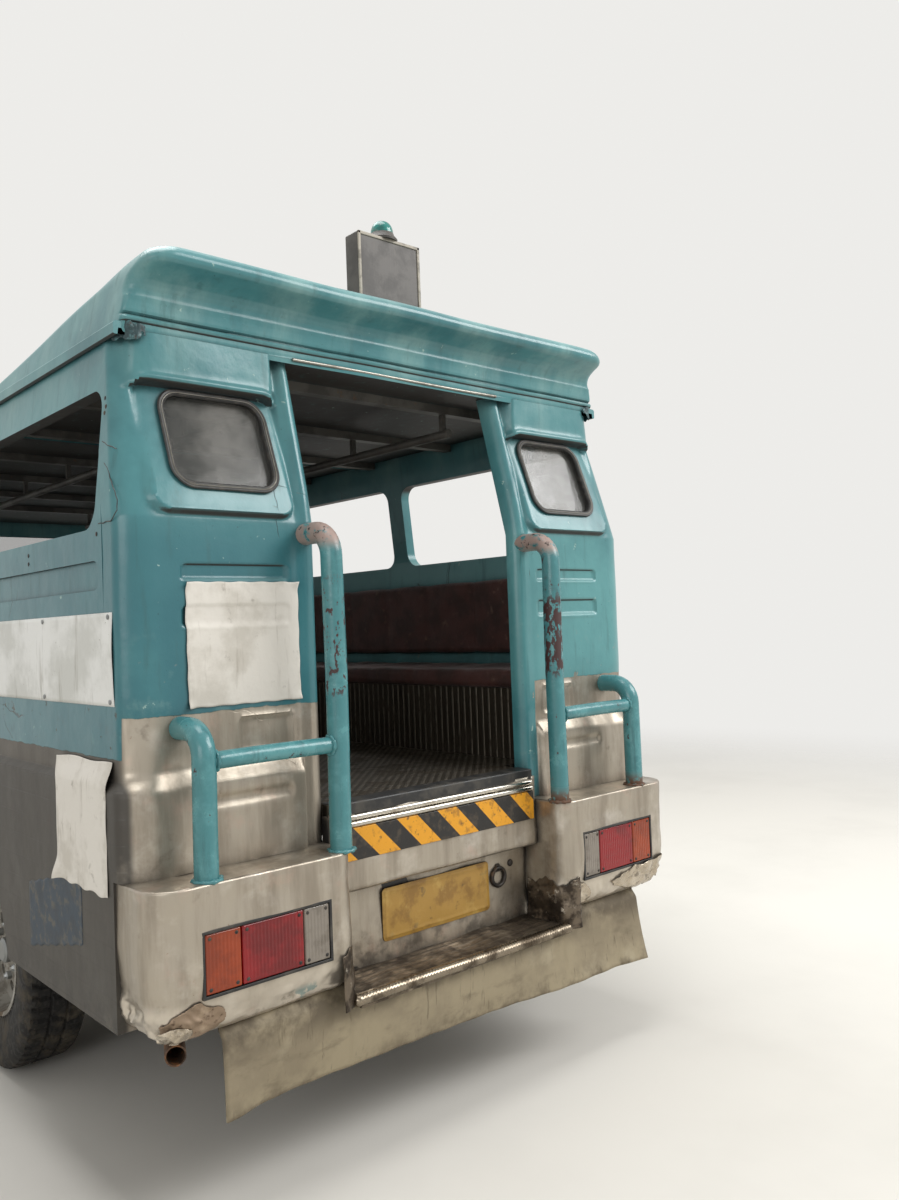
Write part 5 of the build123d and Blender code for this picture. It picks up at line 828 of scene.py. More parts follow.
def rear_quarter(side):
    """The corner shell: its plan section runs from the flank round the corner, over the pillar into the
    doorway and back inside, and is carried up the body. Rows lie closer where a pressing bends the face."""
    z = samples(SHELF_Z, EAVE_Z, 0.0080, *np.linspace(0.950, 1.015, 12), *np.linspace(1.575, 1.625, 12),
                *np.linspace(1.885, 1.925, 16), *np.linspace(1.30, 1.39, 20), *np.linspace(1.415, 1.485, 18))
    z = z[:, None]
    half = half_at(z)
    face = plain_face(z)
    front = QUARTER_LONG + lean_at(z)
    rise = np.clip(z - (WINDOW_TOP - WINDOW_CORNER), 0, WINDOW_CORNER)
    edge = WINDOW_REAR + WINDOW_CORNER - np.sqrt(WINDOW_CORNER ** 2 - rise ** 2)
    front = np.where((z > WINDOW_LOW) & (z < WINDOW_TOP), np.minimum(front, edge), front)
    inner = REAR_FACE + lean_at(z) + WALL

    t = np.linspace(0, 1, 12)[:-1]
    flank_x = front + (face + CORNER_LONG - front) * t
    flank_y = half + 0 * flank_x
    turn = np.radians(np.linspace(0, 90, 14))[:-1]
    corner_x = face + CORNER_LONG * (1 - np.sin(turn))
    corner_y = half - CORNER_WIDE * (1 - np.cos(turn))
    corner_x = corner_x + np.sin(turn) ** 0.7 * (pressed_face(corner_y, z) - face)
    across = np.linspace(0, 1, 68)[:-1]
    rear_y = (half - CORNER_WIDE) * (1 - across) + 0.430 * across
    rear_y = np.concatenate([rear_y, np.linspace(0.430, CREST, 14)[:-1] + 0 * z], axis=1)
    cut_y, cut_z, keep_outer = open_window(rear_y, z + 0 * rear_y, PANE)
    cut_x = pressed_face(cut_y, cut_z)
    roll = np.radians(np.linspace(0, 90, 9))
    crest = pressed_face(CREST + 0 * z, z)
    roll_x = crest + (REAR_FACE + lean_at(z) + JAMB_ROLL - crest) * (1 - np.cos(roll))
    roll_y = CREST - (CREST - JAMB_HALF) * np.sin(roll) + 0 * z
    back_y = JAMB_HALF + (half - WALL - JAMB_HALF) * np.linspace(0, 1, 40)
    hole_y, hole_z, keep_inner = open_window(back_y, z + 0 * back_y, PANE)
    hole_x = REAR_FACE + lean_at(hole_z) + WALL
    lining_x = inner + (front - inner) * np.linspace(0, 1, 6)[1:]
    lining_y = half - WALL + 0 * lining_x

    runs = ((flank_x, flank_y, z), (corner_x, corner_y, z), (cut_x, cut_y, cut_z), (roll_x, roll_y, z),
            (hole_x, hole_y, hole_z), (lining_x, lining_y, z))
    parts = [np.stack([REAR + x, side * y, up + 0 * x], axis=-1) for x, y, up in runs]
    points = np.concatenate(parts, axis=1)
    widths = [x.shape[1] for x, y, up in runs]
    outside = np.repeat((1, 1, 1, 0, 0, 0), widths)
    flanks = outside * ease(np.abs(points[..., 1]), 0.7, 0.86)
    points[..., 0] += wobble(points, 0.33, 0.0011, 5 + side) * outside
    points[..., 1] += side * wobble(points, 0.30, 0.0009, 9 + side) * flanks
    keep = np.ones((len(z) - 1, sum(widths)), bool)
    starts = np.cumsum([0] + widths)
    keep[:, starts[2]:starts[3] - 1] = keep_outer
    keep[:, starts[4]:starts[5] - 1] = keep_inner
    return surface(points, wrap=True, keep=keep)


def pane_loop(side, grow, depth, inner=None):
    """The window's outline moved out by grow and forward by depth from the panel, or from the inner skin."""
    flat, out = window_ring(PANE)
    flat = flat + out * grow
    x = pressed_face(flat[:, 0] * 0 + 0.612, flat[:, 1]) + depth
    if inner is not None:
        x = REAR_FACE + lean_at(flat[:, 1]) + WALL + inner
    return np.stack([REAR + x, side * flat[:, 0], flat[:, 1]], axis=1)


def ring_of(loops):
    """Closed loops, one beside the other round a profile, as a shape."""
    loops = np.swapaxes(np.array(loops), 0, 1)
    return surface(np.concatenate([loops, loops[:1]]), wrap=True)


def window_gasket(side):
    """A rubber channel: its lipped profile is carried round the opening, and lines it to the inside."""
    lips = (  # how far out, how far forward
        (0.004, -0.001), (0.008, -0.002), (0.009, -0.005), (0.006, -0.008), (0.002, -0.0075),
        (-0.001, -0.0055), (-0.005, -0.006), (-0.008, -0.002), (-0.008, 0.004), (-0.005, 0.012))
    loops = [pane_loop(side, grow, depth) for grow, depth in lips]
    return ring_of([pane_loop(side, 0.004, 0, 0.003)] + loops + [pane_loop(side, -0.006, 0, 0.003)])


def filler_strip(side):
    """The bright strip pressed into the channel's groove: a small half round."""
    return ring_of([pane_loop(side, -0.0005 + 0.0018 * np.cos(a), -0.0062 - 0.0022 * np.sin(a))
                    for a in np.linspace(0, 2 * np.pi, 9)[:-1]])


for side, place in SIDES:
    piece(f"quarter_panel_{place}", rear_quarter(side), PANELS, replaces=(f"rear_quarter_{place}",))
    piece(f"window_gasket_{place}", window_gasket(side), GASKET)
    piece(f"gasket_strip_{place}", filler_strip(side), STRIP)


# Rear bumper boxes: folded sheet round the corner, tucked in below, dented, with a pocket for the lamps

OUTER_R = 0.080
INNER_R = 0.055
TUCK_TOP = 0.530
TUCK_TALL = 0.080
TUCK_DEEP = 0.045
SHELF_ROUND = 0.006
BOX_DENTS = {  # for each side: place along the face, z, its two radii, depth
    1: ((0.80, 0.50, 0.06, 0.04, 0.014), (0.60, 0.485, 0.10, 0.03, 0.007), (0.47, 0.50, 0.06, 0.05, 0.009),
        (0.86, 0.70, 0.04, 0.06, 0.004), (0.62, 0.72, 0.12, 0.03, 0.003), (0.415, 0.62, 0.02, 0.07, 0.003)),
    -1: ((0.84, 0.49, 0.07, 0.05, 0.020), (0.70, 0.49, 0.05, 0.02, 0.008), (0.44, 0.49, 0.05, 0.05, 0.014),
         (0.56, 0.72, 0.10, 0.03, 0.003), (0.87, 0.66, 0.05, 0.07, 0.006), (0.42, 0.66, 0.02, 0.06, 0.004))}


def box_outline(s):
    """The box's plan: s is the width on its flat face, and goes on as arc length round both corners.

    Gives x from the bumper face, y and the outward direction.
    """
    inner_s, outer_s = BOX_INNER + INNER_R, BOX_OUTER - OUTER_R
    a = np.clip((inner_s - s) / INNER_R, 0, np.pi / 2)
    b = np.clip((s - outer_s) / OUTER_R, 0, np.pi / 2)
    x = INNER_R * (1 - np.cos(a)) + OUTER_R * (1 - np.cos(b))
    x = x + np.maximum(inner_s - s - INNER_R * np.pi / 2, 0)
    x = x + np.maximum(s - outer_s - OUTER_R * np.pi / 2, 0)
    y = np.clip(s, inner_s, outer_s) - INNER_R * np.sin(a) + OUTER_R * np.sin(b)
    return x, y, -np.cos(a + b), np.sin(b) - np.sin(a)


def bumper_surface(side, s, z, proud=0.0):
    """A point of the box's face at s and z: vertical, then a quarter ellipse that tucks in at its foot, with
    dents, creases along the tuck and a crushed outer corner."""
    x, y, nx, ny = box_outline(s)
    tuck = np.clip((TUCK_TOP - z) / TUCK_TALL, 0, 1)
    inset = TUCK_DEEP * (1 - np.sqrt(1 - tuck ** 2))
    flat = np.stack([x, y, z + 0 * x], axis=-1)
    inset = inset + wobble(flat, 0.28, 0.0022, 31 + side) + wobble(flat, 0.07, 0.0007, 41 + side)
    for ds, dz, rs, rz, depth in BOX_DENTS[side]:
        inset = inset + depth * np.exp(-((s - ds) / rs) ** 2 - ((z - dz) / rz) ** 2)
    near_tuck = np.exp(-((z - 0.492) / 0.030) ** 2)
    corner = ease(s, 0.76, 0.86) * ease(z, 0.60, 0.50)
    inset = inset - crumple(flat, 0.090, 1, 51 + side) * (0.0050 * near_tuck + 0.005 * corner) - proud
    return np.stack([REAR + x - nx * inset, side * (y - ny * inset), z + 0 * x], axis=-1)


def bumper_box(side):
    """The whole box: shelf, rounded top edge, face, tuck and underside as rows, and s along the columns."""
    start = BOX_INNER + INNER_R * (1 - np.pi / 2) - (BOX_DEEP - INNER_R)
    end = BOX_OUTER - OUTER_R * (1 - np.pi / 2) + (BOX_DEEP - OUTER_R)
    s = samples(start, end, 0.0065)
    z = samples(TUCK_TOP, SHELF_Z - SHELF_ROUND, 0.0065)[::-1]
    z = np.concatenate([z, TUCK_TOP - TUCK_TALL * np.sin(np.linspace(0.08, 1.5, 13))])
    pocket = (LAMP[0] - 0.003, LAMP[1] + 0.003, LAMP[2] - 0.003, LAMP[3] + 0.003, 0.010)
    cut_s, cut_z, keep = open_window(*np.meshgrid(s, z), pocket)
    walls = bumper_surface(side, cut_s, cut_z)
    x, y, nx, ny = box_outline(s)
    out = np.stack([nx, side * ny, 0 * nx], axis=-1)
    rows = []
    for t in np.linspace(0, 1, 7):
        row = np.stack([REAR + BOX_DEEP + (x - BOX_DEEP) * t, side * y, SHELF_Z + 0 * x], axis=-1)
        row = row - out * SHELF_ROUND * t
        row[:, 2] += wobble(row, 0.16, 0.0012, 61 + side) * (1 - t ** 4)
        rows.append(row)
    for a in np.linspace(0.2, 1.3, 4):
        rise = np.array((0, 0, SHELF_ROUND * np.cos(a)))
        rows.append(walls[0] - out * SHELF_ROUND * (1 - np.sin(a)) + rise)
    under = np.stack([REAR + BOX_DEEP + 0 * x, walls[-1][:, 1], BOX_BOTTOM + 0 * x], axis=-1)
    floor = [walls[-1] * (1 - t) + under * t for t in np.linspace(0.15, 1, 5)]
    grid = np.concatenate([np.array(rows), walls, np.array(floor)])
    kept = np.ones((grid.shape[0] - 1, grid.shape[1] - 1), bool)
    kept[len(rows):len(rows) + keep.shape[0]] = keep
    return surface(grid, keep=kept)


def torn_sheet(side, middle_s, middle_z, half_s, half_z, proud, depth, seed):
    """A scrap of crumpled sheet over the box: a patch of its face pushed out in creases, its outline an
    ellipse eaten in by a random field."""
    u, v = np.meshgrid(np.linspace(-1, 1, 72), np.linspace(-1, 1, 48))
    s, z = middle_s + half_s * u, middle_z + half_z * v
    flat = bumper_surface(side, s, z, proud)
    nx, ny = box_outline(s)[2:]
    fold = np.abs(wobble(flat, 0.100, 0.55, seed)) * depth
    fold = fold + np.abs(wobble(flat, 0.035, 0.12, seed + 2)) * depth
    flat[..., 0] += nx * fold
    flat[..., 1] += side * ny * fold
    inside = u ** 2 + v ** 2 < 0.80 + wobble(flat, 0.060, 0.16, seed + 7)
    return surface(flat, keep=inside[:-1, :-1] & inside[1:, 1:])


for side, place in SIDES:
    piece(f"bumper_box_{place}", bumper_box(side), BOX_SHEET, replaces=("rear_bumper_boxes",),
          angle=55)
SCRAPS = (  # name, side, place along the face, z, half sizes, how proud, depth of folds, seed, finish
    ("torn_corner_left", 1, 0.810, 0.486, 0.085, 0.044, 0.002, 0.006, 201, TORN),
    ("silver_scrap_left", 1, 0.855, 0.468, 0.055, 0.026, 0.005, 0.010, 211, SILVER),
    ("silver_corner_right", -1, 0.800, 0.496, 0.230, 0.046, 0.003, 0.008, 221, SILVER),
    ("torn_edge_right", -1, 0.440, 0.492, 0.050, 0.040, 0.003, 0.008, 231, SILVER))
for name, side, s, z, half_s, half_z, proud, depth, seed, material in SCRAPS:
    piece(name, torn_sheet(side, s, z, half_s, half_z, proud, depth, seed), material,
          closed=False, angle=60, sheet=0.001)


def step_cheek(side, seed):
    """Beaten sheet that closes the step's end: it hangs straight down from the box's inner side, round its
    front corner, to the tread, with creases and a ragged top edge."""
    s, v = np.meshgrid(samples(0.242, 0.428, 0.0035), np.linspace(1, 0, 42))
    foot = 0.404
    top = 0.538 + 0.010 * np.sin(s * 60 + seed) + 0.003 * np.sin(s * 223)
    x, y, nx, ny = box_outline(s)
    z = foot + (top - foot) * v
    flat = np.stack([x, y, z], axis=-1)
    beaten = np.abs(wobble(flat, 0.110, 0.0045, seed)) + np.abs(wobble(flat, 0.045, 0.0010, seed + 3))
    out = 0.0025 + beaten * ease(v, 1.0, 0.75) + 0.010 * (1 - ease(v, 0.0, 0.35)) * ease(s, 0.330, 0.300)
    return surface(np.stack([REAR + x + nx * out, side * (y + ny * out), z], axis=-1))


for side, place in SIDES:
    cheek = step_cheek(side, 241 + side)
    piece(f"step_cheek_{place}", cheek, BATTERED, closed=False, angle=60, sheet=0.0012)


# Handrails: a tall and a short post on each box, bent forward into the body, with a cross pipe between them

POST_X = REAR + 0.034
POSTS = ((0.395, 1.550), (0.752, 1.098))
CROSSBAR_Z = 1.030


def weld(origin, axis, radius, bead, seed):
    """A weld bead round a pipe: a small ring whose thickness ripples."""
    t = np.arange(36) * 2 * np.pi / 36
    a = np.arange(10) * 2 * np.pi / 10
    size = bead * (1 + 0.25 * np.sin(9 * t + seed) + 0.15 * np.sin(17 * t + 2 * seed))[:, None]
    axis = np.array(axis, float)
    side = np.cross(axis, (0, 1, 0) if abs(axis[1]) < 0.5 else (1, 0, 0))
    spoke = np.cos(t)[:, None, None] * side + np.sin(t)[:, None, None] * np.cross(axis, side)
    grid = origin + spoke * (radius + size * np.cos(a))[..., None]
    grid = grid + axis * (size * np.sin(a) * 0.8)[..., None]
    return surface(np.concatenate([grid, grid[:1]]), wrap=True)


rails = []
for y, top in POSTS:
    bends = [(POST_X, y, SHELF_Z - 0.004), (POST_X, y, top), (REAR + REAR_FACE + 0.030, y, top)]
    path = fillet_path(bends, 0.062, 0.015)
    path[:, 1] += 0.0015 * np.sin(path[:, 2] * 9 + y)
    rails.append(carried(path, circle(0.027, 28), up=(0, 1, 0)))
    rails.append(weld((POST_X, y, SHELF_Z + 0.001), (0, 0, 1), 0.029, 0.006, y * 10))
t = np.linspace(0, 1, 30)
bar_y = POSTS[0][0] + (POSTS[1][0] - POSTS[0][0]) * t
bar = np.stack([POST_X + 0 * t, bar_y, CROSSBAR_Z + 0.002 * np.sin(3 * t)], axis=1)
rails.append(carried(bar, circle(0.020, 24)))
for y in (POSTS[0][0] + 0.026, POSTS[1][0] - 0.026):
    rails.append(weld((POST_X, y, CROSSBAR_Z), (0, 1, 0), 0.021, 0.005, y * 20))
rails = joined(*rails)
piece("handrail_left", rails, PIPE, replaces=("handrails",), angle=60)
piece("handrail_right", flipped(rails), PIPE, replaces=("handrails",), angle=60)


# Tail lamps: a dark tray with three ribbed lenses and their screws, outer to inner amber, red and clear

LENSES = ((0.460, 0.529, CLEAR, "clear"), (0.531, 0.690, RED, "red"), (0.692, 0.780, AMBER, "amber"))
LENS_LOW, LENS_HIGH = 0.5405, 0.6695
FLUTE = 0.009
LENS_WAVE = 0.029


def ribbed_lens(low, high):
    """A lens block with a bevelled edge: vertical flutes and a slower wave upwards are added to its face."""
    points, faces = box((REAR + 0.001, low, LENS_LOW), (REAR + 0.034, high, LENS_HIGH), (0.006, 0.004, 0.004),
                        (0.01, 0.0018, 0.006))
    x, y, z = points.T
    inside = np.minimum(np.minimum(y - low, high - y), np.minimum(z - LENS_LOW, LENS_HIGH - z))
    flat = ease(inside, 0.005, 0.012) * (x < REAR + 0.010)
    wave = 0.0006 * np.cos(2 * np.pi * y / FLUTE) + 0.0003 * np.cos(2 * np.pi * z / LENS_WAVE)
    points[:, 0] += flat * wave
    return points, faces


front, back = REAR - 0.001, REAR + 0.040
tray = boxes(((back - 0.006, LAMP[0], LAMP[2]), (back, LAMP[1], LAMP[3])),
             ((front, LAMP[0] - 0.004, LAMP[2] - 0.004), (back, LAMP[0] + 0.003, LAMP[3] + 0.004)),
             ((front, LAMP[1] - 0.003, LAMP[2] - 0.004), (back, LAMP[1] + 0.004, LAMP[3] + 0.004)),
             ((front, LAMP[0], LAMP[2] - 0.004), (back, LAMP[1], LAMP[2] + 0.003)),
             ((front, LAMP[0], LAMP[3] - 0.003), (back, LAMP[1], LAMP[3] + 0.004)), radius=0.0015)
screws = joined(*[dome((REAR + 0.002, y, z), (-1, 0, 0), 0.0042, 0.003)
                  for y in (0.470, 0.520, 0.543, 0.678, 0.704, 0.768) for z in (0.551, 0.659)])
for place, turn in (("left", joined), ("right", flipped)):
    piece(f"lamp_tray_{place}", turn(tray), PLASTIC, replaces=("tail_lamps",))
    piece(f"lamp_screws_{place}", turn(screws), IRON)
    for low, high, material, colour in LENSES:
        piece(f"lens_{colour}_{place}", turn(ribbed_lens(low, high)), material, angle=30)


# Step well: a ridged tread with a rope-edged front bar, a lower panel, a sill with hazard tape below it

STEP_HALF = 0.374
STEP_DEEP = 0.165
STEP_FOOT = 0.396
SILL_HALF = 0.362
RIB_PITCH = 0.027
ROPE_PITCH = 0.010

tread_x = samples(0.006, STEP_DEEP, 0.0026)
tread_y = samples(-STEP_HALF, STEP_HALF, 0.012)
tread = np.zeros((len(tread_x), len(tread_y), 3))
tread[..., 0] = REAR + tread_x[:, None]
tread[..., 1] = tread_y
ribs = 0.0034 * np.abs(np.cos(np.pi * tread_x / RIB_PITCH)) ** 0.7
tread[..., 2] = 0.4195 + ribs[:, None] + wobble(tread, 0.25, 0.0022, 71)
tread_board = box((REAR + 0.004, -STEP_HALF, STEP_FOOT), (REAR + STEP_DEEP, STEP_HALF, 0.4165), 0.003)
piece("step_tread", joined(surface(tread), tread_board), TREAD, replaces=("step_well",),
      closed=False, angle=75)

rope_y = np.linspace(-0.392, 0.392, 520)
theta = np.arange(22) * 2 * np.pi / 22
reach = np.clip((np.abs(rope_y) - 0.378) / 0.0145, 0, 1)
twist = (0.0004 + 0.0006 * ease(rope_y, 0.1, -0.1))[:, None]
swell = 0.0150 + twist * np.cos(5 * theta - 2 * np.pi * rope_y[:, None] / ROPE_PITCH)
swell = swell * np.sqrt(np.maximum(1 - reach ** 2, 0.02))[:, None]
rope = np.stack([swell * np.sin(theta), swell * np.cos(theta) * 1.15], axis=-1)
rope_path = np.stack([REAR + 0.012 + 0 * rope_y, rope_y, 0.4135 + 0.003 * np.sin(rope_y * 5)], axis=1)
piece("step_edge", carried(rope_path, rope), WORN_CHROME, angle=70)

folds = between([(REAR + STEP_DEEP, 0.400), (REAR + STEP_DEEP, 0.636), (REAR + 0.162, 0.640),
                 (REAR + 0.120, 0.641), (REAR + 0.115, 0.646), (REAR + 0.115, 0.845)], 0.010)[::-1]
panel = np.zeros((len(folds), len(tread_y), 3))
panel[..., 0] = folds[:, :1]
panel[..., 1] = tread_y
panel[..., 2] = folds[:, 1:]
panel[..., 0] += wobble(panel, 0.20, 0.0022, 73)
piece("step_panel", surface(panel), BARE, closed=False, angle=50, sheet=0.004)
backing = boxes(((REAR + 0.168, -0.400, 0.398), (REAR + 0.198, 0.400, 0.650)),
                ((REAR + 0.120, -STEP_HALF, 0.645), (REAR + 0.150, STEP_HALF, 0.838)))
strips = boxes(((REAR + 0.105, -SILL_HALF, 0.803), (REAR + 0.150, SILL_HALF, 0.819)),
               ((REAR + 0.107, -SILL_HALF, 0.821), (REAR + 0.150, SILL_HALF, 0.836)), radius=0.007, step=0.02)
tape = box((REAR + 0.1085, -0.361, 0.720), (REAR + 0.118, 0.361, 0.802), 0.002, 0.02)
mat = box((REAR + 0.113, -SILL_HALF, 0.834), (REAR + 0.175, SILL_HALF, 0.868), 0.006, 0.02)
piece("step_backing", backing, BLACK)
piece("hazard_strip", tape, TAPE)
piece("sill_strip", strips, CHROME)
piece("sill_mat", mat, PLASTIC)
head_y = samples(-0.372, 0.372, 0.03)
head = np.stack([REAR + 0.2135 + 0 * head_y, head_y, EAVE_Z - 0.001 + 0.001 * np.sin(head_y * 9)], axis=1)
piece("doorway_head_strip", carried(head, circle(0.0045, 12)), STRIP)

TOW_Y, TOW_Z = -0.250, 0.560
TOW_RING, TOW_ROD = 0.026, 0.006
t = np.linspace(0, 2 * np.pi, 41)[:, None]
a = np.arange(14) * 2 * np.pi / 14
reach = TOW_RING + TOW_ROD * np.cos(a)
tow = np.stack([REAR + 0.158 + TOW_ROD * np.sin(a) + 0 * t, TOW_Y + reach * np.sin(t),
                TOW_Z + reach * np.cos(t)], axis=-1)
hexagon = [(0, 0), (0, 0.013), (0.008, 0.013), (0.010, 0.011), (0.010, 0)]
bolt = turned(hexagon, (REAR + 0.167, TOW_Y, TOW_Z + TOW_RING), (-1, 0, 0), 6)
rivet = dome((REAR + STEP_DEEP, -0.305, 0.590), (-1, 0, 0), 0.010, 0.008)
piece("tow_ring", joined(surface(tow, wrap=True), bolt, rivet), SPRING)


# Number plates: pressed tin with a raised border, blank

PLATE_HALF = (0.197, 0.070)


def number_plate(x, way, y, z):
    """A plate with rounded corners, its border proud by 1.6 mm and its field slightly bent."""
    rect = (y - PLATE_HALF[0], y + PLATE_HALF[0], z - PLATE_HALF[1], z + PLATE_HALF[1], 0.012)
    low, high = (x, rect[0], rect[2]), (x + way * 0.003, rect[1], rect[3])
    points, faces = box(low, high, (0.0012, 0.012, 0.012), 0.004)
    d = frame_distance(points[:, 1], points[:, 2], rect)
    border = 0.0016 * np.exp(-((d + 0.011) / 0.0035) ** 2)
    points[:, 0] += way * (0.0012 + border + wobble(points, 0.12, 0.0010, 83))
    return points, faces


piece("rear_plate", number_plate(REAR + 0.163, -1, -0.015, 0.543), YELLOW, replaces=("number_plates",))
piece("front_plate", number_plate(NOSE - 0.004, 1, 0.0, 0.550), YELLOW, replaces=("number_plates",))


# Flap: a stained board that hangs from the boxes and the step, kinked where it has been pushed forward

FLAP_HALF = 0.730
FLAP_FOOT = 0.245

yy, drop = np.meshgrid(samples(-FLAP_HALF, FLAP_HALF, 0.010, -0.388, -0.378, 0.378, 0.388),
                       np.linspace(0, 1, 22))
flap_top = STEP_FOOT + 0.057 * ease(np.abs(yy), 0.377, 0.389)
zz = flap_top + (FLAP_FOOT - flap_top) * drop
flap = np.stack([REAR + 0.030 + 0.017 * ease(zz, 0.420, 0.452), yy, zz], axis=-1)
flap[..., 0] += 0.020 * drop ** 2 * np.sin(yy * 3.1 + 0.6) + wobble(flap, 0.35, 0.004, 91) * drop
flap[..., 0] -= 0.018 * ease(np.abs(yy), 0.60, 0.73) * drop
flap[..., 2] += 0.006 * np.sin(yy * 2.3) * drop + 0.0008 * np.sin(yy * 61) * drop
piece("flap_board", surface(flap), FLAP, replaces=("mud_flap",), closed=False, sheet=0.005)


# Posters and the route boards, all blank

def rear_poster():
    """Paper pasted over the pressed face: it bridges the louvres by half and lifts at its corners."""
    y, z = np.meshgrid(np.linspace(0.426, 0.728, 70), np.linspace(1.430, 1.140, 68))
    face = 0.5 * pressed_face(y, z) + 0.5 * plain_face(z) - 0.0025
    lift = 0.010 * ease(np.abs(y - 0.577), 0.128, 0.155) * ease(np.abs(z - 1.285), 0.122, 0.148)
    flat = np.stack([REAR + face - lift, y, z], axis=-1)
    flat[..., 0] -= np.abs(wobble(flat, 0.16, 0.0009, 95))
    flat[..., 1] += 0.0008 * np.sin(z * 90)
    flat[..., 2] += 0.0008 * np.sin(y * 110)
    return surface(flat)


def flank_poster():
    """Paper pasted across the ledge low on the left flank: bowed over it, and torn along its lower edge."""
    x, z = np.meshgrid(np.linspace(0.205, 0.505, 66), np.linspace(1.030, 0.735, 66))
    torn = 0.003 * np.sin(x * 70) * ease(z, 0.80, 0.735) + 0.002 * np.sin(x * 31 + 1) * ease(z, 0.98, 1.03)
    half = np.maximum(half_at(z), 0.8825 + 0.018 * ease(z, 1.03, 0.975))
    flat = np.stack([REAR + x, half + 0.0015, z + torn], axis=-1)
    curl = ease(x, 0.46, 0.505) * ease(np.abs(z - 0.882), 0.09, 0.147)
    flat[..., 1] += 0.014 * curl + np.abs(wobble(flat, 0.14, 0.0011, 97))
    return surface(flat)


# Places on the left flank, forward of the bumper face and up
FLANK_SCREWS = ((0.266, 1.861), (0.258, 1.840), (0.263, 1.826), (0.719, 1.531), (0.720, 1.509),
                (0.267, 1.546))
FLANK_CRACKS = (
    ((0.264, 1.759), (0.230, 1.745), (0.181, 1.730)),
    ((0.243, 1.708), (0.221, 1.690), (0.199, 1.660), (0.172, 1.632), (0.154, 1.609), (0.150, 1.587),
     (0.187, 1.568), (0.253, 1.568)))


def flank_crack(stops):
    """A crack in the filler on the left flank: a flat black thread that follows the body's lean."""
    x, z = between(stops, 0.006).T
    shake = np.stack([x, 0 * x, z], axis=1)
    x, z = x + wobble(shake, 0.03, 0.0015, 171), z + wobble(shake, 0.03, 0.0015, 173)
    return carried(np.stack([REAR + x, half_at(z) + 0.0004, z], axis=1), circle(0.0011, 8))


piece("flank_cracks", joined(*[flank_crack(stops) for stops in FLANK_CRACKS]), GASKET)
screws = [dome((REAR + x, half_at(z) - 0.0010, z), (0, 1, 0), 0.0055, 0.003) for x, z in FLANK_SCREWS]
piece("flank_screws", joined(*screws), IRON)
piece("rear_poster", rear_poster(), PAPER, closed=False, sheet=0.0006)
piece("flank_poster", flank_poster(), PAPER, closed=False, sheet=0.0006)

x, t = np.meshgrid(np.linspace(0.362, 0.718, 50), np.linspace(1, 0, 26))
block = np.stack([REAR + x, 0.9006 + 0 * x, 0.600 - 0.220 * (x - 0.362) + 0.165 * t], axis=-1)
block[..., 2] += 0.004 * np.sin(x * 120) * (t - 0.5)
piece("blue_block", surface(block), BLUE, closed=False, sheet=0.0004)


BOARD_LOW = 1.155
BOARD_TALL = 0.210


def route_board(side):
    """The white board along the flank: thin tin, a little bowed between its screws."""
    x, z = np.meshgrid(samples(0.192, 1.880, 0.016), samples(BOARD_LOW, BOARD_LOW + BOARD_TALL, 0.010))
    bow = 0.0035 * np.abs(np.sin(np.pi * x / 0.42)) * np.sin(np.pi * (z - BOARD_LOW) / BOARD_TALL)
    flat = np.stack([REAR + x, side * (BELT_HALF + 0.0012 + bow), z], axis=-1)
    flat[..., 1] += side * np.abs(wobble(flat, 0.2, 0.0010, 99))
    return surface(flat[::-1] if side > 0 else flat)


for side, place in SIDES:
    piece(f"route_board_{place}", route_board(side), WHITE, replaces=("side_signs",),
          closed=False, sheet=0.0016)
    screws = [dome((REAR + x, side * (BELT_HALF + 0.003), z), (0, side, 0), 0.006, 0.003)
              for x in np.arange(0.21, 1.9, 0.41) for z in (1.165, 1.355)]
    piece(f"board_screws_{place}", joined(*screws), STEEL)


# Roof: the crowned slab, the visor in front, and the tail with its bead, cove and rolled lip

TAIL_PROFILE = np.array([  # forward of the bumper face, height over the eaves, from the foot to the land
    (0.216, -0.012), (0.2140, 0.000), (0.2125, 0.008), (0.2120, 0.018), (0.2075, 0.0205), (0.2045, 0.026),
    (0.2070, 0.0315), (0.2125, 0.034), (0.2150, 0.036), (0.2120, 0.0385), (0.2075, 0.041), (0.2055, 0.046),
    (0.2045, 0.054), (0.2025, 0.066), (0.1995, 0.0755), (0.1985, 0.078), (0.1992, 0.081), (0.1990, 0.087),
    (0.1965, 0.095), (0.1890, 0.105), (0.1780, 0.115), (0.1630, 0.124), (0.1460, 0.132), (0.1310, 0.138),
    (0.1215, 0.143), (0.1150, 0.150), (0.1128, 0.158), (0.1135, 0.166), (0.1172, 0.174), (0.1240, 0.181),
    (0.1335, 0.186), (0.1440, 0.189), (0.1560, 0.190)])
TAIL_LOW = ROOF_EDGE_Z + ROOF_CROWN - 0.012 - EAVE_Z
TAIL_HIGH = 0.190
TAIL_FRONT = 0.212 + 1.300
LAND_FRONT = 0.220


def fall_at(high):
    """Where the tail's long fall reaches the given height over the eaves, forward of the bumper face. It is
    straight for most of its length, and fades out towards its foot."""
    share = np.clip((TAIL_HIGH - high) / (TAIL_HIGH - TAIL_LOW), 0, 1)
    return LAND_FRONT + (TAIL_FRONT - LAND_FRONT) * (0.88 * share + 0.12 * share ** 6)


def tail_half(high):
    """Half width of the tail: its side leans in, and a quarter ellipse rounds it into the top."""
    rounding = np.clip((high - 0.125) / 0.0655, 0, 1)
    return 0.838 - 0.178 * np.maximum(high, 0) - 0.050 * (1 - np.sqrt(1 - rounding ** 2))


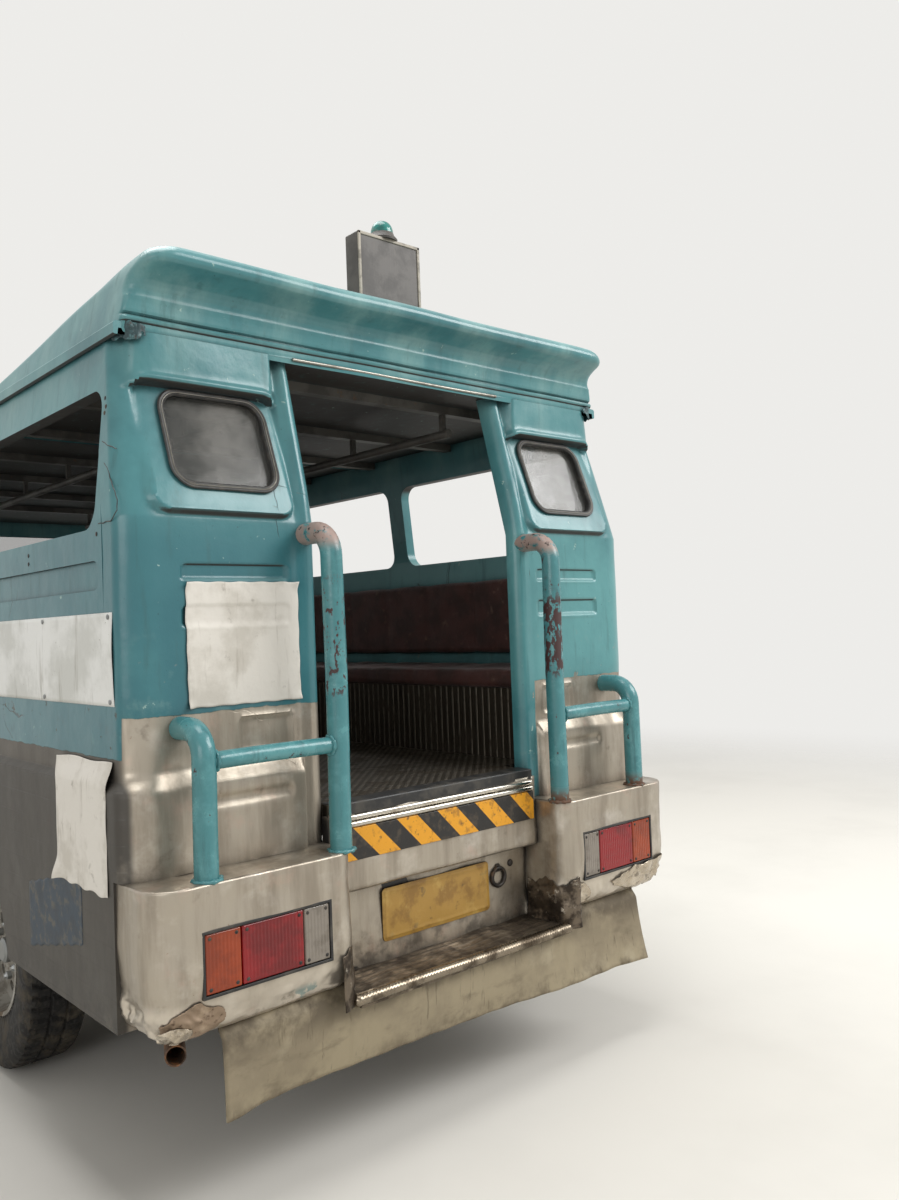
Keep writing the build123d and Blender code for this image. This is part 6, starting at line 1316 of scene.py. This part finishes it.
def roof_tail():
    """Plan outlines stacked upwards. An outline's rear edge lies on the profile of bead, cove and roll, its
    front edge on the fall. Its rear corners are rounded more the higher it lies, and its front corners are
    long quarter ellipses, which rounds the fall into the sides. The last outlines close the top."""
    start = between(TAIL_PROFILE, 0.004)
    rear, high = start[:, :1], start[:, 1:]
    half = tail_half(high)
    corner = 0.014 + 0.045 * ease(high, 0.05, 0.15)
    front = np.maximum(fall_at(high), rear + 0.1)
    reach = np.minimum(0.26, 0.7 * (front - rear - corner))
    turn = np.radians(np.linspace(0, 90, 12))
    bend_x = front - reach * (1 - np.sin(turn[:0:-1]))
    bend_y = half - 0.050 * (1 - np.cos(turn[:0:-1]))
    side_x = front - reach + (rear + corner - front + reach) * np.linspace(0, 1, 34)[:-1]
    turn_x = rear + corner * (1 - np.sin(turn[:-1]))
    turn_y = half - corner * (1 - np.cos(turn[:-1]))
    rear_y = -(half - corner) * np.linspace(-1, 1, 120)
    ahead = (half - 0.050) * np.linspace(-1, 1, 40)[1:-1]
    x = np.concatenate([bend_x, side_x, turn_x, rear + 0 * rear_y, turn_x[:, ::-1], side_x[:, ::-1],
                        bend_x[:, ::-1], front + 0 * ahead], axis=1)
    y = np.concatenate([bend_y, half + 0 * side_x, turn_y, rear_y, -turn_y[:, ::-1], -half + 0 * side_x,
                        -bend_y[:, ::-1], ahead], axis=1)
    levels = np.stack([REAR + x, y, EAVE_Z + high + 0 * x], axis=-1)
    shrink = np.linspace(1, 0, 9)[1:, None, None]
    tops = np.repeat(levels[-1:], len(shrink), axis=0)
    tops[..., 1:2] = tops[..., 1:2] * shrink
    tops[..., 2] += 0.006 * (1 - shrink[..., 0] ** 2)
    grid = np.concatenate([levels, tops])
    grid[..., 0] += wobble(grid, 0.42, 0.0022, 151)
    grid[..., 2] += wobble(grid, 0.50, 0.0020, 153) * ease(grid[..., 2], EAVE_Z + 0.05, EAVE_Z + 0.15)
    return surface(grid, wrap=True)


def roof_slab():
    """The crowned slab with a drip lip along each edge, its section carried forward from the bead."""
    y = np.linspace(-ROOF_HALF + 0.004, ROOF_HALF - 0.004, 70)
    crown = np.stack([ROOF_EDGE_Z + ROOF_CROWN * (1 - (y / ROOF_HALF) ** 2), y], axis=1)
    under = np.array([(ROOF_EDGE_Z - 0.004, ROOF_HALF), (DRIP_LOW + 0.002, ROOF_HALF),
                      (DRIP_LOW, ROOF_HALF - 0.003), (DRIP_LOW, ROOF_HALF - 0.010),
                      (EAVE_Z, ROOF_HALF - 0.012)])
    outline = np.concatenate([crown, under, under[::-1] * (1, -1)])
    path = straight_x(REAR + 0.214, SCREEN_TOP_X, 0.03)
    points, faces = carried(path, outline)
    points[:, 2] += wobble(points, 0.45, 0.0020, 155) * ease(points[:, 2], EAVE_Z + 0.01, EAVE_Z + 0.03)
    return points, faces


def straight_x(start, end, step):
    """A straight path forward, in the middle of the vehicle."""
    x = samples(start, end, step)
    return np.stack([x, 0 * x, 0 * x], axis=1)


def visor():
    """The visor over the windscreen: its section falls forward to a rolled edge, and is carried across."""
    edge = ROOF_EDGE_Z - 0.045
    tip = SCREEN_TOP_X + 0.215
    outline = np.array([
        (EAVE_Z, SCREEN_TOP_X - 0.030), (ROOF_EDGE_Z + 0.002, SCREEN_TOP_X - 0.030),
        (ROOF_EDGE_Z + 0.002, SCREEN_TOP_X + 0.040), (ROOF_EDGE_Z - 0.003, SCREEN_TOP_X + 0.080),
        (edge + 0.002, tip - 0.006), (edge - 0.004, tip), (edge - 0.031, tip), (edge - 0.034, tip - 0.003),
        (edge - 0.034, tip - 0.011), (edge - 0.031, tip - 0.014), (edge - 0.013, tip - 0.022),
        (EAVE_Z, SCREEN_TOP_X + 0.050)])
    y = samples(-ROOF_HALF + 0.014, ROOF_HALF - 0.014, 0.04)
    return carried(np.stack([0 * y, y, 0 * y], axis=1), outline)


def corner_cuff(side, seed):
    """Crumpled flashing wrapped round the foot of the tail's corner, with ragged edges."""
    a, v = np.meshgrid(np.radians(np.linspace(-15, 110, 70)), np.linspace(0, 1, 40))
    z = 1.990 + 0.044 * v
    flat = np.stack([REAR + 0.247 - 0.044 * np.cos(a), 0.790 + 0.044 * np.sin(a), z], axis=-1)
    fold = 0.001 + np.abs(crumple(flat, 0.045, 0.0030, seed))
    flat[..., 0] -= np.cos(a) * fold
    flat[..., 1] += np.sin(a) * fold
    flat[..., 1] *= side
    u = a / 1.1 - 0.7
    inside = u ** 2 + (2 * v - 1) ** 2 < 0.95 + wobble(flat, 0.03, 0.30, seed + 7)
    return surface(flat, keep=inside[:-1, :-1] & inside[1:, 1:])


piece("roof_skin", joined(roof_tail(), roof_slab(), visor()), ENAMEL, replaces=("roof",),
      angle=38)
for side, place in SIDES:
    piece(f"roof_cuff_{place}", corner_cuff(side, 161 + side), CUFF, closed=False, angle=60,
          sheet=0.001)


# Roof sign: a shallow box with a paler border, blank, sealant at its foot and a green lamp on a grey collar

SIGN_X = REAR + 0.255
SIGN_FOOT = EAVE_Z + TAIL_HIGH
SIGN_TOP = SIGN_FOOT + 0.230
SIGN_HALF = 0.113
SIGN_INNER = 0.104
SIGN_DEEP = 0.062
SIGN_RIM = 0.009
sign = box((SIGN_X, -SIGN_HALF, SIGN_FOOT), (SIGN_X + SIGN_DEEP, SIGN_HALF, SIGN_TOP), 0.006, 0.02)
piece("sign_box", sign, SIGN, replaces=("roof_sign",))
front, back, low, high = SIGN_X - 0.003, SIGN_X + 0.002, SIGN_FOOT + 0.002, SIGN_TOP - 0.001
border = boxes(((front, -SIGN_HALF, low), (back, -SIGN_INNER, high)),
               ((front, SIGN_INNER, low), (back, SIGN_HALF, high)),
               ((front, -SIGN_HALF, high - SIGN_RIM), (back, SIGN_HALF, high)),
               ((front, -SIGN_HALF, low), (back, SIGN_HALF, low + SIGN_RIM)), radius=0.0015)
piece("sign_border", border, SIGN_EDGE)
lamp_at = (SIGN_X + 0.031, 0.0, SIGN_TOP - 0.002)
collar = [(0, 0), (0, 0.044), (0.006, 0.045), (0.018, 0.036), (0.024, 0.034), (0.024, 0)]
piece("sign_lamp_collar", turned(collar, lamp_at, (0, 0, 1)), SIGN)
bulb = [(0.020, 0), (0.020, 0.033)]
bulb += [(0.026 + 0.036 * np.sin(a), 0.033 * np.cos(a) ** 0.8) for a in np.linspace(0, 1.5707, 12)]
piece("sign_lamp", turned(bulb, lamp_at, (0, 0, 1)), BEACON)
low, high = (SIGN_X - 0.010, -0.120, SIGN_FOOT - 0.014), (SIGN_X + 0.072, 0.120, SIGN_FOOT + 0.008)
lumps, lump_faces = box(low, high, 0.005, 0.008)
lumps = lumps + wobble(lumps, 0.03, 0.002, 103)[:, None] * (1, 1, 0.6)
piece("sign_sealant", (lumps, lump_faces), PUTTY)


# Benches: padded vinyl with sewn channels

def channelled(low, high, out, run, pitch, swell, seed):
    """A pad whose face swells between its seams, pulls in at its ends and is creased where people sit.

    out is the axis and the way that the face looks, run the axis that the channels follow one another along.
    """
    points, faces = box(low, high, 0.022, 0.015)
    low, high = np.minimum(low, high), np.maximum(low, high)
    axis, way = out
    share = (points[:, axis] - low[axis]) / (high[axis] - low[axis])
    share = share if way > 0 else 1 - share
    other = 3 - axis - run
    across = (points[:, other] - low[other]) / (high[other] - low[other]) * 2 - 1
    puff = np.abs(np.sin(np.pi * (points[:, run] - low[run]) / pitch)) ** 0.55
    rise = swell * (puff - 0.75) * (1 - across ** 4) + wobble(points, 0.16, 0.0016, seed)
    rise = rise - 0.3 * swell * (1 - across ** 2) * np.abs(wobble(points, 0.5, 1, seed + 3))
    points[:, axis] += way * share * rise
    points[:, other] -= 0.005 * np.sign(across) * (1 - puff) * np.abs(across) ** 3
    return points, faces


BENCH_PITCH = 0.265
for side, place in SIDES:
    seat_corners = (REAR + 0.262, side * 0.470, 1.0955), (BENCH_FRONT - 0.002, side * 0.834, 1.158)
    back_corners = (REAR + 0.282, side * 0.800, 1.197), (BENCH_FRONT - 0.012, side * 0.8395, 1.473)
    seat = channelled(*seat_corners, (2, 1), 0, BENCH_PITCH, 0.012, 111)
    back = channelled(*back_corners, (1, -side), 0, BENCH_PITCH, 0.010, 121)
    piece(f"bench_cushion_{place}", seat, VINYL, replaces=("bench_cushions",),
                    angle=70)
    piece(f"bench_back_{place}", back, VINYL, replaces=("bench_backs",),
                    angle=70)

SEAT_REAR = DOOR_REAR - 0.138
SEAT_Y = 0.372


def leaned(shape, foot, degrees):
    """Leans a shape back: a point moves by its height over the foot times the tangent of the lean."""
    shift = np.maximum(shape[0][:, 2] - foot, 0) * np.tan(np.radians(degrees))
    return shape[0] - shift[:, None] * (1, 0, 0), shape[1]


for side, place in SIDES:
    y = side * SEAT_Y
    seat_corners = (SEAT_REAR + 0.004, y - 0.231, 1.0505), (SEAT_REAR + 0.496, y + 0.231, 1.138)
    back_corners = (SEAT_REAR + 0.002, y - 0.221, 1.152), (SEAT_REAR + 0.082, y + 0.221, 1.600)
    seat = channelled(*seat_corners, (2, 1), 1, 0.077, 0.012, 131)
    back = leaned(channelled(*back_corners, (0, 1), 1, 0.0737, 0.012, 141), 1.150, 8)
    piece(f"seat_cushion_{place}", seat, VINYL, replaces=("cab_seats",),
                    angle=70)
    piece(f"seat_back_{place}", back, VINYL, replaces=("cab_seats",),
                    angle=70)


# Tyres: a square-shouldered section with tread blocks cut into it

GROOVE_Y = 0.024
SHOULDER_SLOTS = 60
MIDDLE_SLOTS = 30
TREAD_DEEP = 0.0075
NUT_RING = 0.080


def tyre(centre_x, side):
    """The section turned about the axle. The crown is cut by two grooves that run round and by slanted slots,
    each a raised cosine sharpened to a step. The walls bulge and carry a raised band."""
    section = np.array([
        (0.068, 0.190), (0.073, 0.197), (0.079, 0.215), (0.0855, 0.240), (0.0905, 0.270), (0.0925, 0.295),
        (0.0920, 0.310), (0.0895, 0.322), (0.0850, 0.332), (0.0790, 0.3395), (0.0715, 0.3435)])
    crown = np.linspace(0.0670, -0.0670, 34)
    crown = np.stack([crown, AXLE_Z - 0.27 * crown ** 2], axis=1)
    section = np.concatenate([section, crown, section[::-1] * (-1, 1)])
    theta = np.arange(360) * 2 * np.pi / 360
    w, radius = section[:, :1], section[:, 1:]
    grooves = ease(np.abs(np.abs(w) - GROOVE_Y), 0.0048, 0.0028)
    slots = ease(np.cos(SHOULDER_SLOTS * theta + 34 * np.abs(w)), 0.52, 0.72) * ease(np.abs(w), 0.020, 0.026)
    blocks = ease(np.cos(MIDDLE_SLOTS * theta + 40 * w), 0.80, 0.90) * ease(np.abs(w), GROOVE_Y, 0.018)
    cut = np.maximum(grooves, np.maximum(slots, blocks)) * ease(np.abs(w), 0.0800, 0.0735)
    raised = 0.0012 * ease(np.abs(radius - 0.262), 0.010, 0.007)
    radius = radius - TREAD_DEEP * cut
    w = w + np.sign(w) * raised + 0 * theta
    inside = np.array([(-0.066, 0.1925), (0.066, 0.1925)])
    w = np.concatenate([w, inside[:, :1] + 0 * theta, w[:1]])
    radius = np.concatenate([radius, inside[:, 1:] + 0 * theta, radius[:1]])
    x, z = centre_x + radius * np.cos(theta), AXLE_Z + radius * np.sin(theta)
    return surface(np.stack([x, side * HALF_TRACK + w, z], axis=-1), wrap=True)


nut = [(0, 0), (0, 0.0125), (0.014, 0.0125), (0.017, 0.009), (0.022, 0.006), (0.022, 0)]
cap = [(0, 0), (0, 0.040), (0.014, 0.038), (0.020, 0.030), (0.022, 0)]
for place, axle_x, side in (("rear_left", AXLE_R, 1), ("rear_right", AXLE_R, -1),
                            ("front_left", AXLE_F, 1), ("front_right", AXLE_F, -1)):
    piece(f"tread_{place}", tyre(axle_x, side), RUBBER, body=f"wheel_{place}", replaces=(f"tyre_{place}",),
          angle=35)
    hub = turned(cap, (axle_x, side * (HALF_TRACK + 0.038), AXLE_Z), (0, side, 0), 32)
    nuts = []
    for a in np.radians(np.arange(30, 390, 60)):
        at = (axle_x + NUT_RING * np.cos(a), side * (HALF_TRACK + 0.030), AXLE_Z + NUT_RING * np.sin(a))
        nuts.append(turned(nut, at, (0, side, 0), 6))
    piece(f"wheel_nuts_{place}", joined(*nuts, hub), STEEL, body=f"wheel_{place}",
          angle=30)


# Nose: headlamps with bezels, bowls and glass, amber indicators, the grille's bright frame

LAMP_Y, LAMP_Z = 0.670, 0.905
ring = [(0.002, 0.088), (0.002, 0.100), (0.010, 0.101), (0.019, 0.097), (0.021, 0.091), (0.015, 0.085),
        (0.002, 0.088)]
can = [(-0.040, 0), (-0.040, 0.060), (-0.020, 0.090), (0.004, 0.092), (0.004, 0.086), (-0.016, 0.084),
       (-0.034, 0)]
bowl = [(0.006, 0.085), (-0.004, 0.080), (-0.016, 0.064), (-0.026, 0.036), (-0.030, 0.014), (-0.030, 0)]
a = np.linspace(np.pi / 2, 0, 12)
cover = np.stack([0.012 + 0.012 * np.cos(a), 0.086 * np.sin(a)], axis=1)
cover = np.concatenate([[(0.006, 0)], [(0.006, 0.086)], cover])
for side, place in SIDES:
    at = (LAMP_X, side * LAMP_Y, LAMP_Z)
    piece(f"lamp_can_{place}", turned(can, at, (1, 0, 0)), PLASTIC, replaces=("headlamps",))
    piece(f"lamp_bezel_{place}", turned(ring, at, (1, 0, 0)), CHROME)
    bulb = [(-0.030, 0), (-0.030, 0.016), (-0.012, 0.015), (-0.003, 0.010), (0.001, 0)]
    piece(f"lamp_bowl_{place}", joined(turned(bowl, at, (1, 0, 0)), turned(bulb, at, (1, 0, 0), 24)), CHROME,
          closed=False)
    piece(f"lamp_glass_{place}", turned(cover, at, (1, 0, 0)), HEAD_GLASS)
    low, high = (LAMP_X - 0.006, side * 0.595, 0.715), (LAMP_X + 0.004, side * 0.745, 0.775)
    piece(f"indicator_base_{place}", box(low, high, 0.003, 0.02), PLASTIC)
    low, high = (LAMP_X + 0.002, side * 0.600, 0.720), (LAMP_X + 0.018, side * 0.740, 0.770)
    piece(f"indicator_lens_{place}", box(low, high, 0.007, 0.01), AMBER)


def rounded_frame(rect, x, tube):
    """A bright tube bent round a rounded rectangle that looks forward."""
    flat, out = window_ring(rect)
    loops = []
    for t in np.linspace(0, 2 * np.pi, 11)[:-1]:
        y, z = (flat + out * tube * np.cos(t)).T
        loops.append(np.stack([x + tube * np.sin(t) + 0 * y, y, z], axis=1))
    return ring_of(loops)


piece("grille_frame", rounded_frame((-0.405, 0.405, 0.795, 1.015, 0.03), LAMP_X + 0.004, 0.008), CHROME)


# Windscreen wipers, door handles and mirror glass

def on_screen(y, z, proud):
    """A point on the leaning windscreen, proud of its plane."""
    return (COWL_X - (z - COWL_Z) * SCREEN_SLOPE + proud, y, z)


def wiper(side):
    """A round arm from its spindle cap to the middle of a flat blade, proud of the glass."""
    arm = fillet_path([on_screen(side * 0.36, 1.262, 0.006), on_screen(side * 0.36, 1.275, 0.026),
                       on_screen(side * 0.22, 1.480, 0.020)], 0.006, 0.02)
    blade = between([on_screen(side * 0.395, 1.420, 0.012), on_screen(side * 0.045, 1.545, 0.012)], 0.02)
    cap = [(0, 0), (0, 0.014), (0.018, 0.011), (0.018, 0)]
    return joined(carried(arm, circle(0.0045, 8)),
                  carried(blade, circle(0.005, 8) * (1.6, 0.7), up=(1, 0, 0.3)),
                  turned(cap, on_screen(side * 0.36, 1.262, -0.004), (1, 0, 0.27), 16))


def door_handle(side):
    """A round grip bent down to the door at both ends, each on a small rose."""
    rear, front = DOOR_REAR + 0.050, DOOR_REAR + 0.165
    face = side * 0.9265
    out = face + side * 0.030
    grip = fillet_path([(rear, face, 1.130), (rear, out, 1.130), (front, out, 1.126), (front, face, 1.126)],
                       0.012)
    rose = [(0, 0), (0, 0.015), (0.004, 0.012), (0.004, 0)]
    feet = [turned(rose, (x, face, 1.128), (0, side, 0), 20) for x in (rear, front)]
    return joined(carried(grip, circle(0.007, 12)), *feet)


for side, place in SIDES:
    piece(f"wiper_{place}", wiper(side), PLASTIC)
    piece(f"door_handle_{place}", door_handle(side), CHROME, body=f"door_{place}")
    glass = box((1.5425, side * 0.944, 1.352), (1.5455, side * 1.056, 1.552), 0.0012, 0.02)
    piece(f"mirror_glass_{place}", glass, MIRROR)


# Studio: a pale floor that fades into a pale backdrop, which lights the part only a little, and soft lamps

made, tree, shader, place = begin("studio_floor", Roughness=0.9, Specular_IOR_Level=0.1)
tone, dull = stack(tree, place, "#dedbd4", 0.9, (("#d6d3cc", 1500, EVEN, 0.45, 0.65, 0.6, 0.9),))
away = node(tree, "VectorMath", {0: place}, operation="LENGTH").outputs["Value"]
fade = node(tree, "MapRange", {0: away, 1: 3.6, 2: 8.5, 3: 1.0, 4: 0.0}, interpolation_type="SMOOTHSTEP")
connect(tree, shader, Base_Color=tone, Alpha=fade)
floor = bpy.data.meshes.new("studio_floor")
floor.from_pydata([(-60, -60, 0), (60, -60, 0), (60, 60, 0), (-60, 60, 0)], [], [(0, 1, 2, 3)])
floor.materials.append(made)
ground = bpy.data.objects.new("studio_floor", floor)
bpy.context.scene.collection.objects.link(ground)

world = bpy.data.worlds.new("studio")
world.use_nodes = True
bpy.context.scene.world = world
tree = world.node_tree
tree.nodes.clear()
rays = node(tree, "LightPath").outputs
seen = node(tree, "Math", {0: rays["Is Camera Ray"], 1: rays["Is Glossy Ray"]}, operation="MAXIMUM")
seen = node(tree, "Math", {0: seen, 1: rays["Is Transmission Ray"]}, operation="MAXIMUM")
strength = node(tree, "MapRange", {0: seen, 3: 0.55, 4: 0.92})
backdrop = node(tree, "Background", {"Color": linear("#f6f5f2"), "Strength": strength})
node(tree, "OutputWorld", {"Surface": backdrop})

LAMPS = (  # name, place, aim, width, height, watts
    ("key", (-7.5, -5.0, 6.0), (-1.5, 0.0, 1.0), 5.0, 3.5, 520),
    ("overhead", (-1.0, 0.5, 6.5), (-1.0, 0.0, 0.5), 6.0, 3.0, 300),
    ("fill", (-6.0, 6.5, 3.0), (-1.5, 0.0, 1.0), 4.0, 3.0, 110))
for name, at, aim, width, high, watts in LAMPS:
    lamp = bpy.data.lights.new(name, "AREA")
    lamp.shape = "RECTANGLE"
    lamp.size = width
    lamp.size_y = high
    lamp.energy = watts
    back = np.array(at) - np.array(aim)
    back /= np.linalg.norm(back)
    across = np.cross((0, 0, 1), back)
    across /= np.linalg.norm(across)
    up = np.cross(back, across)
    holder = bpy.data.objects.new(name, lamp)
    holder.matrix_world = Matrix([(across[i], up[i], back[i], at[i]) for i in range(3)] + [(0, 0, 0, 1)])
    bpy.context.scene.collection.objects.link(holder)
